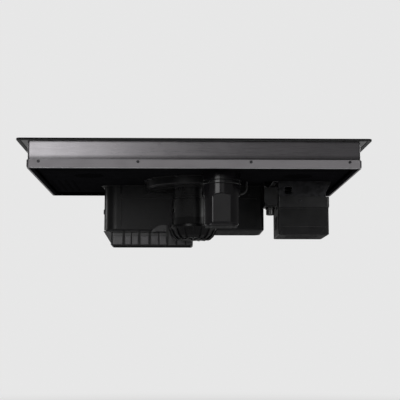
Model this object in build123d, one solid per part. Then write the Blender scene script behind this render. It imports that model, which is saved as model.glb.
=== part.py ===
from build123d import *
import math
import os

# A downdraft induction cooktop: a glass ceramic top over a shallow pan, with a filtered air intake
# in the middle, and a blower, an overflow tank and a control box hung under the pan.
# Millimetres. X runs to the right, Y to the back, Z up. Z = 0 is the worktop's upper face,
# and X = Y = 0 is the middle of the glass.

# ---------------------------------------------------------------- driving dimensions

# glass and its seal
GLASS_WIDTH = 830.0
GLASS_DEPTH = 515.0
GLASS_THICKNESS = 4.0
GLASS_CORNER_RADIUS = 10.0
GLASS_BEVEL = 0.8
SEAL_THICKNESS = 1.0
SEAL_WIDTH = 8.0
SEAL_INSET = 1.5

# pan: frame above, tray below
GLASS_OVERHANG_X = 25.0
GLASS_OVERHANG_Y = 12.5
PAN_HEIGHT = 64.0
PAN_CORNER_RADIUS = 7.0
TRAY_SHEET = 1.0
TRAY_WALL_HEIGHT = 20.5
TRAY_RIM_WIDTH = 15.0
TRAY_RECESS = 8.0
TRAY_RECESS_RADIUS = 13.0
TRAY_EDGE_RADIUS = 0.9
FRAME_SHEET = 1.2
FRAME_FLANGE = 14.0
FRAME_CLEARANCE = 0.2
FRAME_LAP = 12.0
FRAME_GROOVE_HEIGHT = 3.0
FRAME_GROOVE_DEPTH = 0.5
FRAME_GROOVE_ABOVE_TRAY = 2.0

# screws
SCREW_SHANK_RADIUS = 1.5
SCREW_HEAD_RADIUS = 3.3
SCREW_HEAD_HEIGHT = 2.0
SCREW_LENGTH = 8.0
SCREW_HOLE_CLEARANCE = 0.2
SCREW_HEAD_ROUNDING = 0.8
SCREW_SLOT_LENGTH = 4.0
SCREW_SLOT_WIDTH = 0.9
SCREW_SLOT_DEPTH = 1.1
TRAY_SCREW_INNER = 132.0
TRAY_SCREW_EDGE_INSET = 27.0
TRAY_SCREW_BELOW_EDGE = 5.2
SIDE_SCREW_PITCH = 300.0

# side clips
CLIP_WIDTH = 24.0
CLIP_SHEET = 0.8
CLIP_BULGE = 5.0
CLIP_PITCH = 260.0
CLIP_TOP = -4.0
CLIP_BOTTOM = -34.0
CLIP_HOOK_DROP = 4.5
CLIP_HOOK_REACH = 1.0
CLIP_HOOK_ROOM = 1.5
CLIP_GAP = 0.1

# intake
INTAKE_WIDTH = 112.0
INTAKE_LENGTH = 300.0
INTAKE_CORNER_RADIUS = 18.0
COLLAR_LEDGE = 5.0
COLLAR_FLANGE = 6.0
COLLAR_THICKNESS = 2.0
BASIN_WALL = 2.0
BASIN_DEPTH = 30.0
BASIN_MARGIN = 2.0
GRILLE_CLEARANCE = 1.0
GRILLE_HEIGHT = 5.0
GRILLE_FRAME = 9.0
GRILLE_BAR_WIDTH = 4.0
GRILLE_BAR_COUNT = 5
GRILLE_BRIDGE_COUNT = 2
GRILLE_BRIDGE_SINK = 1.5
GRILLE_EDGE = 0.5
FILTER_CLEARANCE = 1.5
FILTER_WALL = 1.6
FILTER_HEIGHT = 24.0
FILTER_SHELF = 5.0
FILTER_FOOT_RADIUS = 2.0
FILTER_FOOT_INSET = 22.0
FILTER_TOP_GAP = 0.5
MESH_THICKNESS = 3.0
MESH_TILT = 15.0
MESH_GAP = 0.2
MESH_MIDDLE_GAP = 0.4
MESH_END_GAP = 10.0

# blower
BLOWER_AXIS_Y = 20.0
EYE_LIP = 2.0
EYE_INSIDE_BLADES = 7.0
WHEEL_RADIUS = 80.0
WHEEL_GAP = 3.0
WHEEL_PLATE = 2.0
WHEEL_HUB_RADIUS = 14.0
WHEEL_HUB_HEIGHT = 10.0
WHEEL_NUT_RADIUS = 8.0
WHEEL_NUT_HEIGHT = 3.0
SHAFT_PROUD = 1.0
BLADE_COUNT = 24
BLADE_THICKNESS = 1.4
BLADE_DEPTH = 20.0
BLADE_CURVE_RADIUS = 26.0
BLADE_LEAN = 22.4
BLADE_TIP_INSET = 0.2
VOLUTE_START_GAP = 8.0
VOLUTE_GROWTH = 7.0
VOLUTE_WALL = 2.2
VOLUTE_CLEARANCE = 0.3
VOLUTE_DUCT_INNER_X = -18.0
VOLUTE_DUCT_END_GAP = 10.0
VOLUTE_COVER = 2.5
VOLUTE_COVER_LAP = 4.0
VOLUTE_ROOM = 1.0
MOUTH_OVERLAP = 2.0
MOUTH_WALL = 2.0
MOUTH_TAPER = 0.6
MOUTH_SEAT = 1.0
BLOWER_PAN_ROOM = 40.0
BLOWER_PAN_DROP = 21.0
BLOWER_WALL = 2.5
BLOWER_FLANGE = 6.0
BLOWER_FLANGE_THICKNESS = 2.5
BLOWER_PAN_EDGE_RADIUS = 2.0
BLOWER_SCREW_OUT = 3.5
BLOWER_SCREW_INSET = 20.0
BLOWER_SCREW_ANGLES = (-165.0, -150.0, -110.0, -20.0)

# plenum behind the motor
PLENUM_LEFT = -233.0
PLENUM_BOX_GAP = 31.0
PLENUM_MOTOR_GAP = 4.0
PLENUM_REAR_GAP = 23.0
PLENUM_HEIGHT = 121.0
PLENUM_FLANGE_OUT = 1.0
PLENUM_CORNER_RADIUS = 9.0
PLENUM_FRONT_LEFT_RADIUS = 32.0
PLENUM_EDGE_RADIUS = 4.0
PLENUM_WALL = 3.0
PANEL_SINK = 1.4
PANEL_FRAME = 18.0
PANEL_BELOW_TRAY = 36.0
PANEL_ABOVE_EDGE = 11.0
PANEL_CORNER_GAP = 12.0
LINING_THICKNESS = 10.0
LINING_TOP_GAP = 4.0
LINING_FLOOR_LEFT = 30.0
SEAM_OUT = 3.5
SEAM_SHEET = 3.0
SEAM_BEHIND_FRONT = 44.0
GUSSET_PLACES = (-190.0, -122.0, 150.0)
GUSSET_SHEET = 2.5
GUSSET_HEIGHT = 26.0
GUSSET_TOE_HEIGHT = 22.0
GUSSET_TOE = 3.0
GUSSET_HEAD = 1.4
LATCH_DEPTH = 14.0
LATCH_HEIGHT = 12.0
LATCH_OUT = 5.2
LATCH_RISE = 53.0
LATCH_ROUNDING = 1.6

# duct spigot under the plenum's left half
SPIGOT_WIDTH = 218.0
SPIGOT_DEPTH = 86.0
SPIGOT_LEFT = -217.0
SPIGOT_FRONT_INSET = 12.0
SPIGOT_WALL = 2.2
SPIGOT_FLANGE = 4.0
SPIGOT_FLANGE_THICKNESS = 3.0
SPIGOT_HEIGHT = 38.0
SPIGOT_CORNER_RADIUS = 8.0
SPIGOT_PAD = 2.4
SPIGOT_PAD_GAP = 3.0
SPIGOT_PAD_ENDS = 2.0
SPIGOT_GAP_PLACES = (35.0, 55.0, 76.0, 104.0, 128.0, 151.0, 175.0, 198.0)
SPIGOT_SIDE_GAPS = 2
SPIGOT_FLARE_OUT = 20.0
SPIGOT_FLARE_HEIGHT = 32.0
SPIGOT_FLARE_BAND = 6.0
SPIGOT_FLARE_DEPTH = 40.0
CHEEK_SHEET = 2.4
CHEEK_LEFT = -108.0
CHEEK_SHOULDER_LEFT = -88.0
CHEEK_SHOULDER_RIGHT = -66.0
CHEEK_WAIST_RIGHT = -57.0
CHEEK_RIGHT = -44.0
CHEEK_RISE = 14.0
CHEEK_RIB = 5.0
SPIGOT_STOP = 4.0
SPIGOT_STOP_RADIUS = 4.0
SPIGOT_FLANGE_CHAMFER = 1.8
FLAP_THICKNESS = 1.6
FLAP_PIN_RADIUS = 2.0
FLAP_PIN_CLEARANCE = 0.06
FLAP_KNUCKLE_RADIUS = 4.2
FLAP_CLEARANCE = 1.2
FLAP_STOP_GAP = 0.3
FLAP_PIN_END_GAP = 0.4
FLAP_KNUCKLE_GAP = 0.8
FLAP_KNUCKLES = 4
FLAP_TONGUE_LAP = 1.0

# motor
MOTOR_RADIUS = 55.0
MOTOR_WALL = 3.0
MOTOR_COLLAR_STEP = 3.0
MOTOR_COLLAR_HEIGHT = 20.0
MOTOR_GROOVE_DEPTH = 2.0
MOTOR_GROOVE_HEIGHT = 2.0
MOTOR_RING_OUT = 1.0
MOTOR_EDGE = 0.6
MOTOR_SHAFT_ROOM = 2.0
MOTOR_MOUTH_RADIUS = 17.0
MOTOR_SCREW_INSET = 11.0
MOTOR_RING_HEIGHT = 5.0
MOTOR_HEIGHT = 95.0
MOTOR_CAP_OUT = 7.0
MOTOR_CAP_RIM = 6.0
MOTOR_CAP_HEIGHT = 36.0
MOTOR_CAP_BOTTOM_INSET = 18.0
MOTOR_CAP_BOSS_RADIUS = 10.0
MOTOR_CAP_BOSS_DROP = 2.0
MOTOR_CAP_WALL = 2.4
MOTOR_CAP_SHOULDER_INSET = 3.0
MOTOR_CAP_SHOULDER_DROP = 10.0
MOTOR_CAP_KNEE_INSET = 9.0
MOTOR_CAP_KNEE_RISE = 8.0
MOTOR_FIN_COUNT = 16
MOTOR_FIN_THICKNESS = 2.4
MOTOR_FIN_HEIGHT = 3.0
MOTOR_FIN_START = 14.0
SHAFT_RADIUS = 5.0
SHAFT_CLEARANCE = 0.04
SHAFT_FOOT = 3.0
SHAFT_END_ROOM = 4.0
SHAFT_CHAMFER = 0.8
BEARING_RADIUS = 13.0
BEARING_HEIGHT = 9.0
BEARING_SEAT_WALL = 3.0
STATOR_BAND = 22.0
STATOR_YOKE = 9.0
STATOR_LENGTH = 44.0
STATOR_SLOTS = 12
STATOR_TOOTH_TIP = 3.0
STATOR_SLOT_WIDTH = 7.0
STATOR_MOUTH_WIDTH = 2.4
STATOR_DROP = 4.0
WINDING_HEIGHT = 6.0
WINDING_OUTER_GAP = 6.0
WINDING_INNER_GAP = 3.0
WINDING_ROUNDING = 2.0
ROTOR_END_INSET = 1.0
AIR_GAP = 0.7

# overflow tank
TANK_X = 66.0
TANK_PAN_GAP = 6.0
NECK_RADIUS = 47.0
NECK_WALL = 3.0
NECK_HEIGHT = 24.0
NECK_ROOM = 1.0
NECK_CHAMFER = 0.6
LOCK_RING_HEIGHT = 9.0
LOCK_RING_GROOVE = 1.2
LOCK_RING_OUT = 0.6
LOCK_RING_LUG = 3.0
LOCK_RING_LUG_WIDTH = 12.0
LOCK_RING_LUG_HEIGHT = 5.5
LOCK_RING_LUG_ANGLE = 200.0
TANK_WALL = 2.2
TANK_SHOULDER = 24.0
TANK_FLAT_INSET = 5.5
TANK_BODY_HEIGHT = 77.0
TANK_RIM_HEIGHT = 4.0
TANK_RIM_INSET = 2.0
TANK_RIM_RADIUS = 16.0
TANK_ARCH_WIDTH = 48.0
TANK_ARCH_HEIGHT = 12.0
TANK_EDGE = 0.8
TANK_COLLAR_GAP = 2.0
TANK_COLLAR_RISE = 8.0
TANK_GAP = 0.3
SPOUT_INSET = 18.0
SPOUT_RADIUS = 14.0
SPOUT_WALL = 2.0
SPOUT_DROP = 6.0
SPOUT_ROOM = 1.0
TANK_RING_SECTION = 2.5
TANK_RING_THICKNESS = 1.6
TANK_RING_RISE = 3.0

# coils
PLATE_THICKNESS = 1.5
PLATE_SIDE_GAP = 4.0
PLATE_BASIN_GAP = 6.0
PLATE_REAR_GAP = 8.0
TOUCH_STRIP = 44.0
COIL_GAP = 8.0
COIL_SIDE_MARGIN = 36.0
COIL_HEIGHT = 7.0
COIL_BORE = 46.0
COIL_CORNER_RADIUS = 92.0
CARRIER_HEIGHT = 8.0
CARRIER_MARGIN = 3.0
MAT_THICKNESS = 0.8
MAT_MARGIN = 10.0
FERRITE_LENGTH = 44.0
FERRITE_WIDTH = 12.0
FERRITE_HEIGHT = 5.0
FERRITE_COUNT = 8
FERRITE_CLEARANCE = 0.15
SENSOR_RADIUS = 6.0
SENSOR_CLEARANCE = 0.5
POST_RADIUS = 4.0
POST_COLLAR_RADIUS = 8.0
POST_SPRING_RADIUS = 6.5
POST_SPRING_HEIGHT = 9.0
POST_INSET = 16.0
POST_PAN_GAP = 8.0
POST_PROUD = 2.0
POST_SPRING_GAP = 0.6
PLATE_CORNER_RADIUS = 6.0
COIL_EDGE = 1.2
COIL_ROUND_MARGIN = 1.0
MAT_FLANGE_GAP = 1.0
SENSOR_STEM_STEP = 2.0
SENSOR_HEAD_HEIGHT = 2.5

# power electronics
BOARD_THICKNESS = 1.6
BOARD_STANDOFF = 6.0
BOARD_WIDTH = 226.0
BOARD_DEPTH = 240.0
BOARD_PAN_GAP = 14.0
BOARD_REAR_GAP = 22.0
HEAT_SINK_WIDTH = 84.0
HEAT_SINK_DEPTH = 170.0
HEAT_SINK_BASE = 4.0
HEAT_SINK_FIN = 1.8
HEAT_SINK_FINS = 11
HEAT_SINK_TOP_GAP = 4.0
HEAT_SINK_FRONT_GAP = 12.0
BOARD_CORNER_RADIUS = 3.0
STANDOFF_INSET = 8.0
STANDOFF_RADIUS = 4.0
POST_ROOM = 2.0
CAPACITOR_RADIUS = 11.0
CAPACITOR_HEIGHT = 22.0
CAPACITOR_COUNT = 4
CAPACITOR_PITCH = 27.0
CAPACITOR_START = 34.0
CAPACITOR_OUT = 20.0
CAPACITOR_EDGE = 0.8
CHOKE_SIZE = 26.0
CHOKE_HEIGHT = 20.0
CHOKE_COUNT = 3
CHOKE_PITCH = 38.0
CHOKE_START = 40.0
CHOKE_OUT = 22.0
CHOKE_CORNER_RADIUS = 3.0
COOLER_SIZE = 80.0
COOLER_HEIGHT = 25.0
COOLER_BORE = 37.0
COOLER_TIP_GAP = 1.0
COOLER_HUB = 17.0
COOLER_BLADES = 7
COOLER_BLADE_PITCH = 38.0
COOLER_PIN_RADIUS = 1.5
COOLER_PIN_CLEARANCE = 0.05
COOLER_STRUT = 4.0
COOLER_BOARD_GAP = 16.0
COOLER_CORNER_RADIUS = 4.0
COOLER_STRUT_HEIGHT = 2.5
COOLER_HUB_STEP = 3.0
COOLER_HUB_ROUNDING = 2.0
COOLER_HOLE_INSET = 4.5
COOLER_HOLE_RADIUS = 2.1
COOLER_PIN_BELOW_TOP = 6.0
COOLER_PIN_WELL = 4.0
COOLER_ROTOR_FOOT = 4.0
COOLER_ROTOR_HEAD = 1.5
COOLER_BLADE_THICKNESS = 1.6
COOLER_BLADE_ROOT = 4.0
COOLER_BLADE_STRETCH = 1.15
VENT_SLOT_WIDTH = 4.0
VENT_SLOT_PITCH = 9.0
VENT_SLOT_ROUNDING = 1.95

# touch control
TOUCH_WIDTH = 330.0
TOUCH_DEPTH = 30.0
TOUCH_FRONT_GAP = 6.0
TOUCH_CARRIER_HEIGHT = 5.0
TOUCH_GLASS_GAP = 5.0
TOUCH_CARRIER_END = 4.0
TOUCH_CARRIER_INSET = 1.0
TOUCH_CARRIER_WALL = 4.0
TOUCH_CARRIER_WEB = 1.5
TOUCH_EAR = 10.0
TOUCH_EAR_OUT = 2.0
TOUCH_BOARD_INSET_X = 5.0
TOUCH_BOARD_INSET_Y = 2.0
TOUCH_CORNER_RADIUS = 2.0

# control box
BOX_EDGE_INSET = 40.0
BOX_WIDTH = 130.0
BOX_FRONT = 8.0
BOX_DEPTH = 142.0
BOX_HANG = 42.0
BOX_HEIGHT = 96.0
BOX_WALL = 2.0
BOX_CORNER_RADIUS = 4.0
BOX_BOTTOM_ROUNDING = 1.5
BOX_FOOT_HEIGHT = 20.0
BOX_FOOT_SINK = 1.0
BOX_FOOT_MARGIN = 8.0
BOX_SLANT = 14.0
LID_LIP = 25.0
LID_THICKNESS = 1.6
LID_CLEARANCE = 0.25
LID_SCREW_OFFSET = -8.0
LID_SCREW_DROP = 9.0
WIRE_SLOT_WIDTH = 14.0
WIRE_SLOT_HEIGHT = 8.0
WIRE_SLOT_RISE = 8.0
WIRE_SLOT_REACH = 3.0
BRACKET_SHEET = 1.2
BRACKET_LEFT_OUT = 14.0
BRACKET_RIGHT_OUT = 7.0
BRACKET_NOTCH_WIDTH = 18.0
BRACKET_NOTCH_HEIGHT = 18.0
BRACKET_NOTCH_OFFSET = 26.0
BRACKET_NOTCH_DROP = 4.0
BRACKET_NOTCH_ROUNDING = 3.0
BRACKET_SHELF = 10.0
BRACKET_SLANT_WIDTH = 14.0
BRACKET_SLANT_DROP = 30.0
BRACKET_SCREW_INSET_X = 10.0
BRACKET_SCREW_INSET_Y = 12.0
BRACKET_JUNCTION_GAP = 2.0
CONTROL_BOARD_RISE = 6.0
CONTROL_BOARD_GAP = 2.0
CONTROL_BOARD_RADIUS = 1.0
CONTROL_STANDOFF_INSET = 6.0
CONTROL_STANDOFF_RADIUS = 3.0
RELAY_COUNT = 3
RELAY_PITCH = 34.0
RELAY_OFFSET = 28.0
RELAY_WIDTH = 22.0
RELAY_DEPTH = 24.0
RELAY_HEIGHT = 22.0
SUPPLY_OFFSET = -30.0
SUPPLY_WIDTH = 30.0
SUPPLY_DEPTH = 90.0
SUPPLY_HEIGHT = 34.0
BLOCK_CORNER_RADIUS = 2.0
JUNCTION_BOX_GAP = 2.0
JUNCTION_WIDTH = 34.0
JUNCTION_DEPTH = 52.0
JUNCTION_HANG = 18.0
JUNCTION_HEIGHT = 48.0
JUNCTION_WALL = 2.0
JUNCTION_CORNER_RADIUS = 3.0
JUNCTION_BORE_RADIUS = 1.5
COVER_SHEET = 1.6
COVER_REACH = 17.0
COVER_FRONT_SHEET = 1.4
COVER_FRONT_RISE = 4.0
COVER_FRONT_RADIUS = 12.0
GLAND_BORE = 5.5
GLAND_RADIUS = 10.0
GLAND_LENGTH = 20.0
GLAND_NUT = 12.5
GLAND_NUT_HEIGHT = 6.0
GLAND_STEM_INSET = 4.0
GLAND_DOME_OUT = 0.8
GLAND_DOME_ROUNDING = 2.5
GLAND_NECK_HEIGHT = 1.0
GLAND_LOCKNUT_OUT = 2.0
GLAND_LOCKNUT_HEIGHT = 3.0
TERMINAL_HEIGHT = 16.0
TERMINAL_WIDTH = 10.0
TERMINAL_END_GAP = 4.0
TERMINAL_RISE = 2.0
TERMINAL_COUNT = 4
TERMINAL_PITCH = 10.0
TERMINAL_HOLE_RADIUS = 2.4
TERMINAL_HOLE_DEPTH = 4.0

# motor lead
LEAD_RADIUS = 3.0
LEAD_BEND = 15.0
LEAD_END_RISE = 8.0
LEAD_BELOW_PAN = 11.0
LEAD_CLEAR_OF_PAN = 13.0
LEAD_HOLE_CLEARANCE = 0.4

# room shared by many pieces
CUT = 1.0
SEAT_GAP = 0.05
PRESS_GAP = 0.02
FUSE = 0.5
LEAST_CORNER = 0.3

# ---------------------------------------------------------------- levels that follow

GLASS_UNDERSIDE = SEAL_THICKNESS
GLASS_TOP = GLASS_UNDERSIDE + GLASS_THICKNESS
PAN_WIDTH = GLASS_WIDTH - 2 * GLASS_OVERHANG_X
PAN_DEPTH = GLASS_DEPTH - 2 * GLASS_OVERHANG_Y
TRAY_BOTTOM = -PAN_HEIGHT
TRAY_WALL_TOP = TRAY_BOTTOM + TRAY_WALL_HEIGHT
FLOOR_UNDER = TRAY_BOTTOM + TRAY_RECESS
FLOOR_TOP = FLOOR_UNDER + TRAY_SHEET
RECESS_WIDTH = PAN_WIDTH - 2 * TRAY_RIM_WIDTH
RECESS_DEPTH = PAN_DEPTH - 2 * TRAY_RIM_WIDTH
FRAME_WIDTH = PAN_WIDTH - 2 * (TRAY_SHEET + FRAME_CLEARANCE)
FRAME_DEPTH = PAN_DEPTH - 2 * (TRAY_SHEET + FRAME_CLEARANCE)
FRAME_CORNER_RADIUS = PAN_CORNER_RADIUS - TRAY_SHEET - FRAME_CLEARANCE
FRAME_BOTTOM = TRAY_WALL_TOP - FRAME_LAP
TRAY_SCREW_Z = TRAY_WALL_TOP - TRAY_SCREW_BELOW_EDGE

COLLAR_TOP = GLASS_UNDERSIDE
COLLAR_BOTTOM = COLLAR_TOP - COLLAR_THICKNESS
COLLAR_OPENING_WIDTH = INTAKE_WIDTH - 2 * COLLAR_LEDGE
COLLAR_OPENING_LENGTH = INTAKE_LENGTH - 2 * COLLAR_LEDGE
COLLAR_OPENING_RADIUS = INTAKE_CORNER_RADIUS - COLLAR_LEDGE
BASIN_WIDTH = INTAKE_WIDTH + 2 * BASIN_MARGIN
BASIN_LENGTH = INTAKE_LENGTH + 2 * BASIN_MARGIN
BASIN_CORNER_RADIUS = INTAKE_CORNER_RADIUS + BASIN_MARGIN
BASIN_BOTTOM = -BASIN_DEPTH
BASIN_FLOOR_TOP = BASIN_BOTTOM + BASIN_WALL

BLOWER_PAN_BOTTOM = FLOOR_UNDER - BLOWER_PAN_DROP
BLOWER_FLOOR_TOP = BLOWER_PAN_BOTTOM + BLOWER_WALL
VOLUTE_TOP = BASIN_BOTTOM - VOLUTE_COVER
VOLUTE_START_RADIUS = WHEEL_RADIUS + VOLUTE_START_GAP
BLOWER_PAN_RADIUS = WHEEL_RADIUS + BLOWER_PAN_ROOM
EYE_RADIUS = WHEEL_RADIUS - BLADE_DEPTH - EYE_INSIDE_BLADES
WHEEL_TOP = VOLUTE_TOP - WHEEL_GAP
WHEEL_BOTTOM = BLOWER_FLOOR_TOP + WHEEL_GAP
EYE = (0.0, BLOWER_AXIS_Y)

BOX_RIGHT = PAN_WIDTH / 2 - BOX_EDGE_INSET
BOX_LEFT = BOX_RIGHT - BOX_WIDTH
BOX_X = (BOX_RIGHT + BOX_LEFT) / 2
BOX_Y = BOX_FRONT + BOX_DEPTH / 2
BOX_TOP = FLOOR_UNDER - BOX_HANG
BOX_BOTTOM = BOX_TOP - BOX_HEIGHT
LID_TOP = BOX_TOP + LID_THICKNESS + LID_CLEARANCE
BRACKET_LEFT = BOX_LEFT - BRACKET_LEFT_OUT
BRACKET_RIGHT = BOX_RIGHT + BRACKET_RIGHT_OUT
BRACKET_WIDTH = BRACKET_RIGHT - BRACKET_LEFT
BRACKET_X = (BRACKET_RIGHT + BRACKET_LEFT) / 2
BRACKET_REAR = BOX_FRONT + BOX_DEPTH
JUNCTION_RIGHT = BOX_LEFT - JUNCTION_BOX_GAP
JUNCTION_LEFT = JUNCTION_RIGHT - JUNCTION_WIDTH
JUNCTION_X = JUNCTION_LEFT + JUNCTION_WIDTH / 2
JUNCTION_Y = BOX_FRONT + JUNCTION_DEPTH / 2
JUNCTION_TOP = FLOOR_UNDER - JUNCTION_HANG
JUNCTION_BOTTOM = JUNCTION_TOP - JUNCTION_HEIGHT

MOTOR_COLLAR_RADIUS = MOTOR_RADIUS - MOTOR_COLLAR_STEP
MOTOR_CAP_RADIUS = MOTOR_RADIUS + MOTOR_CAP_OUT
MOTOR_SCREW_CIRCLE = MOTOR_COLLAR_RADIUS - MOTOR_SCREW_INSET
MOTOR_TOP = BLOWER_PAN_BOTTOM
MOTOR_BOTTOM = MOTOR_TOP - MOTOR_HEIGHT
MOTOR_INNER_RADIUS = MOTOR_RADIUS - MOTOR_WALL
MOTOR_CAP_BOTTOM = MOTOR_BOTTOM - MOTOR_CAP_HEIGHT
MOTOR_CAP_RIM_BOTTOM = MOTOR_BOTTOM - MOTOR_CAP_RIM
UPPER_BEARING_TOP = MOTOR_TOP - MOTOR_WALL
LOWER_BEARING_BOTTOM = MOTOR_BOTTOM - BEARING_HEIGHT
STATOR_MIDDLE = (UPPER_BEARING_TOP - BEARING_HEIGHT + MOTOR_BOTTOM) / 2 - STATOR_DROP
STATOR_BORE = MOTOR_INNER_RADIUS - STATOR_BAND
STATOR_SLOT_DEPTH = STATOR_BAND - STATOR_TOOTH_TIP - STATOR_YOKE

PLENUM_RIGHT = BOX_LEFT - PLENUM_BOX_GAP
PLENUM_FRONT = BLOWER_AXIS_Y + MOTOR_CAP_RADIUS + PLENUM_MOTOR_GAP
PLENUM_REAR = PAN_DEPTH / 2 - PLENUM_REAR_GAP
PLENUM_DEPTH = PLENUM_REAR - PLENUM_FRONT
PLENUM_WIDTH = PLENUM_RIGHT - PLENUM_LEFT
PLENUM_X = (PLENUM_RIGHT + PLENUM_LEFT) / 2
PLENUM_Y = PLENUM_FRONT + PLENUM_DEPTH / 2
PLENUM_BOTTOM = FLOOR_UNDER - PLENUM_HEIGHT
PANEL_TOP = FLOOR_UNDER - PANEL_BELOW_TRAY
PANEL_BOTTOM = PLENUM_BOTTOM + PANEL_ABOVE_EDGE
LATCH_Z = PLENUM_BOTTOM + LATCH_RISE
VOLUTE_DUCT_END = PLENUM_REAR - VOLUTE_DUCT_END_GAP
PLENUM_FLOOR_TOP = PLENUM_BOTTOM + PLENUM_WALL
SPIGOT_X = SPIGOT_LEFT + SPIGOT_WIDTH / 2
SPIGOT_Y = PLENUM_FRONT + SPIGOT_FRONT_INSET + SPIGOT_DEPTH / 2
SPIGOT_TOP = PLENUM_BOTTOM
SPIGOT_TUBE_TOP = SPIGOT_TOP - SPIGOT_FLANGE_THICKNESS
SPIGOT_BOTTOM = SPIGOT_TOP - SPIGOT_HEIGHT
SPIGOT_TUBE_WIDTH = SPIGOT_WIDTH - 2 * SPIGOT_PAD
SPIGOT_TUBE_DEPTH = SPIGOT_DEPTH - 2 * SPIGOT_PAD
SPIGOT_BORE_WIDTH = SPIGOT_TUBE_WIDTH - 2 * SPIGOT_WALL
SPIGOT_BORE_DEPTH = SPIGOT_TUBE_DEPTH - 2 * SPIGOT_WALL
FLAP_TOP = SPIGOT_TUBE_TOP - FLAP_STOP_GAP
FLAP_AXIS_Z = FLAP_TOP - FLAP_THICKNESS - FLAP_PIN_RADIUS / 4

TANK_REACH = BLOWER_PAN_RADIUS + NECK_RADIUS + TANK_PAN_GAP
TANK_Y = BLOWER_AXIS_Y - math.sqrt(TANK_REACH**2 - TANK_X**2)
TANK_FLAT = NECK_RADIUS - TANK_FLAT_INSET
SPOUT_X = BASIN_WIDTH / 2 - SPOUT_INSET
SPOUT_Y = -BASIN_LENGTH / 2 + SPOUT_INSET
NECK_TOP = FLOOR_UNDER
NECK_BOTTOM = NECK_TOP - NECK_HEIGHT
LOCK_RING_BOTTOM = NECK_BOTTOM - LOCK_RING_HEIGHT
TANK_TOP = LOCK_RING_BOTTOM - TANK_GAP
TANK_FLAT_TOP = TANK_TOP - TANK_SHOULDER
TANK_BOTTOM = TANK_FLAT_TOP - TANK_BODY_HEIGHT

MAT_TOP = GLASS_UNDERSIDE
COIL_TOP = MAT_TOP - MAT_THICKNESS
CARRIER_TOP = COIL_TOP - COIL_HEIGHT
PLATE_TOP = CARRIER_TOP - CARRIER_HEIGHT
PLATE_BOTTOM = PLATE_TOP - PLATE_THICKNESS
PLATE_INNER_X = BASIN_WIDTH / 2 + PLATE_BASIN_GAP
PLATE_OUTER_X = FRAME_WIDTH / 2 - FRAME_SHEET - PLATE_SIDE_GAP
PLATE_FRONT_Y = -PAN_DEPTH / 2 + TOUCH_STRIP
PLATE_REAR_Y = FRAME_DEPTH / 2 - FRAME_SHEET - PLATE_REAR_GAP
POST_INNER_X = BLOWER_PAN_RADIUS + POST_PAN_GAP
PLATE_WIDTH = PLATE_OUTER_X - PLATE_INNER_X
PLATE_DEPTH = PLATE_REAR_Y - PLATE_FRONT_Y
PLATE_X = (PLATE_OUTER_X + PLATE_INNER_X) / 2
PLATE_Y = (PLATE_REAR_Y + PLATE_FRONT_Y) / 2
COIL_DEPTH = (PLATE_DEPTH - 3 * COIL_GAP) / 2
COIL_WIDTH = PLATE_WIDTH - 2 * COIL_SIDE_MARGIN
COIL_PITCH = COIL_DEPTH + COIL_GAP

BOARD_BOTTOM = FLOOR_TOP + BOARD_STANDOFF
BOARD_TOP = BOARD_BOTTOM + BOARD_THICKNESS
BOARD_X = FRAME_WIDTH / 2 - FRAME_SHEET - BOARD_PAN_GAP - BOARD_WIDTH / 2
BOARD_REAR_Y = PAN_DEPTH / 2 - BOARD_REAR_GAP
BOARD_Y = BOARD_REAR_Y - BOARD_DEPTH / 2
COOLER_Y = BOARD_REAR_Y - BOARD_DEPTH - COOLER_BOARD_GAP - COOLER_SIZE / 2
COOLER_X = BOARD_X
HEAT_SINK_Y = BOARD_Y - BOARD_DEPTH / 2 + HEAT_SINK_DEPTH / 2 + HEAT_SINK_FRONT_GAP
HEAT_SINK_TOP = PLATE_BOTTOM - HEAT_SINK_TOP_GAP

LEAD_X = BLOWER_PAN_RADIUS + BLOWER_FLANGE + LEAD_CLEAR_OF_PAN
LEAD_Z = MOTOR_TOP - LEAD_BELOW_PAN


# ---------------------------------------------------------------- helpers


def slab(width, depth, bottom, top, x=0.0, y=0.0, radius=0.0):
    """A flat-topped block with rounded upright edges."""
    outline = RectangleRounded(width, depth, radius) if radius > 0 else Rectangle(width, depth)
    return Pos(x, y, bottom) * extrude(outline, top - bottom)


def disc(radius, bottom, top, x=0.0, y=0.0):
    """An upright cylinder."""
    return Pos(x, y, bottom) * extrude(Circle(radius), top - bottom)


def tube(radius, bore, bottom, top, x=0.0, y=0.0):
    """An upright pipe."""
    return disc(radius, bottom, top, x, y) - disc(bore, bottom - CUT, top + CUT, x, y)


def frame_ring(width, depth, radius, wall, bottom, top, x=0.0, y=0.0):
    """A rounded rectangular ring."""
    outer = slab(width, depth, bottom, top, x, y, radius)
    inner_radius = max(radius - wall, LEAST_CORNER)
    return outer - slab(width - 2 * wall, depth - 2 * wall, bottom - CUT, top + CUT, x, y, inner_radius)


def turned(profile):
    """A solid of revolution about Z from (radius, height) corners."""
    corners = [(radius, 0, height) for radius, height in profile]
    return revolve(make_face(Polyline(*corners, close=True)), Axis.Z)


def screw(x, y, z, facing):
    """A pan-head screw whose head stands on (x, y, z) and points along facing."""
    head = disc(SCREW_HEAD_RADIUS, SEAT_GAP, SCREW_HEAD_HEIGHT)
    head = fillet(head.edges().group_by(Axis.Z)[-1], SCREW_HEAD_ROUNDING)
    shank = disc(SCREW_SHANK_RADIUS, -SCREW_LENGTH, SCREW_HEAD_HEIGHT / 2)
    slot_bottom = SCREW_HEAD_HEIGHT - SCREW_SLOT_DEPTH
    cross = slab(SCREW_SLOT_LENGTH, SCREW_SLOT_WIDTH, slot_bottom, SCREW_HEAD_HEIGHT + CUT)
    cross += slab(SCREW_SLOT_WIDTH, SCREW_SLOT_LENGTH, slot_bottom, SCREW_HEAD_HEIGHT + CUT)
    body = head + shank - cross
    return Plane(origin=(x, y, z), z_dir=facing) * body


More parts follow.
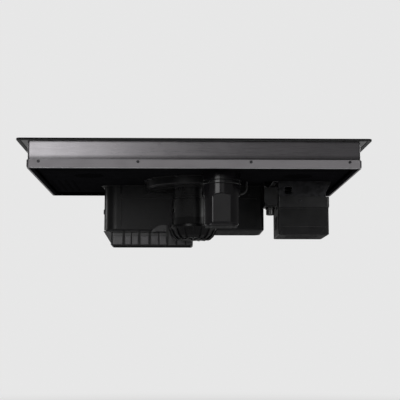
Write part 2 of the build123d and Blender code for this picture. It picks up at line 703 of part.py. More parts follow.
def screw_hole(x, y, z, facing, depth=SCREW_LENGTH):
    """The hole that a screw of that place goes through."""
    hole = disc(SCREW_SHANK_RADIUS + SCREW_HOLE_CLEARANCE, -depth - CUT, CUT)
    return Plane(origin=(x, y, z), z_dir=facing) * hole


def group(solids):
    """Several separate solids kept as one node."""
    return Compound(children=list(solids))


nodes = {}


def keep(name, shape):
    """Notes a finished node."""
    nodes[name] = shape


# ---------------------------------------------------------------- glass and pan


def tray_screw_places():
    """Where the tray is screwed to the frame: front, rear and sides."""
    edge = PAN_WIDTH / 2 - TRAY_SCREW_EDGE_INSET
    for x in (-edge, -TRAY_SCREW_INNER, TRAY_SCREW_INNER, edge):
        yield x, -PAN_DEPTH / 2, TRAY_SCREW_Z, (0, -1, 0)
        yield x, PAN_DEPTH / 2, TRAY_SCREW_Z, (0, 1, 0)
    for y in (-SIDE_SCREW_PITCH / 2, SIDE_SCREW_PITCH / 2):
        yield -PAN_WIDTH / 2, y, TRAY_SCREW_Z, (-1, 0, 0)
        yield PAN_WIDTH / 2, y, TRAY_SCREW_Z, (1, 0, 0)


def glass_top():
    plate = slab(
        GLASS_WIDTH, GLASS_DEPTH, GLASS_UNDERSIDE, GLASS_TOP, radius=GLASS_CORNER_RADIUS
    )
    plate -= slab(
        INTAKE_WIDTH, INTAKE_LENGTH, GLASS_UNDERSIDE - CUT, GLASS_TOP + CUT, radius=INTAKE_CORNER_RADIUS
    )
    return chamfer(plate.edges().group_by(Axis.Z)[-1], GLASS_BEVEL)


def rim_seal():
    width = GLASS_WIDTH - 2 * SEAL_INSET
    depth = GLASS_DEPTH - 2 * SEAL_INSET
    radius = GLASS_CORNER_RADIUS - SEAL_INSET
    return frame_ring(width, depth, radius, SEAL_WIDTH, 0, SEAL_THICKNESS)


def support_frame():
    walls = frame_ring(
        FRAME_WIDTH, FRAME_DEPTH, FRAME_CORNER_RADIUS, FRAME_SHEET, FRAME_BOTTOM, GLASS_UNDERSIDE
    )
    flange = frame_ring(
        FRAME_WIDTH,
        FRAME_DEPTH,
        FRAME_CORNER_RADIUS,
        FRAME_FLANGE,
        GLASS_UNDERSIDE - FRAME_SHEET,
        GLASS_UNDERSIDE,
    )
    groove_bottom = TRAY_WALL_TOP + FRAME_GROOVE_ABOVE_TRAY
    groove = frame_ring(
        FRAME_WIDTH + 2 * CUT,
        FRAME_DEPTH + 2 * CUT,
        FRAME_CORNER_RADIUS + CUT,
        CUT + FRAME_GROOVE_DEPTH,
        groove_bottom,
        groove_bottom + FRAME_GROOVE_HEIGHT,
    )
    shape = walls + flange - groove
    for place in tray_screw_places():
        shape -= screw_hole(*place)
    for side in (-1, 1):
        for y in clip_rows():
            shape -= clip_slot(side * FRAME_WIDTH / 2, y)
    return shape


def clip_slot(x, y):
    """The slot that takes a side clip's hook."""
    middle = CLIP_TOP - CLIP_HOOK_DROP
    return slab(4 * FRAME_SHEET, CLIP_WIDTH / 2, middle - CLIP_HOOK_ROOM, middle + CLIP_HOOK_ROOM, x, y)


def clip_rows():
    """The Y places of the side clips."""
    return (-CLIP_PITCH / 2, CLIP_PITCH / 2)


def vent_slots(side):
    """The slots in the tray's floor under one cooling fan."""
    rows = math.floor(COOLER_BORE / VENT_SLOT_PITCH)
    for row in range(-rows, rows + 1):
        y = row * VENT_SLOT_PITCH
        length = 2 * math.sqrt(COOLER_BORE**2 - y**2)
        slot = slab(
            length, VENT_SLOT_WIDTH, FLOOR_UNDER - CUT, FLOOR_TOP + CUT, radius=VENT_SLOT_ROUNDING
        )
        yield Pos(side * COOLER_X, COOLER_Y + y, 0) * slot


def volute_corners(inset):
    """The volute's corner points and arc centres, moved inwards by inset."""
    first = VOLUTE_START_RADIUS - inset
    second = first + VOLUTE_GROWTH
    third = second + VOLUTE_GROWTH
    centre_one = (0.0, BLOWER_AXIS_Y)
    centre_two = (-VOLUTE_GROWTH, BLOWER_AXIS_Y)
    centre_three = (-VOLUTE_GROWTH, BLOWER_AXIS_Y + VOLUTE_GROWTH)
    return (first, centre_one), (second, centre_two), (third, centre_three)


def volute_outline(inset):
    """The volute as a face: three quarter arcs that grow, then a straight duct to the rear."""
    (r1, c1), (r2, c2), (r3, c3) = volute_corners(inset)
    duct_x = VOLUTE_DUCT_INNER_X - inset
    end_y = VOLUTE_DUCT_END - inset
    tongue = (duct_x, c1[1] + math.sqrt(r1**2 - (duct_x - c1[0]) ** 2))
    half = math.sqrt(0.5)
    rear_start = Line((duct_x, end_y), tongue)
    arc_one = ThreePointArc(tongue, (c1[0] + r1 * half, c1[1] + r1 * half), (c1[0] + r1, c1[1]))
    arc_two = ThreePointArc(arc_one @ 1, (c2[0] + r2 * half, c2[1] - r2 * half), (c2[0], c2[1] - r2))
    arc_three = ThreePointArc(arc_two @ 1, (c3[0] - r3 * half, c3[1] - r3 * half), (c3[0] - r3, c3[1]))
    outer_wall = Line(arc_three @ 1, (c3[0] - r3, end_y))
    closing = Line(outer_wall @ 1, (duct_x, end_y))
    return make_face(rear_start + arc_one + arc_two + arc_three + outer_wall + closing)


def blower_pan_outline():
    """The round pan under the wheel, widened beside the volute's duct up to the plenum's front."""
    reach = VOLUTE_WALL + VOLUTE_CLEARANCE + BLOWER_WALL
    before_plenum = Pos(0, PLENUM_FRONT - PAN_DEPTH / 2) * Rectangle(PAN_WIDTH, PAN_DEPTH)
    return Pos(*EYE) * Circle(BLOWER_PAN_RADIUS) + (volute_outline(-reach) & before_plenum)


def blower_room_outline():
    """The hollow of the round pan, joined to the room that the volute's duct takes."""
    duct = volute_outline(-VOLUTE_WALL - VOLUTE_CLEARANCE)
    return Pos(*EYE) * Circle(BLOWER_PAN_RADIUS - BLOWER_WALL) + duct


def blower_screw_places():
    """Screws that hold the blower housing's flange to the tray."""
    left = PLENUM_LEFT - BLOWER_SCREW_OUT
    right = PLENUM_RIGHT + BLOWER_SCREW_OUT
    z = FLOOR_UNDER - BLOWER_FLANGE_THICKNESS
    for y in (PLENUM_FRONT + BLOWER_SCREW_INSET, PLENUM_FRONT + PLENUM_DEPTH - BLOWER_SCREW_INSET):
        yield left, y, z, (0, 0, -1)
        yield right, y, z, (0, 0, -1)
    ring = BLOWER_PAN_RADIUS + BLOWER_SCREW_OUT
    for angle in BLOWER_SCREW_ANGLES:
        turn = math.radians(angle)
        yield ring * math.cos(turn), BLOWER_AXIS_Y + ring * math.sin(turn), z, (0, 0, -1)


def tray_recess(bottom, top, grow=0.0):
    """The block of space that the tray's floor is set up into."""
    width = RECESS_WIDTH + 2 * grow
    return slab(width, RECESS_DEPTH + 2 * grow, bottom, top, radius=TRAY_RECESS_RADIUS + grow)


def base_tray():
    """The pan's lower half, a folded sheet whose floor stands higher than its rim."""
    wall = slab(PAN_WIDTH, PAN_DEPTH, TRAY_BOTTOM, TRAY_WALL_TOP, radius=PAN_CORNER_RADIUS)
    wall = fillet(wall.edges().group_by(Axis.Z)[0], TRAY_EDGE_RADIUS)
    wall -= slab(
        PAN_WIDTH - 2 * TRAY_SHEET,
        PAN_DEPTH - 2 * TRAY_SHEET,
        TRAY_BOTTOM + TRAY_SHEET,
        TRAY_WALL_TOP + CUT,
        radius=PAN_CORNER_RADIUS - TRAY_SHEET,
    )
    wall -= tray_recess(TRAY_BOTTOM - CUT, FLOOR_UNDER)
    floor = tray_recess(TRAY_BOTTOM, FLOOR_TOP, TRAY_SHEET) - tray_recess(TRAY_BOTTOM - CUT, FLOOR_UNDER)
    shape = wall + floor
    low = FLOOR_UNDER - CUT
    high = FLOOR_TOP + CUT
    duct = extrude(volute_outline(-VOLUTE_WALL - VOLUTE_ROOM), high - low)
    shape -= Pos(0, 0, low) * duct
    shape -= disc(BLOWER_PAN_RADIUS - BLOWER_WALL, low, high, *EYE)
    shape -= disc(SPOUT_RADIUS + SPOUT_ROOM, low, high, SPOUT_X, SPOUT_Y)
    shape -= disc(LEAD_RADIUS + LEAD_HOLE_CLEARANCE, low, high, LEAD_X, BLOWER_AXIS_Y)
    shape -= disc(GLAND_RADIUS, low, high, BOX_X, BOX_Y)
    for side in (-1, 1):
        for slot in vent_slots(side):
            shape -= slot
    screws = [*tray_screw_places(), *blower_screw_places(), *bracket_screw_places()]
    for place in screws:
        shape -= screw_hole(*place)
    return shape


def side_clip(side, y):
    """A bowed leaf of spring steel whose hook sits in a slot of the frame's side."""
    wall_x = FRAME_WIDTH / 2
    spine_x = wall_x + CLIP_SHEET / 2 + CLIP_GAP
    start = (spine_x, CLIP_TOP - CLIP_HOOK_DROP)
    end = (spine_x, CLIP_BOTTOM)
    middle = (wall_x + CLIP_BULGE, (CLIP_TOP + CLIP_BOTTOM) / 2)
    spine = ThreePointArc((start[0], 0, start[1]), (middle[0], 0, middle[1]), (end[0], 0, end[1]))
    hook = Line((wall_x - FRAME_SHEET - CLIP_HOOK_REACH, 0, start[1]), (start[0], 0, start[1]))
    leaf = thick_strip(spine, CLIP_SHEET) + thick_strip(hook, CLIP_SHEET)
    body = extrude(Plane.XZ * leaf, CLIP_WIDTH / 4, both=True)
    body = Pos(0, y, 0) * body
    return body if side > 0 else mirror(body, Plane.YZ)


def thick_strip(line, sheet):
    """A line in the XZ plane thickened into a flat strip, given back in the XY plane."""
    flat = Plane.XZ.to_local_coords(line)
    return trace(flat, sheet)


# ---------------------------------------------------------------- intake


def intake_collar():
    """The ledge under the glass that carries the grille and the filter."""
    return frame_ring(
        INTAKE_WIDTH + 2 * COLLAR_FLANGE,
        INTAKE_LENGTH + 2 * COLLAR_FLANGE,
        INTAKE_CORNER_RADIUS + COLLAR_FLANGE,
        COLLAR_FLANGE + COLLAR_LEDGE,
        COLLAR_BOTTOM,
        COLLAR_TOP,
    )


def intake_basin():
    shell = slab(BASIN_WIDTH, BASIN_LENGTH, BASIN_BOTTOM, COLLAR_BOTTOM, radius=BASIN_CORNER_RADIUS)
    shell -= slab(
        BASIN_WIDTH - 2 * BASIN_WALL,
        BASIN_LENGTH - 2 * BASIN_WALL,
        BASIN_FLOOR_TOP,
        COLLAR_BOTTOM + CUT,
        radius=BASIN_CORNER_RADIUS - BASIN_WALL,
    )
    shell -= disc(EYE_RADIUS - EYE_LIP, BASIN_BOTTOM - CUT, BASIN_FLOOR_TOP + CUT, *EYE)
    throat = EYE_RADIUS - EYE_LIP
    shell += tube(EYE_RADIUS, throat, BASIN_FLOOR_TOP, BASIN_FLOOR_TOP + EYE_LIP, *EYE)
    drain = SPOUT_RADIUS - SPOUT_WALL
    shell -= disc(drain, BASIN_BOTTOM - CUT, BASIN_FLOOR_TOP + CUT, SPOUT_X, SPOUT_Y)
    for x, y in filter_foot_places():
        shell += disc(FILTER_FOOT_RADIUS, BASIN_FLOOR_TOP, filter_bottom() - SEAT_GAP, x, y)
    return shell


def filter_bottom():
    """The cassette's lowest level."""
    return COLLAR_TOP - FILTER_HEIGHT


def filter_foot_places():
    """The four studs of the basin on which the cassette stands."""
    x = COLLAR_OPENING_WIDTH / 2 - FILTER_CLEARANCE - FILTER_SHELF / 2
    y = COLLAR_OPENING_LENGTH / 2 - FILTER_CLEARANCE - FILTER_FOOT_INSET
    return [(sx * x, sy * y) for sx in (-1, 1) for sy in (-1, 1)]


def drain_spout():
    top = BASIN_BOTTOM
    bottom = FLOOR_UNDER - SPOUT_DROP
    return tube(SPOUT_RADIUS, SPOUT_RADIUS - SPOUT_WALL, bottom, top, SPOUT_X, SPOUT_Y)


def intake_grille():
    width = INTAKE_WIDTH - 2 * GRILLE_CLEARANCE
    length = INTAKE_LENGTH - 2 * GRILLE_CLEARANCE
    radius = INTAKE_CORNER_RADIUS - GRILLE_CLEARANCE
    bottom = COLLAR_TOP
    top = bottom + GRILLE_HEIGHT
    rim = frame_ring(width, length, radius, GRILLE_FRAME, bottom, top)
    inner_width = width - 2 * GRILLE_FRAME
    inner_length = length - 2 * GRILLE_FRAME
    pitch = inner_width / (GRILLE_BAR_COUNT + 1)
    bars = rim
    for index in range(GRILLE_BAR_COUNT):
        x = -inner_width / 2 + (index + 1) * pitch
        bars += slab(GRILLE_BAR_WIDTH, inner_length + 2 * FUSE, bottom, top, x, 0)
    for index in range(GRILLE_BRIDGE_COUNT):
        y = -inner_length / 2 + (index + 1) * inner_length / (GRILLE_BRIDGE_COUNT + 1)
        bars += slab(inner_width + 2 * FUSE, GRILLE_BAR_WIDTH, bottom, top - GRILLE_BRIDGE_SINK, 0, y)
    return chamfer(bars.edges().group_by(Axis.Z)[-1], GRILLE_EDGE)


def filter_cassette():
    width = COLLAR_OPENING_WIDTH - 2 * FILTER_CLEARANCE
    length = COLLAR_OPENING_LENGTH - 2 * FILTER_CLEARANCE
    radius = COLLAR_OPENING_RADIUS - FILTER_CLEARANCE
    top = COLLAR_TOP - FILTER_TOP_GAP
    walls = frame_ring(width, length, radius, FILTER_WALL, filter_bottom(), top)
    shelf = frame_ring(
        width, length, radius, FILTER_SHELF, filter_bottom(), filter_bottom() + FILTER_WALL
    )
    return walls + shelf


def filter_mesh(side):
    """One tilted panel of metal mesh between the cassette's wall and its middle."""
    rim = FILTER_CLEARANCE + FILTER_WALL + MESH_GAP
    half = COLLAR_OPENING_WIDTH / 2 - rim
    length = COLLAR_OPENING_LENGTH - 2 * (rim + MESH_END_GAP)
    tilt = math.radians(MESH_TILT)
    start = MESH_MIDDLE_GAP + MESH_THICKNESS * math.sin(tilt)
    run = (half - start) / math.cos(tilt)
    panel = extrude(Rectangle(run, length), MESH_THICKNESS)
    panel = Rot(0, -MESH_TILT, 0) * (Pos(run / 2, 0, 0) * panel)
    low = filter_bottom() + FILTER_WALL + MESH_GAP
    panel = Pos(start, 0, low) * panel
    return panel if side > 0 else mirror(panel, Plane.YZ)


# ---------------------------------------------------------------- blower


def volute_cover():
    throat = EYE_RADIUS - EYE_LIP
    plate = extrude(volute_outline(-VOLUTE_WALL - VOLUTE_COVER_LAP), VOLUTE_COVER)
    plate = Pos(0, 0, VOLUTE_TOP) * plate
    plate -= disc(throat, VOLUTE_TOP - CUT, VOLUTE_TOP + VOLUTE_COVER + CUT, *EYE)
    lip_z = VOLUTE_TOP - WHEEL_GAP - MOUTH_OVERLAP
    mouth = turned(
        [
            (throat, VOLUTE_TOP + VOLUTE_COVER),
            (EYE_RADIUS + MOUTH_SEAT, VOLUTE_TOP + VOLUTE_COVER),
            (EYE_RADIUS + MOUTH_SEAT, VOLUTE_TOP),
            (throat - MOUTH_TAPER + MOUTH_WALL, lip_z),
            (throat - MOUTH_TAPER, lip_z),
            (throat, VOLUTE_TOP),
        ]
    )
    return plate + Pos(EYE[0], EYE[1], 0) * mouth


def volute_wall():
    outline = volute_outline(-VOLUTE_WALL) - volute_outline(0)
    return Pos(0, 0, BLOWER_FLOOR_TOP) * extrude(outline, VOLUTE_TOP - BLOWER_FLOOR_TOP)


def impeller():
    """A squirrel-cage wheel: back plate, hub, blades curved back, and a top ring."""
    plate = disc(WHEEL_RADIUS, WHEEL_BOTTOM, WHEEL_BOTTOM + WHEEL_PLATE)
    hub = disc(WHEEL_HUB_RADIUS, WHEEL_BOTTOM, WHEEL_BOTTOM + WHEEL_HUB_HEIGHT)
    ring = tube(WHEEL_RADIUS, WHEEL_RADIUS - BLADE_DEPTH / 2, WHEEL_TOP - WHEEL_PLATE, WHEEL_TOP)
    inner = WHEEL_RADIUS - BLADE_DEPTH
    strip = Circle(BLADE_CURVE_RADIUS + BLADE_THICKNESS) - Circle(BLADE_CURVE_RADIUS)
    strip = Pos((WHEEL_RADIUS + inner) / 2, BLADE_LEAN) * strip
    zone = Circle(WHEEL_RADIUS - BLADE_TIP_INSET) - Circle(inner)
    side = Pos(WHEEL_RADIUS - BLADE_DEPTH / 2, 0) * Rectangle(2 * BLADE_DEPTH, 2 * BLADE_LEAN)
    section = (strip & zone & side).faces().sort_by(Axis.Y)[0]
    blade = extrude(section, WHEEL_TOP - WHEEL_BOTTOM - WHEEL_PLATE)
    blade = Pos(0, 0, WHEEL_BOTTOM + WHEEL_PLATE / 2) * blade
    blades = [Rot(0, 0, index * 360 / BLADE_COUNT) * blade for index in range(BLADE_COUNT)]
    wheel = plate + hub + ring + blades
    wheel -= disc(SHAFT_RADIUS + PRESS_GAP, WHEEL_BOTTOM - CUT, WHEEL_BOTTOM + WHEEL_HUB_HEIGHT + CUT)
    return Pos(EYE[0], EYE[1], 0) * wheel


def plenum_outline(inset):
    """The plenum seen from above, its front left corner well rounded, moved inwards by inset."""
    width = PLENUM_WIDTH - 2 * inset
    depth = PLENUM_DEPTH - 2 * inset
    outline = Pos(PLENUM_X, PLENUM_Y) * Rectangle(width, depth)
    front_left = (PLENUM_LEFT, PLENUM_FRONT, 0)
    others = outline.vertices().sort_by_distance(front_left)[1:]
    outline = fillet(others, PLENUM_CORNER_RADIUS - inset)
    nearest = outline.vertices().sort_by_distance(front_left)[0]
    return fillet(nearest, PLENUM_FRONT_LEFT_RADIUS - inset)


def blower_housing():
    """Round pan under the wheel, one piece with the wide plenum behind it."""
    plenum = Pos(0, 0, PLENUM_BOTTOM) * extrude(plenum_outline(0), FLOOR_UNDER - PLENUM_BOTTOM)
    plenum = fillet(plenum.edges().group_by(Axis.Z)[0], PLENUM_EDGE_RADIUS)
    pan = Pos(0, 0, BLOWER_PAN_BOTTOM) * extrude(blower_pan_outline(), FLOOR_UNDER - BLOWER_PAN_BOTTOM)
    pan = fillet(pan.edges().group_by(Axis.Z)[0], BLOWER_PAN_EDGE_RADIUS)
    flange_z = FLOOR_UNDER - BLOWER_FLANGE_THICKNESS
    flange = slab(
        PLENUM_WIDTH + 2 * BLOWER_FLANGE,
        PLENUM_DEPTH + 2 * PLENUM_FLANGE_OUT,
        flange_z,
        FLOOR_UNDER,
        PLENUM_X,
        PLENUM_Y,
        PLENUM_CORNER_RADIUS,
    )
    flange += disc(BLOWER_PAN_RADIUS + BLOWER_FLANGE, flange_z, FLOOR_UNDER, *EYE)
    cavity = Pos(0, 0, PLENUM_FLOOR_TOP) * extrude(
        plenum_outline(PLENUM_WALL), FLOOR_UNDER - PLENUM_FLOOR_TOP + CUT
    )
    shelf = disc(BLOWER_PAN_RADIUS, BLOWER_PAN_BOTTOM, FLOOR_UNDER, *EYE)
    shape = plenum + seam_flange() + pan + flange - (cavity - shelf)
    room = Pos(0, 0, BLOWER_FLOOR_TOP) * extrude(
        blower_room_outline(), FLOOR_UNDER - BLOWER_FLOOR_TOP + CUT
    )
    shape -= room
    shape -= disc(MOTOR_MOUTH_RADIUS, BLOWER_PAN_BOTTOM - CUT, BLOWER_FLOOR_TOP + CUT, *EYE)
    shape -= slab(
        SPIGOT_BORE_WIDTH - 2 * SPIGOT_STOP,
        SPIGOT_BORE_DEPTH - 2 * SPIGOT_STOP,
        PLENUM_BOTTOM - CUT,
        PLENUM_FLOOR_TOP + CUT,
        SPIGOT_X,
        SPIGOT_Y,
        SPIGOT_STOP_RADIUS,
    )
    for low_x, high_x in sunk_panels():
        middle = (low_x + high_x) / 2
        shape -= slab(high_x - low_x, 2 * PANEL_SINK, PANEL_BOTTOM, PANEL_TOP, middle, PLENUM_FRONT)
    for x in GUSSET_PLACES:
        shape += gusset(x)
    for x, y, z, facing in blower_screw_places():
        shape += disc(BLOWER_FLANGE, flange_z, FLOOR_UNDER, x, y) - cavity - room
        shape -= screw_hole(x, y, z, facing)
    for x, y, z, facing in motor_screw_places():
        shape -= screw_hole(x, y, z, facing)
    shape -= disc(NECK_RADIUS + NECK_ROOM, flange_z - CUT, FLOOR_UNDER + CUT, TANK_X, TANK_Y)
    return shape + latch()


def seam_flange():
    """The upright flange on the plenum's left wall, where its front and rear shells meet."""
    width = SEAM_OUT + PLENUM_WALL
    return slab(
        width,
        SEAM_SHEET,
        PLENUM_BOTTOM + PLENUM_EDGE_RADIUS,
        FLOOR_UNDER,
        PLENUM_LEFT - SEAM_OUT + width / 2,
        PLENUM_FRONT + SEAM_BEHIND_FRONT,
    )


def latch():
    """The snap that holds the shells together, on the seam flange."""
    out = LATCH_OUT + FUSE
    x = PLENUM_LEFT + FUSE - out / 2
    body = Pos(x, PLENUM_FRONT + SEAM_BEHIND_FRONT, LATCH_Z) * Box(out, LATCH_DEPTH, LATCH_HEIGHT)
    return fillet(body.edges().filter_by(Axis.Y), LATCH_ROUNDING)


def sunk_panels():
    """The X spans of the panels sunk into the plenum's front."""
    left = (PLENUM_LEFT + PLENUM_FRONT_LEFT_RADIUS + PANEL_CORNER_GAP, -MOTOR_RADIUS)
    right = (MOTOR_RADIUS + PANEL_FRAME, PLENUM_RIGHT - PANEL_FRAME)
    return left, right


def gusset(x):
    """A rib between the plenum's front and the flange."""
    root = PLENUM_FRONT + FUSE
    top = FLOOR_UNDER - BLOWER_FLANGE_THICKNESS + FUSE
    corners = [(0, root, top), (0, PLENUM_FRONT - GUSSET_HEAD, top)]
    corners += [(0, PLENUM_FRONT - GUSSET_TOE, top - GUSSET_TOE_HEIGHT), (0, root, top - GUSSET_HEIGHT)]
    face = make_face(Polyline(*corners, close=True))
    return Pos(x - GUSSET_SHEET / 2, 0, 0) * extrude(face, GUSSET_SHEET, dir=(1, 0, 0))


def plenum_lining():
    """Sound-absorbing foam on the plenum's right-hand end."""
    inner_right = PLENUM_RIGHT - PLENUM_WALL
    low = PLENUM_FLOOR_TOP
    high = FLOOR_UNDER - LINING_TOP_GAP
    depth = PLENUM_DEPTH - 2 * PLENUM_WALL - 2 * PLENUM_CORNER_RADIUS
    end_left = inner_right - LINING_THICKNESS
    end = slab(LINING_THICKNESS, depth, low, high, inner_right - LINING_THICKNESS / 2, PLENUM_Y)
    floor_width = end_left + FUSE - LINING_FLOOR_LEFT
    floor_x = LINING_FLOOR_LEFT + floor_width / 2
    floor = slab(floor_width, depth, low, low + LINING_THICKNESS, floor_x, PLENUM_Y)
    return end + floor


# ---------------------------------------------------------------- outlet


def duct_spigot():
    flange = slab(
        SPIGOT_WIDTH + 2 * SPIGOT_FLANGE,
        SPIGOT_DEPTH + 2 * SPIGOT_FLANGE,
        SPIGOT_TUBE_TOP,
        SPIGOT_TOP,
        SPIGOT_X,
        SPIGOT_Y,
        SPIGOT_CORNER_RADIUS,
    )
    flange = chamfer(flange.edges().group_by(Axis.Z)[0], SPIGOT_FLANGE_CHAMFER)
    sleeve = frame_ring(
        SPIGOT_TUBE_WIDTH,
        SPIGOT_TUBE_DEPTH,
        SPIGOT_CORNER_RADIUS - SPIGOT_PAD,
        SPIGOT_WALL,
        SPIGOT_BOTTOM,
        SPIGOT_TUBE_TOP,
        SPIGOT_X,
        SPIGOT_Y,
    )
    shape = flange + spigot_pads() + sleeve + spigot_flare() + spigot_cheek()
    shape -= slab(
        SPIGOT_BORE_WIDTH - 2 * SPIGOT_STOP,
        SPIGOT_BORE_DEPTH - 2 * SPIGOT_STOP,
        SPIGOT_TUBE_TOP - CUT,
        SPIGOT_TOP + CUT,
        SPIGOT_X,
        SPIGOT_Y,
        SPIGOT_STOP_RADIUS,
    )
    reach = SPIGOT_BORE_WIDTH / 2 + SPIGOT_WALL
    return shape - pin_plane() * extrude(Circle(FLAP_PIN_RADIUS + PRESS_GAP), reach, both=True)


def spigot_pads():
    """The raised pads round the tube that the duct slides over."""
    bottom = SPIGOT_BOTTOM + SPIGOT_PAD_ENDS
    top = SPIGOT_TUBE_TOP - SPIGOT_PAD_ENDS
    wall = SPIGOT_PAD + FUSE
    pads = frame_ring(SPIGOT_WIDTH, SPIGOT_DEPTH, SPIGOT_CORNER_RADIUS, wall, bottom, top)
    for place in SPIGOT_GAP_PLACES:
        x = place - SPIGOT_WIDTH / 2
        pads -= slab(SPIGOT_PAD_GAP, 2 * SPIGOT_DEPTH, SPIGOT_BOTTOM, SPIGOT_TOP, x)
    pitch = SPIGOT_DEPTH / (SPIGOT_SIDE_GAPS + 1)
    for index in range(SPIGOT_SIDE_GAPS):
        y = (index + 1) * pitch - SPIGOT_DEPTH / 2
        pads -= slab(2 * SPIGOT_WIDTH, SPIGOT_PAD_GAP, SPIGOT_BOTTOM, SPIGOT_TOP, 0, y)
    return Pos(SPIGOT_X, SPIGOT_Y, 0) * pads


def spigot_flare():
    """The slanted wall from under the plenum's left end down to the tube's foot."""
    left = SPIGOT_LEFT - SPIGOT_FLARE_OUT
    foot = SPIGOT_TOP - SPIGOT_FLARE_HEIGHT
    inner = SPIGOT_LEFT + SPIGOT_PAD + FUSE
    corners = [(left, 0, SPIGOT_TOP), (left + SPIGOT_FLARE_BAND, 0, SPIGOT_TOP)]
    corners += [(inner, 0, foot + SPIGOT_FLARE_BAND), (inner, 0, foot), (SPIGOT_LEFT, 0, foot)]
    wall = extrude(make_face(Polyline(*corners, close=True)), SPIGOT_FLARE_DEPTH / 2, both=True)
    return Pos(0, PLENUM_FRONT + SEAM_BEHIND_FRONT, 0) * wall


def spigot_cheek():
    """The raised cheek in front of the tube's right half, lapping up over the plenum's front."""
    corners = [(CHEEK_LEFT, SPIGOT_TOP), (CHEEK_SHOULDER_LEFT, SPIGOT_TOP + CHEEK_RISE)]
    corners += [(CHEEK_SHOULDER_RIGHT, SPIGOT_TOP + CHEEK_RISE)]
    corners += [(CHEEK_WAIST_RIGHT, SPIGOT_TOP - CHEEK_RISE)]
    corners += [(CHEEK_RIGHT, SPIGOT_BOTTOM), (CHEEK_RIGHT - 4 * CHEEK_RIB, SPIGOT_BOTTOM)]
    corners += [(CHEEK_WAIST_RIGHT - 2 * CHEEK_RIB, SPIGOT_TOP - CHEEK_RISE)]
    corners += [(CHEEK_SHOULDER_RIGHT - CHEEK_RIB, SPIGOT_TOP - FUSE), (CHEEK_LEFT, SPIGOT_TOP - CHEEK_RIB)]
    outline = [(x, 0, z) for x, z in corners]
    plate = extrude(make_face(Polyline(*outline, close=True)), CHEEK_SHEET, dir=(0, -1, 0))
    plate = Pos(0, PLENUM_FRONT - SEAT_GAP, 0) * plate
    reach = SPIGOT_FRONT_INSET + SEAT_GAP + FUSE
    middle = (CHEEK_LEFT + CHEEK_SHOULDER_RIGHT) / 2
    web = slab(
        CHEEK_SHOULDER_RIGHT - CHEEK_LEFT,
        reach,
        SPIGOT_TUBE_TOP,
        SPIGOT_TOP,
        middle,
        PLENUM_FRONT - SEAT_GAP + reach / 2,
    )
    return plate + web


def pin_plane(x=SPIGOT_X):
    """The plane square to the flaps' pin at one X."""
    return Plane(origin=(x, SPIGOT_Y, FLAP_AXIS_Z), z_dir=(1, 0, 0))


def flap_pin():
    reach = SPIGOT_BORE_WIDTH / 2 + SPIGOT_WALL - FLAP_PIN_END_GAP
    return pin_plane() * extrude(Circle(FLAP_PIN_RADIUS), reach, both=True)


def outlet_flap(side):
    """One leaf of the non-return valve, with its two knuckles on the pin."""
    width = SPIGOT_BORE_WIDTH - 2 * FLAP_CLEARANCE
    low = FLAP_TOP - FLAP_THICKNESS
    near = FLAP_KNUCKLE_RADIUS + FLAP_KNUCKLE_GAP
    far = SPIGOT_BORE_DEPTH / 2 - FLAP_CLEARANCE
    leaf = slab(width, far - near, low, FLAP_TOP, SPIGOT_X, SPIGOT_Y + side * (near + far) / 2)
    pitch = width / FLAP_KNUCKLES
    length = pitch / 2
    tongue = near + FLAP_TONGUE_LAP
    knuckle = extrude(Circle(FLAP_KNUCKLE_RADIUS), length / 2, both=True)
    bore = extrude(Circle(FLAP_PIN_RADIUS + FLAP_PIN_CLEARANCE), length, both=True)
    first = 0 if side > 0 else 1
    for index in range(first, FLAP_KNUCKLES, 2):
        x = SPIGOT_X - width / 2 + (index + 0.5) * pitch
        leaf += pin_plane(x) * knuckle
        leaf += slab(length, tongue, low, FLAP_TOP, x, SPIGOT_Y + side * tongue / 2)
        leaf -= pin_plane(x) * bore
    return leaf


# ---------------------------------------------------------------- motor


def motor_screw_places():
    """Screws that hold the motor's top to the round pan, from inside the pan."""
    for angle in (45, 135, 225, 315):
        turn = math.radians(angle)
        x = MOTOR_SCREW_CIRCLE * math.cos(turn)
        yield x, BLOWER_AXIS_Y + MOTOR_SCREW_CIRCLE * math.sin(turn), BLOWER_FLOOR_TOP, (0, 0, 1)


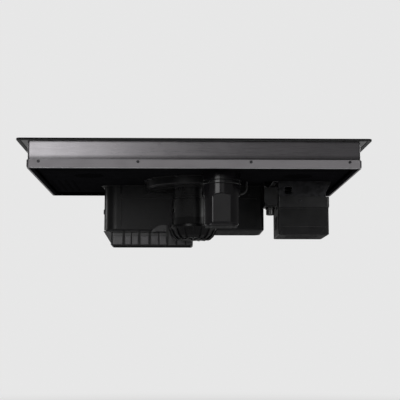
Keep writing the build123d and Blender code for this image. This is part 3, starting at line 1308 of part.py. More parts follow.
def motor_housing():
    groove_one = MOTOR_TOP - MOTOR_COLLAR_HEIGHT
    ring_top = groove_one - MOTOR_GROOVE_HEIGHT
    ring_bottom = ring_top - MOTOR_RING_HEIGHT
    body_top = ring_bottom - MOTOR_GROOVE_HEIGHT
    waist = MOTOR_COLLAR_RADIUS - MOTOR_GROOVE_DEPTH
    ring = MOTOR_COLLAR_RADIUS + MOTOR_RING_OUT
    inner = MOTOR_INNER_RADIUS
    neck_bore = waist - MOTOR_WALL
    shaft_hole = SHAFT_RADIUS + MOTOR_SHAFT_ROOM
    seat = BEARING_RADIUS + PRESS_GAP
    seat_bottom = UPPER_BEARING_TOP - BEARING_HEIGHT
    shape = turned(
        [
            (shaft_hole, MOTOR_TOP),
            (MOTOR_COLLAR_RADIUS, MOTOR_TOP),
            (MOTOR_COLLAR_RADIUS, groove_one),
            (waist, groove_one),
            (waist, ring_top),
            (ring, ring_top),
            (ring, ring_bottom),
            (waist, ring_bottom),
            (waist, body_top),
            (MOTOR_RADIUS - MOTOR_EDGE, body_top),
            (MOTOR_RADIUS, body_top - MOTOR_EDGE),
            (MOTOR_RADIUS, MOTOR_BOTTOM),
            (inner, MOTOR_BOTTOM),
            (inner, body_top - MOTOR_WALL),
            (neck_bore, body_top - MOTOR_WALL),
            (neck_bore, UPPER_BEARING_TOP),
            (seat + BEARING_SEAT_WALL, UPPER_BEARING_TOP),
            (seat + BEARING_SEAT_WALL, seat_bottom),
            (seat, seat_bottom),
            (seat, UPPER_BEARING_TOP),
            (shaft_hole, UPPER_BEARING_TOP),
        ]
    )
    shape = Pos(EYE[0], EYE[1], 0) * shape
    for x, y, z, facing in motor_screw_places():
        shape -= screw_hole(x, y, z, facing)
    lead_hole = extrude(Circle(LEAD_RADIUS + PRESS_GAP), MOTOR_COLLAR_RADIUS)
    lead_hole_start = (lead_start_x() - LEAD_RADIUS, EYE[1], LEAD_Z)
    return shape - Plane(origin=lead_hole_start, z_dir=(1, 0, 0)) * lead_hole


def motor_end_cap():
    """A bowl under the motor with radial fins all round and a boss in the middle."""
    envelope = cap_bowl(0.0)
    shape = cap_bowl(MOTOR_FIN_HEIGHT)
    for fin in cap_fins():
        shape += fin & envelope
    seat = BEARING_RADIUS + PRESS_GAP
    skin = MOTOR_FIN_HEIGHT + MOTOR_CAP_WALL
    floor = MOTOR_CAP_BOTTOM + skin
    knee = MOTOR_CAP_RADIUS - MOTOR_CAP_KNEE_INSET - skin
    bottom = MOTOR_CAP_RADIUS - MOTOR_CAP_BOTTOM_INSET - skin
    shape -= turned(
        [
            (seat + BEARING_SEAT_WALL, MOTOR_BOTTOM + CUT),
            (MOTOR_INNER_RADIUS, MOTOR_BOTTOM + CUT),
            (MOTOR_INNER_RADIUS, MOTOR_CAP_RIM_BOTTOM - MOTOR_CAP_WALL),
            (knee, floor + MOTOR_CAP_KNEE_RISE),
            (bottom, floor),
            (seat + BEARING_SEAT_WALL, floor),
        ]
    )
    shape -= disc(seat, LOWER_BEARING_BOTTOM, MOTOR_BOTTOM + CUT)
    well = LOWER_BEARING_BOTTOM - SHAFT_END_ROOM
    shape -= disc(SHAFT_RADIUS + MOTOR_SHAFT_ROOM, well, LOWER_BEARING_BOTTOM + CUT)
    return Pos(EYE[0], EYE[1], 0) * shape


def cap_fins():
    """The blades from which the end cap's radial fins are cut."""
    reach = MOTOR_CAP_RADIUS - MOTOR_FIN_START
    height = MOTOR_CAP_RIM_BOTTOM - MOTOR_CAP_BOTTOM
    fin = Box(reach, MOTOR_FIN_THICKNESS, height)
    fin = Pos(MOTOR_FIN_START + reach / 2, 0, MOTOR_CAP_BOTTOM + height / 2) * fin
    return [Rot(0, 0, index * 360 / MOTOR_FIN_COUNT) * fin for index in range(MOTOR_FIN_COUNT)]


def cap_bowl(inset):
    """The end cap's solid form, its outside moved inwards by inset below the rim, with its boss."""
    bottom = MOTOR_CAP_BOTTOM
    boss_bottom = bottom - MOTOR_CAP_BOSS_DROP
    shoulder = MOTOR_CAP_RADIUS - MOTOR_CAP_SHOULDER_INSET - inset
    knee = MOTOR_CAP_RADIUS - MOTOR_CAP_KNEE_INSET - inset
    return turned(
        [
            (0, MOTOR_BOTTOM),
            (MOTOR_CAP_RADIUS, MOTOR_BOTTOM),
            (MOTOR_CAP_RADIUS, MOTOR_CAP_RIM_BOTTOM),
            (shoulder, MOTOR_CAP_RIM_BOTTOM - MOTOR_CAP_SHOULDER_DROP + inset / 2),
            (knee, bottom + MOTOR_CAP_KNEE_RISE + inset / 2),
            (MOTOR_CAP_RADIUS - MOTOR_CAP_BOTTOM_INSET - inset, bottom + inset),
            (MOTOR_CAP_BOSS_RADIUS, bottom + inset),
            (MOTOR_CAP_BOSS_RADIUS - MOTOR_CAP_BOSS_DROP, boss_bottom),
            (0, boss_bottom),
        ]
    )


def stator():
    top = STATOR_MIDDLE + STATOR_LENGTH / 2
    bottom = STATOR_MIDDLE - STATOR_LENGTH / 2
    core = tube(MOTOR_INNER_RADIUS - PRESS_GAP, STATOR_BORE, bottom, top)
    length = STATOR_LENGTH + 2 * CUT
    slot_x = STATOR_BORE + STATOR_TOOTH_TIP + STATOR_SLOT_DEPTH / 2
    slot = Pos(slot_x, 0, STATOR_MIDDLE) * Box(STATOR_SLOT_DEPTH, STATOR_SLOT_WIDTH, length)
    mouth = Pos(STATOR_BORE, 0, STATOR_MIDDLE) * Box(3 * STATOR_TOOTH_TIP, STATOR_MOUTH_WIDTH, length)
    for index in range(STATOR_SLOTS):
        core -= Rot(0, 0, index * 360 / STATOR_SLOTS) * (slot + mouth)
    return Pos(EYE[0], EYE[1], 0) * core


def stator_windings():
    """End turns of the winding, one padded ring above and one below the core."""
    top = STATOR_MIDDLE + STATOR_LENGTH / 2
    bottom = STATOR_MIDDLE - STATOR_LENGTH / 2
    outer = MOTOR_INNER_RADIUS - WINDING_OUTER_GAP
    inner = STATOR_BORE + WINDING_INNER_GAP
    upper = tube(outer, inner, top, top + WINDING_HEIGHT, *EYE)
    lower = tube(outer, inner, bottom - WINDING_HEIGHT, bottom, *EYE)
    upper = fillet(upper.edges().group_by(Axis.Z)[-1], WINDING_ROUNDING)
    lower = fillet(lower.edges().group_by(Axis.Z)[0], WINDING_ROUNDING)
    return group([upper, lower])


def motor_rotor():
    """Rotor stack on its shaft, up to the wheel's hub."""
    top = STATOR_MIDDLE + STATOR_LENGTH / 2 - ROTOR_END_INSET
    bottom = STATOR_MIDDLE - STATOR_LENGTH / 2 + ROTOR_END_INSET
    shaft_top = WHEEL_BOTTOM + WHEEL_HUB_HEIGHT + WHEEL_NUT_HEIGHT + SHAFT_PROUD
    body = disc(STATOR_BORE - AIR_GAP, bottom, top, *EYE)
    shaft = disc(SHAFT_RADIUS, LOWER_BEARING_BOTTOM - SHAFT_FOOT, shaft_top, *EYE)
    return body + chamfer(shaft.edges().group_by(Axis.Z)[-1], SHAFT_CHAMFER)


def motor_bearings():
    bore = SHAFT_RADIUS + SHAFT_CLEARANCE
    upper = tube(BEARING_RADIUS, bore, UPPER_BEARING_TOP - BEARING_HEIGHT, UPPER_BEARING_TOP, *EYE)
    lower = tube(BEARING_RADIUS, bore, LOWER_BEARING_BOTTOM, MOTOR_BOTTOM, *EYE)
    return group([upper, lower])


def wheel_nut():
    """The nut that clamps the wheel on its shaft."""
    bottom = WHEEL_BOTTOM + WHEEL_HUB_HEIGHT
    top = bottom + WHEEL_NUT_HEIGHT
    nut = Pos(EYE[0], EYE[1], bottom) * extrude(RegularPolygon(WHEEL_NUT_RADIUS, 6), WHEEL_NUT_HEIGHT)
    return nut - disc(SHAFT_RADIUS + PRESS_GAP, bottom - CUT, top + CUT, *EYE)


def lead_start_x():
    """Where the lead leaves the inside of the motor's collar."""
    return EYE[0] + MOTOR_COLLAR_RADIUS - MOTOR_GROOVE_DEPTH - MOTOR_WALL


def motor_lead():
    """The lead from the motor's collar up through the tray."""
    y = EYE[1]
    end = (LEAD_X, y, FLOOR_TOP + LEAD_END_RISE)
    path = FilletPolyline((lead_start_x(), y, LEAD_Z), (LEAD_X, y, LEAD_Z), end, radius=LEAD_BEND)
    section = Plane(origin=path @ 0, z_dir=path % 0) * Circle(LEAD_RADIUS)
    return sweep(section, path)


# ---------------------------------------------------------------- overflow tank


def overflow_neck():
    """The round socket under the tray that the tank hangs in."""
    inside = NECK_TOP - NECK_WALL
    shape = disc(NECK_RADIUS, NECK_BOTTOM, NECK_TOP)
    shape -= disc(NECK_RADIUS - NECK_WALL, NECK_BOTTOM - CUT, inside)
    rim = shape.edges().filter_by(GeomType.CIRCLE).group_by(Axis.Z)[0].sort_by(SortBy.RADIUS)[-1:]
    shape = Pos(TANK_X, TANK_Y, 0) * chamfer(rim, NECK_CHAMFER)
    return shape - disc(SPOUT_RADIUS + TANK_GAP, inside - CUT, NECK_TOP + CUT, SPOUT_X, SPOUT_Y)


def lock_ring():
    """The turning ring that holds the tank, with a grip lug on its left."""
    bottom = LOCK_RING_BOTTOM
    top = NECK_BOTTOM - TANK_GAP
    bore = NECK_RADIUS - NECK_WALL
    ring = tube(NECK_RADIUS + LOCK_RING_OUT, bore, bottom, top)
    rims = ring.edges().filter_by(GeomType.CIRCLE).sort_by(SortBy.RADIUS)[-2:]
    ring = chamfer(rims, LOCK_RING_GROOVE)
    lug = Box(LOCK_RING_LUG, LOCK_RING_LUG_WIDTH, LOCK_RING_LUG_HEIGHT)
    lug = Rot(0, 0, LOCK_RING_LUG_ANGLE) * (Pos(NECK_RADIUS + 2 * FUSE, 0, (top + bottom) / 2) * lug)
    return Pos(TANK_X, TANK_Y, 0) * (ring + lug - disc(bore, bottom - CUT, top + CUT))


def overflow_tank():
    """Round shoulder above, four arched flats below, and a stepped bottom rim."""
    body = disc(NECK_RADIUS, TANK_BOTTOM + TANK_RIM_HEIGHT, TANK_TOP)
    for quarter in range(4):
        body -= Rot(0, 0, quarter * 90) * tank_flat_cutter()
    foot = 2 * (TANK_FLAT - TANK_RIM_INSET)
    body += slab(foot, foot, TANK_BOTTOM, TANK_BOTTOM + TANK_RIM_HEIGHT + FUSE, radius=TANK_RIM_RADIUS)
    body = chamfer(body.edges().group_by(Axis.Z)[-1], TANK_EDGE)
    inner_radius = TANK_FLAT - TANK_WALL
    inner = disc(inner_radius, TANK_BOTTOM + 2 * TANK_WALL, TANK_TOP + CUT)
    collar = tube(tank_collar_radius(), inner_radius, TANK_TOP - CUT, NECK_BOTTOM + TANK_COLLAR_RISE)
    return Pos(TANK_X, TANK_Y, 0) * (body - inner + collar)


def tank_flat_cutter():
    """What is cut off the tank's front to leave a flat with an arched top."""
    depth = NECK_RADIUS
    arch_z = TANK_FLAT_TOP - TANK_ARCH_HEIGHT
    height = arch_z - TANK_BOTTOM
    flat = Pos(0, -TANK_FLAT - depth / 2, TANK_BOTTOM + height / 2) * Box(2 * NECK_RADIUS, depth, height)
    arch = extrude(Ellipse(TANK_ARCH_WIDTH / 2, TANK_ARCH_HEIGHT), depth)
    return flat + Plane(origin=(0, -TANK_FLAT, arch_z), z_dir=(0, -1, 0)) * arch


def tank_collar_radius():
    """The outside of the collar that stands up into the neck."""
    return NECK_RADIUS - NECK_WALL - TANK_COLLAR_GAP


def tank_ring():
    """The rubber ring round the tank's collar."""
    radius = tank_collar_radius()
    z = NECK_BOTTOM + TANK_RING_RISE
    ring = tube(radius + TANK_RING_THICKNESS, radius + PRESS_GAP, z, z + TANK_RING_SECTION)
    return Pos(TANK_X, TANK_Y, 0) * ring


# ---------------------------------------------------------------- coils


def coil_rows():
    """The Y centres of the front and rear coils."""
    return (PLATE_Y - COIL_PITCH / 2, PLATE_Y + COIL_PITCH / 2)


def coil_places():
    """The four coils' centres."""
    return [(side * PLATE_X, y) for side in (-1, 1) for y in coil_rows()]


def post_places(side):
    """The four posts that carry one coil plate, clear of the blower."""
    for x in (POST_INNER_X, PLATE_OUTER_X - POST_INSET):
        for y in (PLATE_FRONT_Y + POST_INSET, PLATE_REAR_Y - POST_INSET):
            yield side * x, y


def coil_plate(side):
    """The aluminium plate that carries two coils, with holes for their sensors and the posts."""
    x = side * PLATE_X
    low = PLATE_BOTTOM - CUT
    high = PLATE_TOP + CUT
    plate = slab(PLATE_WIDTH, PLATE_DEPTH, PLATE_BOTTOM, PLATE_TOP, x, PLATE_Y, PLATE_CORNER_RADIUS)
    for y in coil_rows():
        plate -= disc(SENSOR_RADIUS + SENSOR_CLEARANCE, low, high, x, y)
    for x, y in post_places(side):
        plate -= disc(POST_RADIUS + SENSOR_CLEARANCE, low, high, x, y)
    return plate


def coil_corner():
    """The rounding of a coil's outline, limited by its own half width and depth."""
    return min(COIL_CORNER_RADIUS, COIL_DEPTH / 2 - COIL_ROUND_MARGIN, COIL_WIDTH / 2 - COIL_ROUND_MARGIN)


def coil_bore_width():
    """The width of the winding's oblong bore, whose ends match the outline's."""
    return COIL_BORE + COIL_WIDTH - COIL_DEPTH


def coil_winding(x, y):
    """One flat winding of litz wire, as a pressed pad."""
    bore_corner = COIL_BORE / 2 - COIL_ROUND_MARGIN
    winding = slab(COIL_WIDTH, COIL_DEPTH, CARRIER_TOP, COIL_TOP, x, y, coil_corner())
    winding -= slab(coil_bore_width(), COIL_BORE, CARRIER_TOP - CUT, COIL_TOP + CUT, x, y, bore_corner)
    return fillet(winding.edges().group_by(Axis.Z)[-1], COIL_EDGE)


def coil_carrier(x, y):
    """The plastic carrier under one winding, with pockets for the ferrites."""
    width = COIL_WIDTH + 2 * CARRIER_MARGIN
    depth = COIL_DEPTH + 2 * CARRIER_MARGIN
    carrier = slab(width, depth, PLATE_TOP, CARRIER_TOP, x, y, coil_corner() + CARRIER_MARGIN)
    carrier -= disc(SENSOR_RADIUS + SENSOR_CLEARANCE, PLATE_TOP - CUT, CARRIER_TOP + CUT, x, y)
    room = 2 * FERRITE_CLEARANCE
    pocket = Box(FERRITE_LENGTH + room, FERRITE_WIDTH + room, FERRITE_HEIGHT + room + CUT)
    pocket = Pos(0, 0, (FERRITE_HEIGHT + room - CUT) / 2) * pocket
    for place in ferrite_places(x, y):
        carrier -= place * pocket
    return carrier


def ferrite_places(x, y):
    """The radial seats under a coil, on the plate."""
    reach_x = (coil_bore_width() + COIL_WIDTH) / 4
    reach_y = (COIL_BORE + COIL_DEPTH) / 4
    for index in range(FERRITE_COUNT):
        angle = index * 360 / FERRITE_COUNT
        turn = math.radians(angle)
        yield Pos(x + reach_x * math.cos(turn), y + reach_y * math.sin(turn), PLATE_TOP) * Rot(0, 0, angle)


def ferrite_bars():
    """All the ferrites, lying on the plates."""
    bar = Pos(0, 0, FERRITE_HEIGHT / 2) * Box(FERRITE_LENGTH, FERRITE_WIDTH, FERRITE_HEIGHT)
    for x, y in coil_places():
        for place in ferrite_places(x, y):
            yield place * bar


def insulation_mat(side):
    """The mat between two coils and the glass, cut back beside the frame's rear flange."""
    x = side * PLATE_X
    mat = slab(PLATE_WIDTH - 2 * MAT_MARGIN, PLATE_DEPTH, COIL_TOP, MAT_TOP, x, PLATE_Y, MAT_MARGIN)
    flange = 2 * (FRAME_FLANGE + MAT_FLANGE_GAP)
    mat -= slab(PAN_WIDTH, flange, COIL_TOP - CUT, MAT_TOP + CUT, x, FRAME_DEPTH / 2)
    for y in coil_rows():
        mat -= disc(SENSOR_RADIUS + SENSOR_CLEARANCE, COIL_TOP - CUT, MAT_TOP + CUT, x, y)
    return mat


def zone_sensor(x, y):
    """A temperature sensor that touches the glass through a coil's middle."""
    base_top = PLATE_TOP + SENSOR_HEAD_HEIGHT
    head_bottom = MAT_TOP - SENSOR_HEAD_HEIGHT
    stem = disc(SENSOR_RADIUS - SENSOR_STEM_STEP, base_top - FUSE, head_bottom + FUSE, x, y)
    base = disc(SENSOR_RADIUS, PLATE_BOTTOM, base_top, x, y)
    return stem + base + disc(SENSOR_RADIUS, head_bottom, MAT_TOP, x, y)


def plate_posts():
    """Posts on the tray's floor that guide the coil plates."""
    collar_top = PLATE_BOTTOM - POST_SPRING_HEIGHT
    for side in (-1, 1):
        for x, y in post_places(side):
            foot = disc(POST_COLLAR_RADIUS, FLOOR_TOP, collar_top, x, y)
            yield foot + disc(POST_RADIUS, collar_top - FUSE, PLATE_TOP + POST_PROUD, x, y)


def plate_springs():
    """Compression springs on the posts, under the plates, drawn as sleeves."""
    low = PLATE_BOTTOM - POST_SPRING_HEIGHT
    for side in (-1, 1):
        for x, y in post_places(side):
            yield tube(POST_SPRING_RADIUS, POST_RADIUS + POST_SPRING_GAP, low, PLATE_BOTTOM, x, y)


# ---------------------------------------------------------------- power electronics


def board_standoffs(side):
    """The four corners at which a power board is held."""
    reach_x = BOARD_WIDTH / 2 - STANDOFF_INSET
    reach_y = BOARD_DEPTH / 2 - STANDOFF_INSET
    for sx in (-1, 1):
        for sy in (-1, 1):
            yield side * BOARD_X + sx * reach_x, BOARD_Y + sy * reach_y


def power_board(side):
    """One power board on its standoffs, cut out round the posts."""
    x = side * BOARD_X
    board = slab(BOARD_WIDTH, BOARD_DEPTH, BOARD_BOTTOM, BOARD_TOP, x, BOARD_Y, BOARD_CORNER_RADIUS)
    for x, y in board_standoffs(side):
        board += disc(STANDOFF_RADIUS, FLOOR_TOP, BOARD_BOTTOM + FUSE, x, y)
    for x, y in post_places(side):
        board -= disc(POST_COLLAR_RADIUS + POST_ROOM, FLOOR_TOP - CUT, BOARD_TOP + CUT, x, y)
    return board


def heat_sink(side):
    """A finned heat sink along one power board."""
    x = side * BOARD_X
    base_top = BOARD_TOP + HEAT_SINK_BASE
    sink = slab(HEAT_SINK_WIDTH, HEAT_SINK_DEPTH, BOARD_TOP, base_top, x, HEAT_SINK_Y)
    reach = (HEAT_SINK_WIDTH - HEAT_SINK_FIN) / 2
    for index in range(HEAT_SINK_FINS):
        fin_x = x - reach + index * 2 * reach / (HEAT_SINK_FINS - 1)
        sink += slab(HEAT_SINK_FIN, HEAT_SINK_DEPTH, base_top - FUSE, HEAT_SINK_TOP, fin_x, HEAT_SINK_Y)
    return sink


def board_parts():
    """Capacitors and chokes beside the heat sinks."""
    front = BOARD_Y - BOARD_DEPTH / 2
    for side in (-1, 1):
        column = side * BOARD_X + HEAT_SINK_WIDTH / 2 + CAPACITOR_OUT
        for index in range(CAPACITOR_COUNT):
            y = front + CAPACITOR_START + index * CAPACITOR_PITCH
            can = disc(CAPACITOR_RADIUS, BOARD_TOP, BOARD_TOP + CAPACITOR_HEIGHT, column, y)
            yield chamfer(can.edges().group_by(Axis.Z)[-1], CAPACITOR_EDGE)
        column = side * BOARD_X - HEAT_SINK_WIDTH / 2 - CHOKE_OUT
        for index in range(CHOKE_COUNT):
            y = front + CHOKE_START + index * CHOKE_PITCH
            top = BOARD_TOP + CHOKE_HEIGHT
            yield slab(CHOKE_SIZE, CHOKE_SIZE, BOARD_TOP, top, column, y, CHOKE_CORNER_RADIUS)


def cooler_frame(side):
    """A square cooling fan's frame, with its pin on four struts underneath."""
    bottom = FLOOR_TOP
    top = bottom + COOLER_HEIGHT
    strut_top = bottom + COOLER_STRUT_HEIGHT
    shape = slab(COOLER_SIZE, COOLER_SIZE, bottom, top, radius=COOLER_CORNER_RADIUS)
    shape -= disc(COOLER_BORE, bottom - CUT, top + CUT)
    strut = slab(2 * (COOLER_BORE + CUT), COOLER_STRUT, bottom, strut_top)
    for angle in (45, 135):
        shape += Rot(0, 0, angle) * strut
    shape += disc(COOLER_HUB - COOLER_HUB_STEP, bottom, strut_top)
    shape += disc(COOLER_PIN_RADIUS, strut_top - FUSE, top - COOLER_PIN_BELOW_TOP)
    corner = COOLER_SIZE / 2 - COOLER_HOLE_INSET
    for sx in (-1, 1):
        for sy in (-1, 1):
            shape -= disc(COOLER_HOLE_RADIUS, bottom - CUT, top + CUT, sx * corner, sy * corner)
    return Pos(side * COOLER_X, COOLER_Y, 0) * shape


def cooler_rotor(side):
    """Hub and tilted blades of one cooling fan."""
    bottom = FLOOR_TOP + COOLER_ROTOR_FOOT
    top = FLOOR_TOP + COOLER_HEIGHT - COOLER_ROTOR_HEAD
    shape = disc(COOLER_HUB, bottom, top)
    shape = fillet(shape.edges().group_by(Axis.Z)[-1], COOLER_HUB_ROUNDING)
    reach = COOLER_BORE - COOLER_TIP_GAP
    root = COOLER_HUB - COOLER_BLADE_ROOT
    blade = Box(reach + COOLER_TIP_GAP - root, COOLER_BLADE_THICKNESS, (top - bottom) * COOLER_BLADE_STRETCH)
    blade = Pos((root + COOLER_BORE) / 2, 0, (bottom + top) / 2) * Rot(90 - COOLER_BLADE_PITCH, 0, 0) * blade
    for index in range(COOLER_BLADES):
        shape += Rot(0, 0, index * 360 / COOLER_BLADES) * blade
    shape = shape & disc(reach, bottom, top)
    shape -= disc(COOLER_PIN_RADIUS + COOLER_PIN_CLEARANCE, bottom - CUT, top - COOLER_PIN_WELL)
    return Pos(side * COOLER_X, COOLER_Y, 0) * shape


# ---------------------------------------------------------------- touch control


def touch_y():
    """The touch board's middle, behind the frame's front flange."""
    return -FRAME_DEPTH / 2 + FRAME_FLANGE + TOUCH_FRONT_GAP / 2 + TOUCH_DEPTH / 2


def touch_carrier():
    """The tray that holds the touch board up against the glass."""
    y = touch_y()
    top = GLASS_UNDERSIDE - TOUCH_GLASS_GAP - BOARD_THICKNESS
    bottom = top - TOUCH_CARRIER_HEIGHT
    width = TOUCH_WIDTH + 2 * TOUCH_CARRIER_END
    depth = TOUCH_DEPTH - 2 * TOUCH_CARRIER_INSET
    carrier = slab(width, depth, bottom, top, 0, y, TOUCH_CORNER_RADIUS)
    pocket_depth = depth - 2 * TOUCH_CARRIER_WALL
    web_bottom = top - TOUCH_CARRIER_WEB
    carrier -= slab(TOUCH_WIDTH, pocket_depth, bottom - CUT, web_bottom, 0, y, TOUCH_CORNER_RADIUS)
    for side in (-1, 1):
        x = side * (TOUCH_WIDTH / 2 + TOUCH_EAR_OUT)
        carrier += slab(TOUCH_EAR, TOUCH_EAR, top - FUSE, GLASS_UNDERSIDE, x, y)
    return carrier


def touch_board():
    """The board of touch fields that reads through the glass."""
    bottom = GLASS_UNDERSIDE - TOUCH_GLASS_GAP - BOARD_THICKNESS
    width = TOUCH_WIDTH - 2 * TOUCH_BOARD_INSET_X
    depth = TOUCH_DEPTH - 2 * TOUCH_BOARD_INSET_Y
    return slab(width, depth, bottom, bottom + BOARD_THICKNESS, 0, touch_y(), TOUCH_CORNER_RADIUS)


# ---------------------------------------------------------------- control box


def bracket_screw_places():
    """Screws that hold the box's bracket to the tray."""
    z = FLOOR_UNDER - BRACKET_SHEET
    for x in (BRACKET_LEFT + BRACKET_SCREW_INSET_X, BRACKET_RIGHT - BRACKET_SCREW_INSET_X):
        for y in (BOX_FRONT + BRACKET_SCREW_INSET_Y, BRACKET_REAR - BRACKET_SCREW_INSET_Y):
            yield x, y, z, (0, 0, -1)


def bracket_side(left, wall_y, shelf_y):
    """One apron of the bracket with the shelf folded from its lower edge."""
    width = BRACKET_RIGHT - left
    x = left + width / 2
    shelf_top = LID_TOP + BRACKET_SHEET
    apron = slab(width, BRACKET_SHEET, LID_TOP, FLOOR_UNDER, x, wall_y)
    return apron + slab(width, BRACKET_SHELF, LID_TOP, shelf_top, x, shelf_y)


def control_bracket():
    """A folded hanger: top plate, front and rear aprons, two shelves that carry the lid."""
    sheet = BRACKET_SHEET
    front_left = JUNCTION_RIGHT + BRACKET_JUNCTION_GAP
    shape = slab(BRACKET_WIDTH, BOX_DEPTH, FLOOR_UNDER - sheet, FLOOR_UNDER, BRACKET_X, BOX_Y)
    shape += bracket_side(front_left, BOX_FRONT + sheet / 2, BOX_FRONT + BRACKET_SHELF / 2)
    shape += bracket_side(BRACKET_LEFT, BRACKET_REAR - sheet / 2, BRACKET_REAR - BRACKET_SHELF / 2)
    notch_z = (LID_TOP + FLOOR_UNDER) / 2 - BRACKET_NOTCH_DROP
    notch = Box(BRACKET_NOTCH_WIDTH, 4 * sheet, BRACKET_NOTCH_HEIGHT)
    notch = fillet(notch.edges().filter_by(Axis.Y), BRACKET_NOTCH_ROUNDING)
    shape -= Pos(BOX_LEFT + BRACKET_NOTCH_OFFSET, BOX_FRONT, notch_z) * notch
    shape -= bracket_slant()
    for place in bracket_screw_places():
        shape -= screw_hole(*place)
    return shape - disc(GLAND_RADIUS, FLOOR_UNDER - sheet - CUT, FLOOR_UNDER + CUT, BOX_X, BOX_Y)


def bracket_slant():
    """What is cut off the front apron's right-hand end to slant it."""
    inner = BRACKET_RIGHT - BRACKET_SLANT_WIDTH
    corners = [(BRACKET_RIGHT, FLOOR_UNDER - BRACKET_SHEET), (inner, FLOOR_UNDER - BRACKET_SLANT_DROP)]
    corners += [(inner, LID_TOP - CUT), (BRACKET_RIGHT + CUT, LID_TOP - CUT)]
    corners += [(BRACKET_RIGHT + CUT, FLOOR_UNDER - BRACKET_SHEET)]
    outline = make_face(Polyline(*[(x, BOX_FRONT, z) for x, z in corners], close=True))
    return extrude(outline, BRACKET_SHELF + CUT, dir=(0, 1, 0)) + extrude(outline, CUT, dir=(0, -1, 0))


def control_case():
    """The deep lower shell of the control box, its right-hand foot cut on a slant."""
    inner_radius = BOX_CORNER_RADIUS - BOX_WALL
    inner_width = BOX_WIDTH - 2 * BOX_WALL
    inner_depth = BOX_DEPTH - 2 * BOX_WALL
    case = slab(BOX_WIDTH, BOX_DEPTH, BOX_BOTTOM, BOX_TOP, BOX_X, BOX_Y, BOX_CORNER_RADIUS)
    case = fillet(case.edges().group_by(Axis.Z)[0], BOX_BOTTOM_ROUNDING)
    case -= slab(inner_width, inner_depth, BOX_BOTTOM + BOX_WALL, BOX_TOP + CUT, BOX_X, BOX_Y, inner_radius)
    for place in lid_screw_places():
        case -= screw_hole(*place)
    return case - sunk_foot() - wire_slot(WIRE_SLOT_RISE)


def sunk_foot():
    """The shallow recess along the case's front foot."""
    left = BOX_LEFT + BOX_FOOT_MARGIN
    right = BOX_RIGHT - BOX_FOOT_MARGIN
    foot_top = BOX_BOTTOM + BOX_FOOT_HEIGHT
    corners = [(left, BOX_BOTTOM - CUT), (left, foot_top)]
    corners += [(right, foot_top), (right - BOX_SLANT, BOX_BOTTOM - CUT)]
    outline = [(x, BOX_FRONT + BOX_FOOT_SINK, z) for x, z in corners]
    return extrude(make_face(Polyline(*outline, close=True)), 2 * BOX_FOOT_SINK, dir=(0, -1, 0))


def wire_slot(rise):
    """The slot through which the wires pass from the junction box, open downwards if rise is less."""
    middle = BOX_LEFT - LID_CLEARANCE
    bottom = JUNCTION_BOTTOM + rise
    top = JUNCTION_BOTTOM + WIRE_SLOT_RISE + WIRE_SLOT_HEIGHT
    return slab(2 * WIRE_SLOT_REACH, WIRE_SLOT_WIDTH, bottom, top, middle, JUNCTION_Y)


def lid_screw_places():
    """Screws through the lid's lip into the case, in front and behind."""
    x = BOX_X + LID_SCREW_OFFSET
    z = BOX_TOP - LID_SCREW_DROP
    lip = LID_THICKNESS + LID_CLEARANCE
    yield x, BOX_FRONT - lip, z, (0, -1, 0)
    yield x, BRACKET_REAR + lip, z, (0, 1, 0)


def lid_block(grow, bottom, top):
    """A block over the case, wider than it by grow all round."""
    radius = BOX_CORNER_RADIUS + grow
    return slab(BOX_WIDTH + 2 * grow, BOX_DEPTH + 2 * grow, bottom, top, BOX_X, BOX_Y, radius)


def control_lid():
    """The cover whose lip laps over the case's upper edge."""
    lip_bottom = BOX_TOP - LID_LIP
    lid = lid_block(LID_THICKNESS + LID_CLEARANCE, lip_bottom, LID_TOP)
    lid -= lid_block(LID_CLEARANCE, lip_bottom - CUT, BOX_TOP + LID_CLEARANCE)
    for place in lid_screw_places():
        lid -= screw_hole(*place)
    lid -= disc(GLAND_RADIUS, LID_TOP - 2 * LID_THICKNESS, LID_TOP + CUT, BOX_X, BOX_Y)
    return lid - wire_slot(lip_bottom - JUNCTION_BOTTOM - CUT)


def control_board():
    """The control board on its standoffs, with relays and the supply block."""
    bottom = BOX_BOTTOM + BOX_WALL + CONTROL_BOARD_RISE
    part_bottom = bottom + BOARD_THICKNESS - FUSE
    width = BOX_WIDTH - 2 * (BOX_WALL + CONTROL_BOARD_GAP)
    depth = BOX_DEPTH - 2 * (BOX_WALL + CONTROL_BOARD_GAP)
    board = slab(width, depth, bottom, bottom + BOARD_THICKNESS, BOX_X, BOX_Y, CONTROL_BOARD_RADIUS)
    for sx in (-1, 1):
        for sy in (-1, 1):
            x = BOX_X + sx * (width / 2 - CONTROL_STANDOFF_INSET)
            y = BOX_Y + sy * (depth / 2 - CONTROL_STANDOFF_INSET)
            board += disc(CONTROL_STANDOFF_RADIUS, BOX_BOTTOM + BOX_WALL, bottom + FUSE, x, y)
    relay_x = BOX_X + RELAY_OFFSET
    relay_top = bottom + RELAY_HEIGHT
    for index in range(RELAY_COUNT):
        y = BOX_Y + (index - (RELAY_COUNT - 1) / 2) * RELAY_PITCH
        board += slab(RELAY_WIDTH, RELAY_DEPTH, part_bottom, relay_top, relay_x, y, BLOCK_CORNER_RADIUS)
    supply_x = BOX_X + SUPPLY_OFFSET
    top = bottom + SUPPLY_HEIGHT
    return board + slab(SUPPLY_WIDTH, SUPPLY_DEPTH, part_bottom, top, supply_x, BOX_Y, BLOCK_CORNER_RADIUS)


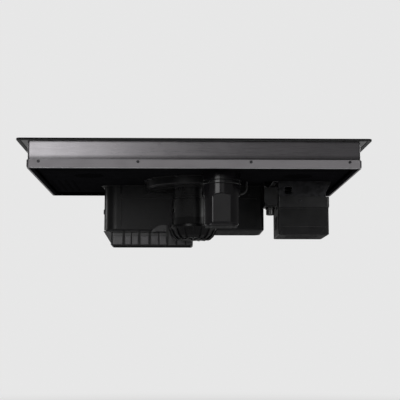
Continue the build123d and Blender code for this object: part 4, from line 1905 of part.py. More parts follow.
def junction_box():
    """The small mains box beside the lid, open behind its own cover, on two hangers."""
    x = JUNCTION_X
    y = JUNCTION_Y
    floor_top = JUNCTION_BOTTOM + JUNCTION_WALL
    inner_width = JUNCTION_WIDTH - 2 * JUNCTION_WALL
    inner_depth = JUNCTION_DEPTH - 2 * JUNCTION_WALL
    box = slab(JUNCTION_WIDTH, JUNCTION_DEPTH, JUNCTION_BOTTOM, JUNCTION_TOP, x, y, JUNCTION_CORNER_RADIUS)
    box -= slab(inner_width, inner_depth, floor_top, JUNCTION_TOP + CUT, x, y, JUNCTION_BORE_RADIUS)
    left = JUNCTION_LEFT + JUNCTION_WALL / 2
    right = JUNCTION_RIGHT - JUNCTION_WALL / 2
    hanger_y = y + JUNCTION_DEPTH / 8
    for hanger_x, top in ((left, FLOOR_UNDER), (right, FLOOR_UNDER - BRACKET_SHEET)):
        box += slab(JUNCTION_WALL, JUNCTION_DEPTH / 2, JUNCTION_TOP - FUSE, top, hanger_x, hanger_y)
    return box - disc(GLAND_RADIUS + PRESS_GAP, JUNCTION_BOTTOM - CUT, floor_top + CUT, x, y)


def junction_cover():
    """The junction box's cover: a lid over its front half, folded down over its front."""
    front = BOX_FRONT - SEAT_GAP
    low = JUNCTION_BOTTOM + COVER_FRONT_RISE
    high = JUNCTION_TOP + COVER_SHEET
    face = Pos(0, (low + high) / 2) * Rectangle(JUNCTION_WIDTH, high - low)
    face = fillet(face.vertices().group_by(Axis.Y)[0], COVER_FRONT_RADIUS)
    plane = Plane(origin=(JUNCTION_X, front, 0), x_dir=(1, 0, 0), z_dir=(0, -1, 0))
    reach = COVER_REACH + COVER_FRONT_SHEET
    middle = front - COVER_FRONT_SHEET + reach / 2
    lid = slab(JUNCTION_WIDTH, reach, JUNCTION_TOP, high, JUNCTION_X, middle)
    return lid + plane * extrude(face, COVER_FRONT_SHEET)


def terminal_block():
    """The mains terminals on the junction box's inner right wall."""
    bottom = JUNCTION_BOTTOM + JUNCTION_WALL + GLAND_NUT_HEIGHT + TERMINAL_RISE
    top = bottom + TERMINAL_HEIGHT
    x = JUNCTION_RIGHT - JUNCTION_WALL - TERMINAL_WIDTH / 2
    block = slab(TERMINAL_WIDTH, JUNCTION_DEPTH - 2 * TERMINAL_END_GAP, bottom, top, x, JUNCTION_Y)
    for index in range(TERMINAL_COUNT):
        y = JUNCTION_Y + (index - (TERMINAL_COUNT - 1) / 2) * TERMINAL_PITCH
        block -= disc(TERMINAL_HOLE_RADIUS, top - TERMINAL_HOLE_DEPTH, top + CUT, x, y)
    return block


def cable_gland():
    """The mains cable's gland, downwards out of the junction box."""
    under = JUNCTION_BOTTOM
    foot = under - GLAND_LENGTH
    dome_top = under - GLAND_NUT_HEIGHT - GLAND_NECK_HEIGHT
    floor_top = under + JUNCTION_WALL
    top = floor_top + GLAND_NUT_HEIGHT
    dome = disc(GLAND_RADIUS + GLAND_DOME_OUT, foot, dome_top)
    shape = fillet(dome.edges().group_by(Axis.Z)[0], GLAND_DOME_ROUNDING)
    shape += disc(GLAND_RADIUS, foot + GLAND_STEM_INSET, top)
    shape += Pos(0, 0, under - GLAND_NUT_HEIGHT) * extrude(RegularPolygon(GLAND_NUT, 6), GLAND_NUT_HEIGHT)
    shape += disc(GLAND_RADIUS + GLAND_LOCKNUT_OUT, floor_top, floor_top + GLAND_LOCKNUT_HEIGHT)
    return Pos(JUNCTION_X, JUNCTION_Y, 0) * (shape - disc(GLAND_BORE, foot - CUT, top + CUT))


# ---------------------------------------------------------------- assembly

keep("glass_top", glass_top())
keep("rim_seal", rim_seal())
keep("support_frame", support_frame())
keep("base_tray", base_tray())
keep("tray_screws", group(screw(*place) for place in tray_screw_places()))
keep("side_clips", group(side_clip(side, y) for side in (-1, 1) for y in clip_rows()))

keep("intake_collar", intake_collar())
keep("intake_basin", intake_basin())
keep("drain_spout", drain_spout())
keep("intake_grille", intake_grille())
keep("filter_cassette", filter_cassette())
keep("filter_meshes", group(filter_mesh(side) for side in (-1, 1)))

keep("volute_cover", volute_cover())
keep("volute_wall", volute_wall())
keep("impeller", impeller())
keep("wheel_nut", wheel_nut())
keep("blower_housing", blower_housing())
keep("plenum_lining", plenum_lining())
blower_screws = [*blower_screw_places(), *motor_screw_places()]
keep("blower_screws", group(screw(*place) for place in blower_screws))

keep("duct_spigot", duct_spigot())
keep("flap_pin", flap_pin())
keep("outlet_flap_front", outlet_flap(-1))
keep("outlet_flap_rear", outlet_flap(1))

keep("motor_housing", motor_housing())
keep("motor_end_cap", motor_end_cap())
keep("stator", stator())
keep("stator_windings", stator_windings())
keep("motor_rotor", motor_rotor())
keep("motor_bearings", motor_bearings())
keep("motor_lead", motor_lead())

keep("overflow_neck", overflow_neck())
keep("lock_ring", lock_ring())
keep("overflow_tank", overflow_tank())
keep("tank_ring", tank_ring())

SIDES = (-1, 1)
for label, side in zip(("left", "right"), SIDES):
    keep(f"cooler_frame_{label}", cooler_frame(side))
    keep(f"cooler_rotor_{label}", cooler_rotor(side))
keep("coil_plates", group(coil_plate(side) for side in SIDES))
keep("ferrite_bars", group(ferrite_bars()))
keep("insulation_mats", group(insulation_mat(side) for side in SIDES))
keep("coil_windings", group(coil_winding(*place) for place in coil_places()))
keep("coil_carriers", group(coil_carrier(*place) for place in coil_places()))
keep("power_boards", group(power_board(side) for side in SIDES))
keep("heat_sinks", group(heat_sink(side) for side in SIDES))
keep("board_parts", group(board_parts()))
keep("zone_sensors", group(zone_sensor(*place) for place in coil_places()))
keep("plate_posts", group(plate_posts()))
keep("plate_springs", group(plate_springs()))
keep("touch_carrier", touch_carrier())
keep("touch_board", touch_board())

keep("control_bracket", control_bracket())
keep("control_case", control_case())
keep("control_lid", control_lid())
keep("control_board", control_board())
keep("junction_box", junction_box())
keep("junction_cover", junction_cover())
keep("terminal_block", terminal_block())
keep("cable_gland", cable_gland())
box_screws = [*bracket_screw_places(), *lid_screw_places()]
keep("box_screws", group(screw(*place) for place in box_screws))

os.makedirs("parts", exist_ok=True)
for name, shape in nodes.items():
    export_step(shape, f"parts/{name}.step")
    print(name, len(shape.solids()), round(shape.volume))
print(len(nodes), "nodes")
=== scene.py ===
"""Looks of a downdraft induction cooktop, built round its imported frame.

Metres throughout, in the frame's own axes: X to the right, Y to the back, Z up.
"""

import logging
import math
from dataclasses import dataclass
from enum import Enum
from typing import Callable, Sequence

import bmesh
import bpy
from mathutils import Matrix, Vector


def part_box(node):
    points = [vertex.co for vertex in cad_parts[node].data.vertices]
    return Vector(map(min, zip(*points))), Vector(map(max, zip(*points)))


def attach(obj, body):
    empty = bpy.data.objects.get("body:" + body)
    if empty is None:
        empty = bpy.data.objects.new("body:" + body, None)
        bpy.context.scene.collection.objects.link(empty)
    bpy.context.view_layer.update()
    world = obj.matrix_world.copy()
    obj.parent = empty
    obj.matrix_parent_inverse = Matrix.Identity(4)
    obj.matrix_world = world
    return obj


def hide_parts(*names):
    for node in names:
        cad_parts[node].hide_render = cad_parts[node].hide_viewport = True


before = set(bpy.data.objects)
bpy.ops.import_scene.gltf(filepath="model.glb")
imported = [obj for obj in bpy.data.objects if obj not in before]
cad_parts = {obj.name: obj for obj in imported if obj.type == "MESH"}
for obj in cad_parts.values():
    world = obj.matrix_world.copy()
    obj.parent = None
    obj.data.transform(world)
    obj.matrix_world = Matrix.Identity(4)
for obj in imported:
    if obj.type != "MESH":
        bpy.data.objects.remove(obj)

logging.basicConfig(level=logging.INFO, format="%(message)s")
log = logging.getLogger("cooktop")

Colour = tuple[float, float, float]
Point = tuple[float, float, float]
Flat = tuple[float, float]
Box = tuple[Vector, Vector]
Socket = bpy.types.NodeSocket
Fed = float | tuple[float, ...] | Socket

SIDES = (-1, 1)
EAST, NORTH, UP = Vector((1, 0, 0)), Vector((0, 1, 0)), Vector((0, 0, 1))
SINK = 0.0002  # how far a raised piece reaches into what it stands on
PLATE = (-0.0003, 0.0001)  # a thin plate's faces, from the surface that it lies under


def grey(level: float) -> Colour:
    """A neutral linear colour."""
    return (level, level, level)


def scaled(colour: Colour, factor: float, lift: float = 0.0) -> Colour:
    """A colour times a factor and with a lift added, at most full."""
    return tuple(min(c * factor + lift, 1.0) for c in colour)


# ---------------------------------------------------------------- shader graphs


class Graph:
    """Adds and links nodes in one tree, so that a finish reads as a short recipe."""

    def __init__(self, tree: bpy.types.NodeTree) -> None:
        """Args:
            tree: the node tree that is written to.
        """
        self.tree = tree

    def feed(self, socket: Socket, value: Fed) -> None:
        """Links or sets one input.

        Args:
            socket: the input.
            value: another node's output, a number or a colour.
        """
        if isinstance(value, bpy.types.NodeSocket):
            self.tree.links.new(value, socket)
        elif isinstance(value, tuple) and len(value) == 3 and len(socket.default_value) == 4:
            socket.default_value = (*value, 1.0)
        else:
            socket.default_value = value

    def add(self, kind: str, inputs: dict[str | int, Fed] | None = None,
            **settings: object) -> bpy.types.Node:
        """Adds a shader node.

        Args:
            kind: the node's type, without the ShaderNode in front.
            inputs: values or outputs for its inputs.
            settings: properties of the node.

        Returns:
            The new node.
        """
        node = self.tree.nodes.new("ShaderNode" + kind)
        for key, value in settings.items():
            setattr(node, key, value)
        for key, value in (inputs or {}).items():
            self.feed(node.inputs[key], value)
        return node

    def math(self, operation: str, *values: Fed, clamp: bool = False) -> Socket:
        """One Math node's output for the given operation and values."""
        return self.add("Math", dict(enumerate(values)), operation=operation, use_clamp=clamp).outputs[0]

    def times(self, one: Fed, other: Fed, clamp: bool = False) -> Socket:
        """Two numbers multiplied."""
        return self.math("MULTIPLY", one, other, clamp=clamp)

    def off(self, value: Fed, middle: float = 0.0) -> Socket:
        """How far a number is from a middle."""
        return self.math("ABSOLUTE", self.math("SUBTRACT", value, middle))

    def mix(self, factor: Fed, low: Fed, high: Fed) -> Socket:
        """A colour between low and high."""
        return self.add("Mix", {0: factor, 6: low, 7: high}, data_type="RGBA").outputs[2]

    def blend(self, factor: Fed, low: Fed, high: Fed) -> Socket:
        """A number between low and high."""
        return self.add("Mix", {0: factor, 2: low, 3: high}, data_type="FLOAT").outputs[0]

    def ramp(self, value: Fed, start: float, end: float, low: Fed = 0.0, high: Fed = 1.0) -> Socket:
        """Maps value from start..end to low..high, clamped."""
        inputs = {"Value": value, "From Min": start, "From Max": end, "To Min": low, "To Max": high}
        return self.add("MapRange", inputs).outputs["Result"]

    def place(self) -> Socket:
        """The surface point in the frame's metres."""
        return self.add("TexCoord").outputs["Object"]

    def normal(self) -> Socket:
        """The surface's own normal."""
        return self.add("NewGeometry").outputs["Normal"]

    def axes(self, vector: Socket | None = None) -> bpy.types.bpy_prop_collection:
        """The outputs X, Y and Z of a vector, or of the surface point."""
        return self.add("SeparateXYZ", {0: vector or self.place()}).outputs

    def stretched(self, scale: Fed) -> Socket:
        """The surface point, multiplied along each axis."""
        return self.add("VectorMath", {0: self.place(), 1: scale}, operation="MULTIPLY").outputs[0]

    def noise(self, scale: Fed, detail: float = 2.0, vector: Socket | None = None) -> Socket:
        """Noise of that many cells a metre."""
        inputs: dict[str | int, Fed] = {"Vector": vector or self.place(), "Scale": scale, "Detail": detail}
        return self.add("TexNoise", inputs).outputs["Fac"]

    def cells(self, scale: Fed, output: str = "Distance", feature: str = "F1") -> Socket:
        """Scattered points, as the distance to the nearest or as its random Color."""
        inputs: dict[str | int, Fed] = {"Vector": self.place(), "Scale": scale}
        return self.add("TexVoronoi", inputs, feature=feature).outputs[output]


@dataclass(frozen=True)
class Effect:
    """A node group that several finishes share."""

    name: str
    inputs: tuple[tuple[str, str, float], ...]
    outputs: tuple[tuple[str, str], ...]
    recipe: Callable[[Graph, dict[str, Socket]], dict[str, Socket]]

    def tree(self) -> bpy.types.NodeTree:
        """The group's tree, built the first time."""
        known = bpy.data.node_groups.get(self.name)
        if known:
            return known
        tree = bpy.data.node_groups.new(self.name, "ShaderNodeTree")
        for label, kind, value in self.inputs:
            socket = tree.interface.new_socket(label, in_out="INPUT", socket_type="NodeSocket" + kind)
            socket.default_value = (value, value, value) if kind == "Vector" else value
        for label, kind in self.outputs:
            tree.interface.new_socket(label, in_out="OUTPUT", socket_type="NodeSocket" + kind)
        source = tree.nodes.new("NodeGroupInput")
        target = tree.nodes.new("NodeGroupOutput")
        made = self.recipe(Graph(tree), {s.name: s for s in source.outputs if s.name})
        for label, socket in made.items():
            tree.links.new(socket, target.inputs[label])
        return tree

    def on(self, graph: Graph, **inputs: Fed) -> dict[str, Socket]:
        """Places the group in a material.

        Args:
            graph: the material's graph.
            inputs: values for the group's inputs.

        Returns:
            The group's outputs by name.
        """
        node = graph.tree.nodes.new("ShaderNodeGroup")
        node.node_tree = self.tree()
        for label, value in inputs.items():
            graph.feed(node.inputs[label], value)
        return {s.name: s for s in node.outputs}


def moulded_recipe(g: Graph, given: dict[str, Socket]) -> dict[str, Socket]:
    """The fine stipple that a spark-eroded mould leaves."""
    cells = g.cells(given["Scale"], feature="SMOOTH_F1")
    height = g.math("ADD", g.times(cells, 0.6), g.times(g.noise(given["Scale"], 3.0), 0.6))
    return {"Height": height, "Mottle": g.noise(45.0, 4.0)}


def brushed_recipe(g: Graph, given: dict[str, Socket]) -> dict[str, Socket]:
    """Long fine lines, with a few deeper ones."""
    point = g.stretched(given["Scale"])
    fine = g.noise(1.0, 4.0, point)
    deep = g.ramp(g.noise(0.37, 1.0, point), 0.62, 0.7)
    return {"Height": g.math("SUBTRACT", fine, g.times(deep, 0.35)), "Streak": fine}


def wear_sheen_recipe(g: Graph, given: dict[str, Socket]) -> dict[str, Socket]:
    """Where an edge is rubbed bright and carries a painted highlight, broken up by noise, and the softened
    normal there.
    """
    rounded = g.add("Bevel", {"Radius": given["Width"]}, samples=6).outputs["Normal"]
    turn = g.add("VectorMath", {0: rounded, 1: g.normal()}, operation="DOT_PRODUCT").outputs["Value"]
    edge = g.ramp(turn, 0.985, 0.90)
    patchy = g.ramp(g.noise(220.0, 3.0), 0.38, 0.6, 0.25, 1.0)
    return {"Mask": g.times(edge, g.times(patchy, given["Amount"]), clamp=True), "Normal": rounded}


def dust_recipe(g: Graph, given: dict[str, Socket]) -> dict[str, Socket]:
    """Dust that lies on what faces up, in drifts."""
    up = g.axes(g.normal())["Z"]
    drift = g.ramp(g.noise(28.0, 5.0), 0.35, 0.75)
    lying = g.times(g.ramp(up, 0.3, 0.95), drift)
    return {"Mask": g.times(lying, given["Amount"], clamp=True)}


def smudge_recipe(g: Graph, given: dict[str, Socket]) -> dict[str, Socket]:
    """Soft patches where a gloss has been touched or wiped."""
    wide = g.noise(given["Scale"], 2.0)
    wiped = g.noise(1.0, 3.0, g.stretched((14.0, 60.0, 60.0)))
    return {"Mask": g.times(g.ramp(wide, 0.4, 0.7), g.ramp(wiped, 0.35, 0.7))}


MASK_OUT = (("Mask", "Float"),)
RELIEF_OUT = (("Height", "Float"), ("Mottle", "Float"))
LINES_OUT = (("Height", "Float"), ("Streak", "Float"))
EDGE_IN = (("Width", "Float", 0.0006), ("Amount", "Float", 0.5))
EDGE_OUT = (("Mask", "Float"), ("Normal", "Vector"))

MOULDED = Effect("moulded_stipple", (("Scale", "Float", 1500.0),), RELIEF_OUT, moulded_recipe)
BRUSHED = Effect("brushed_lines", (("Scale", "Vector", 100.0),), LINES_OUT, brushed_recipe)
WEAR_SHEEN = Effect("edge_wear", EDGE_IN, EDGE_OUT, wear_sheen_recipe)
DUST = Effect("settled_dust", (("Amount", "Float", 0.2),), MASK_OUT, dust_recipe)
SMUDGE = Effect("smudges", (("Scale", "Float", 30.0),), MASK_OUT, smudge_recipe)


# ---------------------------------------------------------------- finishes


DUST_COLOUR = (0.30, 0.28, 0.25)
DUST_ROUGHNESS = 0.9
WORN_ROUGHNESS = 0.35
SOLDER_COLOUR = (0.55, 0.52, 0.45)


class Grain(Enum):
    """The way in which a sheet's rolling or brushing lines run."""

    ALONG_X = (18.0, 2600.0, 2600.0)
    ALONG_Y = (2600.0, 18.0, 2600.0)
    ALONG_Z = (2600.0, 2600.0, 18.0)


@dataclass(frozen=True)
class Finish:
    """A material made of nodes. A subclass says what its relief and tones are.

    The shades and the gloss are factors on colour and roughness, where a pattern is 0 and where it is 1.
    """

    name: str
    colour: Colour
    roughness: float = 0.5
    metallic: float = 0.0
    relief: float = 0.00002
    # The edges' mask is real wear and also a painted highlight along edges: its amount, width and colour.
    wear: float = 0.0
    wear_sheen_width: float = 0.0006
    wear_sheen_colour: Colour = (0.32, 0.32, 0.33)
    dust: float = 0.0
    specular: float = 0.5
    shades: Flat = (0.8, 1.25)
    gloss: Flat = (0.9, 1.12)

    def tones(self, g: Graph) -> tuple[Fed, Fed, Socket]:
        """The finish's own pattern.

        Args:
            g: the material's graph.

        Returns:
            Base colour, roughness and height.
        """
        raise NotImplementedError

    def shaded(self, g: Graph, pattern: Socket) -> Socket:
        """The colour between its two shades."""
        low, high = (scaled(self.colour, factor) for factor in self.shades)
        return g.mix(pattern, low, high)

    def glossed(self, g: Graph, pattern: Socket, start: float = 0.3, end: float = 0.7) -> Socket:
        """The roughness between its two bounds, where the pattern runs from start to end."""
        low, high = (min(self.roughness * factor, 1.0) for factor in self.gloss)
        return g.ramp(pattern, start, end, low, high)

    def metal(self, g: Graph) -> Fed:
        """How metallic the surface is: the same all over, unless a finish says otherwise."""
        return self.metallic

    def wear_sheen_amount(self, g: Graph) -> Fed:
        """How much its edges are rubbed and carry a painted highlight: the same all over, unless a finish
        says otherwise.
        """
        return self.wear

    def material(self) -> bpy.types.Material:
        """The material, built the first time it is asked for."""
        known = bpy.data.materials.get(self.name)
        if known:
            return known
        made = bpy.data.materials.new(self.name)
        made.use_nodes = True
        made.node_tree.nodes.clear()
        g = Graph(made.node_tree)
        colour, rough, height = self.tones(g)
        edge = WEAR_SHEEN.on(g, Width=self.wear_sheen_width, Amount=self.wear_sheen_amount(g))
        # Edges turn lighter: real wear, and a painted highlight along them.
        colour = g.mix(edge["Mask"], colour, self.wear_sheen_colour)
        rough = g.blend(edge["Mask"], rough, WORN_ROUGHNESS)
        if self.dust > 0:
            mask = DUST.on(g, Amount=self.dust)["Mask"]
            colour = g.mix(mask, colour, DUST_COLOUR)
            rough = g.blend(mask, rough, DUST_ROUGHNESS)
        relief = {"Height": height, "Distance": self.relief, "Strength": 1.0, "Normal": edge["Normal"]}
        shader = g.add("BsdfPrincipled", {
            "Normal": g.add("Bump", relief).outputs[0],
            "Base Color": colour,
            "Roughness": rough,
            "Metallic": self.metal(g),
            "Specular IOR Level": self.specular,
        })
        g.add("OutputMaterial", {0: shader.outputs[0]})
        return made


@dataclass(frozen=True)
class Plastic(Finish):
    """Moulded plastic: a stipple, slight colour variation and softened gloss."""

    shades: Flat = (0.75, 1.25)
    gloss: Flat = (0.86, 1.15)
    stipple: float = 1500.0

    def tones(self, g: Graph) -> tuple[Fed, Fed, Socket]:
        """Base colour, roughness and height of moulded plastic."""
        grain = MOULDED.on(g, Scale=self.stipple)
        colour = self.shaded(g, g.ramp(grain["Mottle"], 0.3, 0.7))
        return colour, self.glossed(g, grain["Mottle"]), grain["Height"]


@dataclass(frozen=True)
class PaddedPlastic(Plastic):
    """The spigot's plastic, with painted shade in its sunk gaps, beside its wide gaps, and on all that lies
    inside the pads' faces.
    """

    middle: Flat = (-0.108, 0.141)
    half: Flat = (0.1082, 0.0422)
    fade: float = 0.0012
    painted_shade_colour: Colour = (0.0012, 0.0012, 0.0015)
    sunk_roughness: float = 0.6
    wide_gaps: tuple[float, ...] = (-0.182, -0.141, -0.113, -0.066)
    wide_half: float = 0.0034
    gap_fade: float = 0.0003

    def tones(self, g: Graph) -> tuple[Fed, Fed, Socket]:
        """Base colour, roughness and height, with painted shade below the pads' faces and beside the wide
        gaps.
        """
        colour, rough, height = super().tones(g)
        place = g.axes()
        painted_shade = g.times(*(g.ramp(g.off(place[axis], middle), half, half - self.fade)
                           for axis, middle, half in zip("XY", self.middle, self.half)))
        # Painted shade beside the wide gaps between the pads, as well.
        for gap in self.wide_gaps:
            near = g.ramp(g.off(place["X"], gap), self.wide_half, self.wide_half - self.gap_fade)
            painted_shade = g.math("MAXIMUM", painted_shade, near)
        return g.mix(painted_shade, colour, self.painted_shade_colour), g.blend(painted_shade, rough, self.sunk_roughness), height


@dataclass(frozen=True)
class GlossPlastic(Finish):
    """Polished plastic: flat and mirror-like, with wiped patches and a faint ripple."""

    gloss: Flat = (1.0, 2.2)
    wiped_shade: float = 1.6
    wiped_haze: float = 0.0005

    def tones(self, g: Graph) -> tuple[Fed, Fed, Socket]:
        """Base colour, roughness and height of polished plastic."""
        patch = SMUDGE.on(g, Scale=34.0)["Mask"]
        colour = g.mix(patch, self.colour, scaled(self.colour, self.wiped_shade, self.wiped_haze))
        return colour, self.glossed(g, patch, 0.0, 1.0), g.noise(26.0, 1.0)


@dataclass(frozen=True)
class Metal(Finish):
    """Bare, brushed or rolled metal with its lines, tone streaks and smudges."""

    metallic: float = 1.0
    shades: Flat = (0.88, 1.12)
    gloss: Flat = (0.85, 1.2)
    grain: Grain = Grain.ALONG_X
    smudged: float = 0.08

    def tones(self, g: Graph) -> tuple[Fed, Fed, Socket]:
        """Base colour, roughness and height of rolled metal."""
        lines = BRUSHED.on(g, Scale=self.grain.value)
        patch = SMUDGE.on(g, Scale=22.0)["Mask"]
        colour = self.shaded(g, g.ramp(lines["Streak"], 0.35, 0.65))
        rough = g.math("ADD", self.glossed(g, lines["Streak"]), g.times(patch, self.smudged))
        return colour, rough, lines["Height"]


@dataclass(frozen=True)
class Zinc(Finish):
    """Hot-dipped sheet with its large flat crystals."""

    metallic: float = 1.0
    shades: Flat = (0.82, 1.14)
    gloss: Flat = (0.8, 1.25)
    crystals: float = 120.0

    def tones(self, g: Graph) -> tuple[Fed, Fed, Socket]:
        """Base colour, roughness and height of spangled sheet."""
        shade = g.add("SeparateColor", {0: g.cells(self.crystals, "Color")}).outputs[0]
        return self.shaded(g, shade), self.glossed(g, shade, 0.0, 1.0), g.noise(900.0, 2.0)


@dataclass(frozen=True)
class Enamel(Finish):
    """Fired or powder-coated paint with an orange-peel skin."""

    peel: float = 700.0

    def tones(self, g: Graph) -> tuple[Fed, Fed, Socket]:
        """Base colour, roughness and height of a coated surface."""
        wide = g.noise(30.0, 3.0)
        return self.shaded(g, wide), self.glossed(g, wide), g.noise(self.peel, 2.0)


@dataclass(frozen=True)
class CastIron(Finish):
    """Sand-cast iron under matt enamel: coarse, pitted and uneven."""

    shades: Flat = (0.7, 1.4)
    gloss: Flat = (0.85, 1.15)

    def tones(self, g: Graph) -> tuple[Fed, Fed, Socket]:
        """Base colour, roughness and height of cast iron."""
        coarse = g.noise(520.0, 6.0)
        height = g.math("ADD", coarse, g.times(g.ramp(g.cells(900.0), 0.0, 0.35), 0.5))
        return self.shaded(g, g.ramp(coarse, 0.35, 0.65)), self.glossed(g, coarse), height


@dataclass(frozen=True)
class Foam(Finish):
    """Open-cell foam, whose pores carry painted shade and are rougher."""

    # The pores' painted shade: a quarter of the foam's colour.
    shades: Flat = (0.25, 1.0)
    pores: float = 1100.0
    pore_roughness: float = 0.97

    def tones(self, g: Graph) -> tuple[Fed, Fed, Socket]:
        """Base colour, roughness and height of foam."""
        wall = g.ramp(g.cells(self.pores), 0.1, 0.5)
        return self.shaded(g, wall), g.ramp(wall, 0.0, 1.0, self.pore_roughness, self.roughness), wall


@dataclass(frozen=True)
class Board(Finish):
    """A lacquered circuit board: tracks, pads and a speckle of small parts."""

    shades: Flat = (1.0, 2.1)
    pitch: float = 330.0
    pads: float = 170.0
    pad_roughness: float = 0.25

    def tones(self, g: Graph) -> tuple[Fed, Fed, Socket]:
        """Base colour, roughness and height of a printed board."""
        point = g.stretched((self.pitch, self.pitch, self.pitch))
        tracks = g.add("TexBrick", {"Vector": point, "Scale": 1.0, "Mortar Size": 0.12}, offset=0.35)
        line = tracks.outputs["Fac"]
        pad = g.ramp(g.cells(self.pads), 0.22, 0.16)
        colour = g.mix(pad, self.shaded(g, line), SOLDER_COLOUR)
        return colour, g.blend(pad, self.roughness, self.pad_roughness), g.math("ADD", line, pad)


@dataclass(frozen=True)
class Lacquered(Finish):
    """Enamelled wire or lacquered copper with a lengthwise sheen."""

    metallic: float = 1.0
    shades: Flat = (0.7, 1.0)
    gloss: Flat = (0.8, 1.2)

    def tones(self, g: Graph) -> tuple[Fed, Fed, Socket]:
        """Base colour, roughness and height of enamelled wire."""
        tone = g.noise(260.0, 3.0)
        strand = g.add("TexWave", {"Vector": g.place(), "Scale": 900.0, "Distortion": 1.5}).outputs["Fac"]
        return self.shaded(g, tone), self.glossed(g, tone), strand


@dataclass(frozen=True)
class GlassCeramic(Finish):
    """Black glass ceramic: deep, very glossy, faintly speckled, with wiped smears."""

    speck_shade: float = 5.0
    speck_lift: float = 0.012
    smeared: float = 0.07

    def tones(self, g: Graph) -> tuple[Fed, Fed, Socket]:
        """Base colour, roughness and height of glass ceramic."""
        speck = g.ramp(g.cells(850.0), 0.12, 0.05)
        smear = SMUDGE.on(g, Scale=9.0)["Mask"]
        colour = g.mix(speck, self.colour, scaled(self.colour, self.speck_shade, self.speck_lift))
        return colour, g.blend(smear, self.roughness, self.roughness + self.smeared), g.noise(6.0, 1.0)


@dataclass(frozen=True)
class TraySteel(Metal):
    """The tray's sheet: satin walls, and a black coat on the floor that is recessed between them."""

    inside: Flat = (0.3855, 0.2405)
    fade: float = 0.0004
    coat_colour: Colour = (0.0032, 0.0032, 0.0036)
    coat_shade: float = 2.4
    coat_roughness: float = 0.5
    # The painted shade on upright faces inside the coated floor, as a share of the coat's colour.
    cut: float = 0.2

    def coated(self, g: Graph) -> Socket:
        """Where the black coat lies: 1 on the recessed floor, 0 on the walls."""
        place = g.axes()
        return g.times(*(g.ramp(g.off(place[axis]), edge, edge - self.fade)
                         for axis, edge in zip("XY", self.inside)))

    def metal(self, g: Graph) -> Fed:
        """Bare on the walls, not metallic where it is coated."""
        return g.math("SUBTRACT", 1.0, self.coated(g))

    def wear_sheen_amount(self, g: Graph) -> Fed:
        """Rubbed, with a painted highlight, on the walls' edges only."""
        return g.times(self.metal(g), self.wear)

    def tones(self, g: Graph) -> tuple[Fed, Fed, Socket]:
        """Base colour, roughness and height of the tray. Upright faces inside the coated floor carry painted
        shade, darker than the coat.
        """
        colour, rough, height = super().tones(g)
        coated = self.coated(g)
        coat = g.mix(g.noise(40.0, 4.0), self.coat_colour, scaled(self.coat_colour, self.coat_shade))
        # Painted shade: upright faces inside the coat get a fifth of its colour.
        level = g.ramp(g.off(g.axes(g.normal())["Z"]), 0.3, 0.8)
        coat = g.mix(level, scaled(self.coat_colour, self.cut), coat)
        return g.mix(coated, colour, coat), g.blend(coated, rough, self.coat_roughness), height


@dataclass(frozen=True)
class FrameSteel(Metal):
    """The frame's sheet, with a band of painted shade above the tray, where the sheet turns in."""

    shade_from: float = -0.0320
    shade_to: float = -0.0400
    # How dark the band of painted shade is, as a share of the sheet's colour.
    turned: float = 0.42

    def tones(self, g: Graph) -> tuple[Fed, Fed, Socket]:
        """Base colour, roughness and height of the frame, with its band of painted shade."""
        colour, rough, height = super().tones(g)
        turn = g.ramp(g.axes()["Z"], self.shade_from, self.shade_to)
        return g.mix(turn, colour, scaled(self.colour, self.turned)), rough, height


@dataclass(frozen=True)
class Print(Finish):
    """Ceramic ink fired on the glass: matt, pale and minutely broken up."""

    shades: Flat = (1.0, 0.6)
    gloss: Flat = (1.0, 1.2)
    screen: float = 2600.0

    def tones(self, g: Graph) -> tuple[Fed, Fed, Socket]:
        """Base colour, roughness and height of printed ink."""
        dots = g.ramp(g.cells(self.screen), 0.25, 0.6)
        thin = g.ramp(g.noise(90.0, 3.0), 0.3, 0.7)
        return self.shaded(g, g.times(dots, thin)), self.glossed(g, dots, 0.0, 1.0), dots


# plastics, coats and ceramics
GLASS = GlassCeramic("glass_ceramic_black", (0.0035, 0.0035, 0.004), roughness=0.05, relief=0.00001)
SEAL = Plastic("seal_rubber_black", grey(0.012), roughness=0.62, stipple=900.0, relief=0.00004, dust=0.12)
IRON = CastIron("grille_iron_enamel", grey(0.014), relief=0.00012, wear=0.35, wear_sheen_width=0.0008,
                wear_sheen_colour=grey(0.10), dust=0.05)
BLACK_METAL = Enamel("collar_coat_black", grey(0.012), roughness=0.42, wear=0.3)
HOUSING = Plastic("housing_plastic_black", (0.0046, 0.0046, 0.005), roughness=0.36, stipple=1300.0,
                  wear=0.3, wear_sheen_colour=grey(0.045), dust=0.10, specular=0.17)
# Painted shade in the spigot's sunk places and beside its wide gaps.
SPIGOT = PaddedPlastic("spigot_plastic_satin", (0.016, 0.0155, 0.0165), roughness=0.34, wear=0.3,
                       wear_sheen_width=0.0009, wear_sheen_colour=grey(0.12), specular=0.4)
FLAP = Plastic("flap_plastic_grey", (0.05, 0.052, 0.055), roughness=0.45)
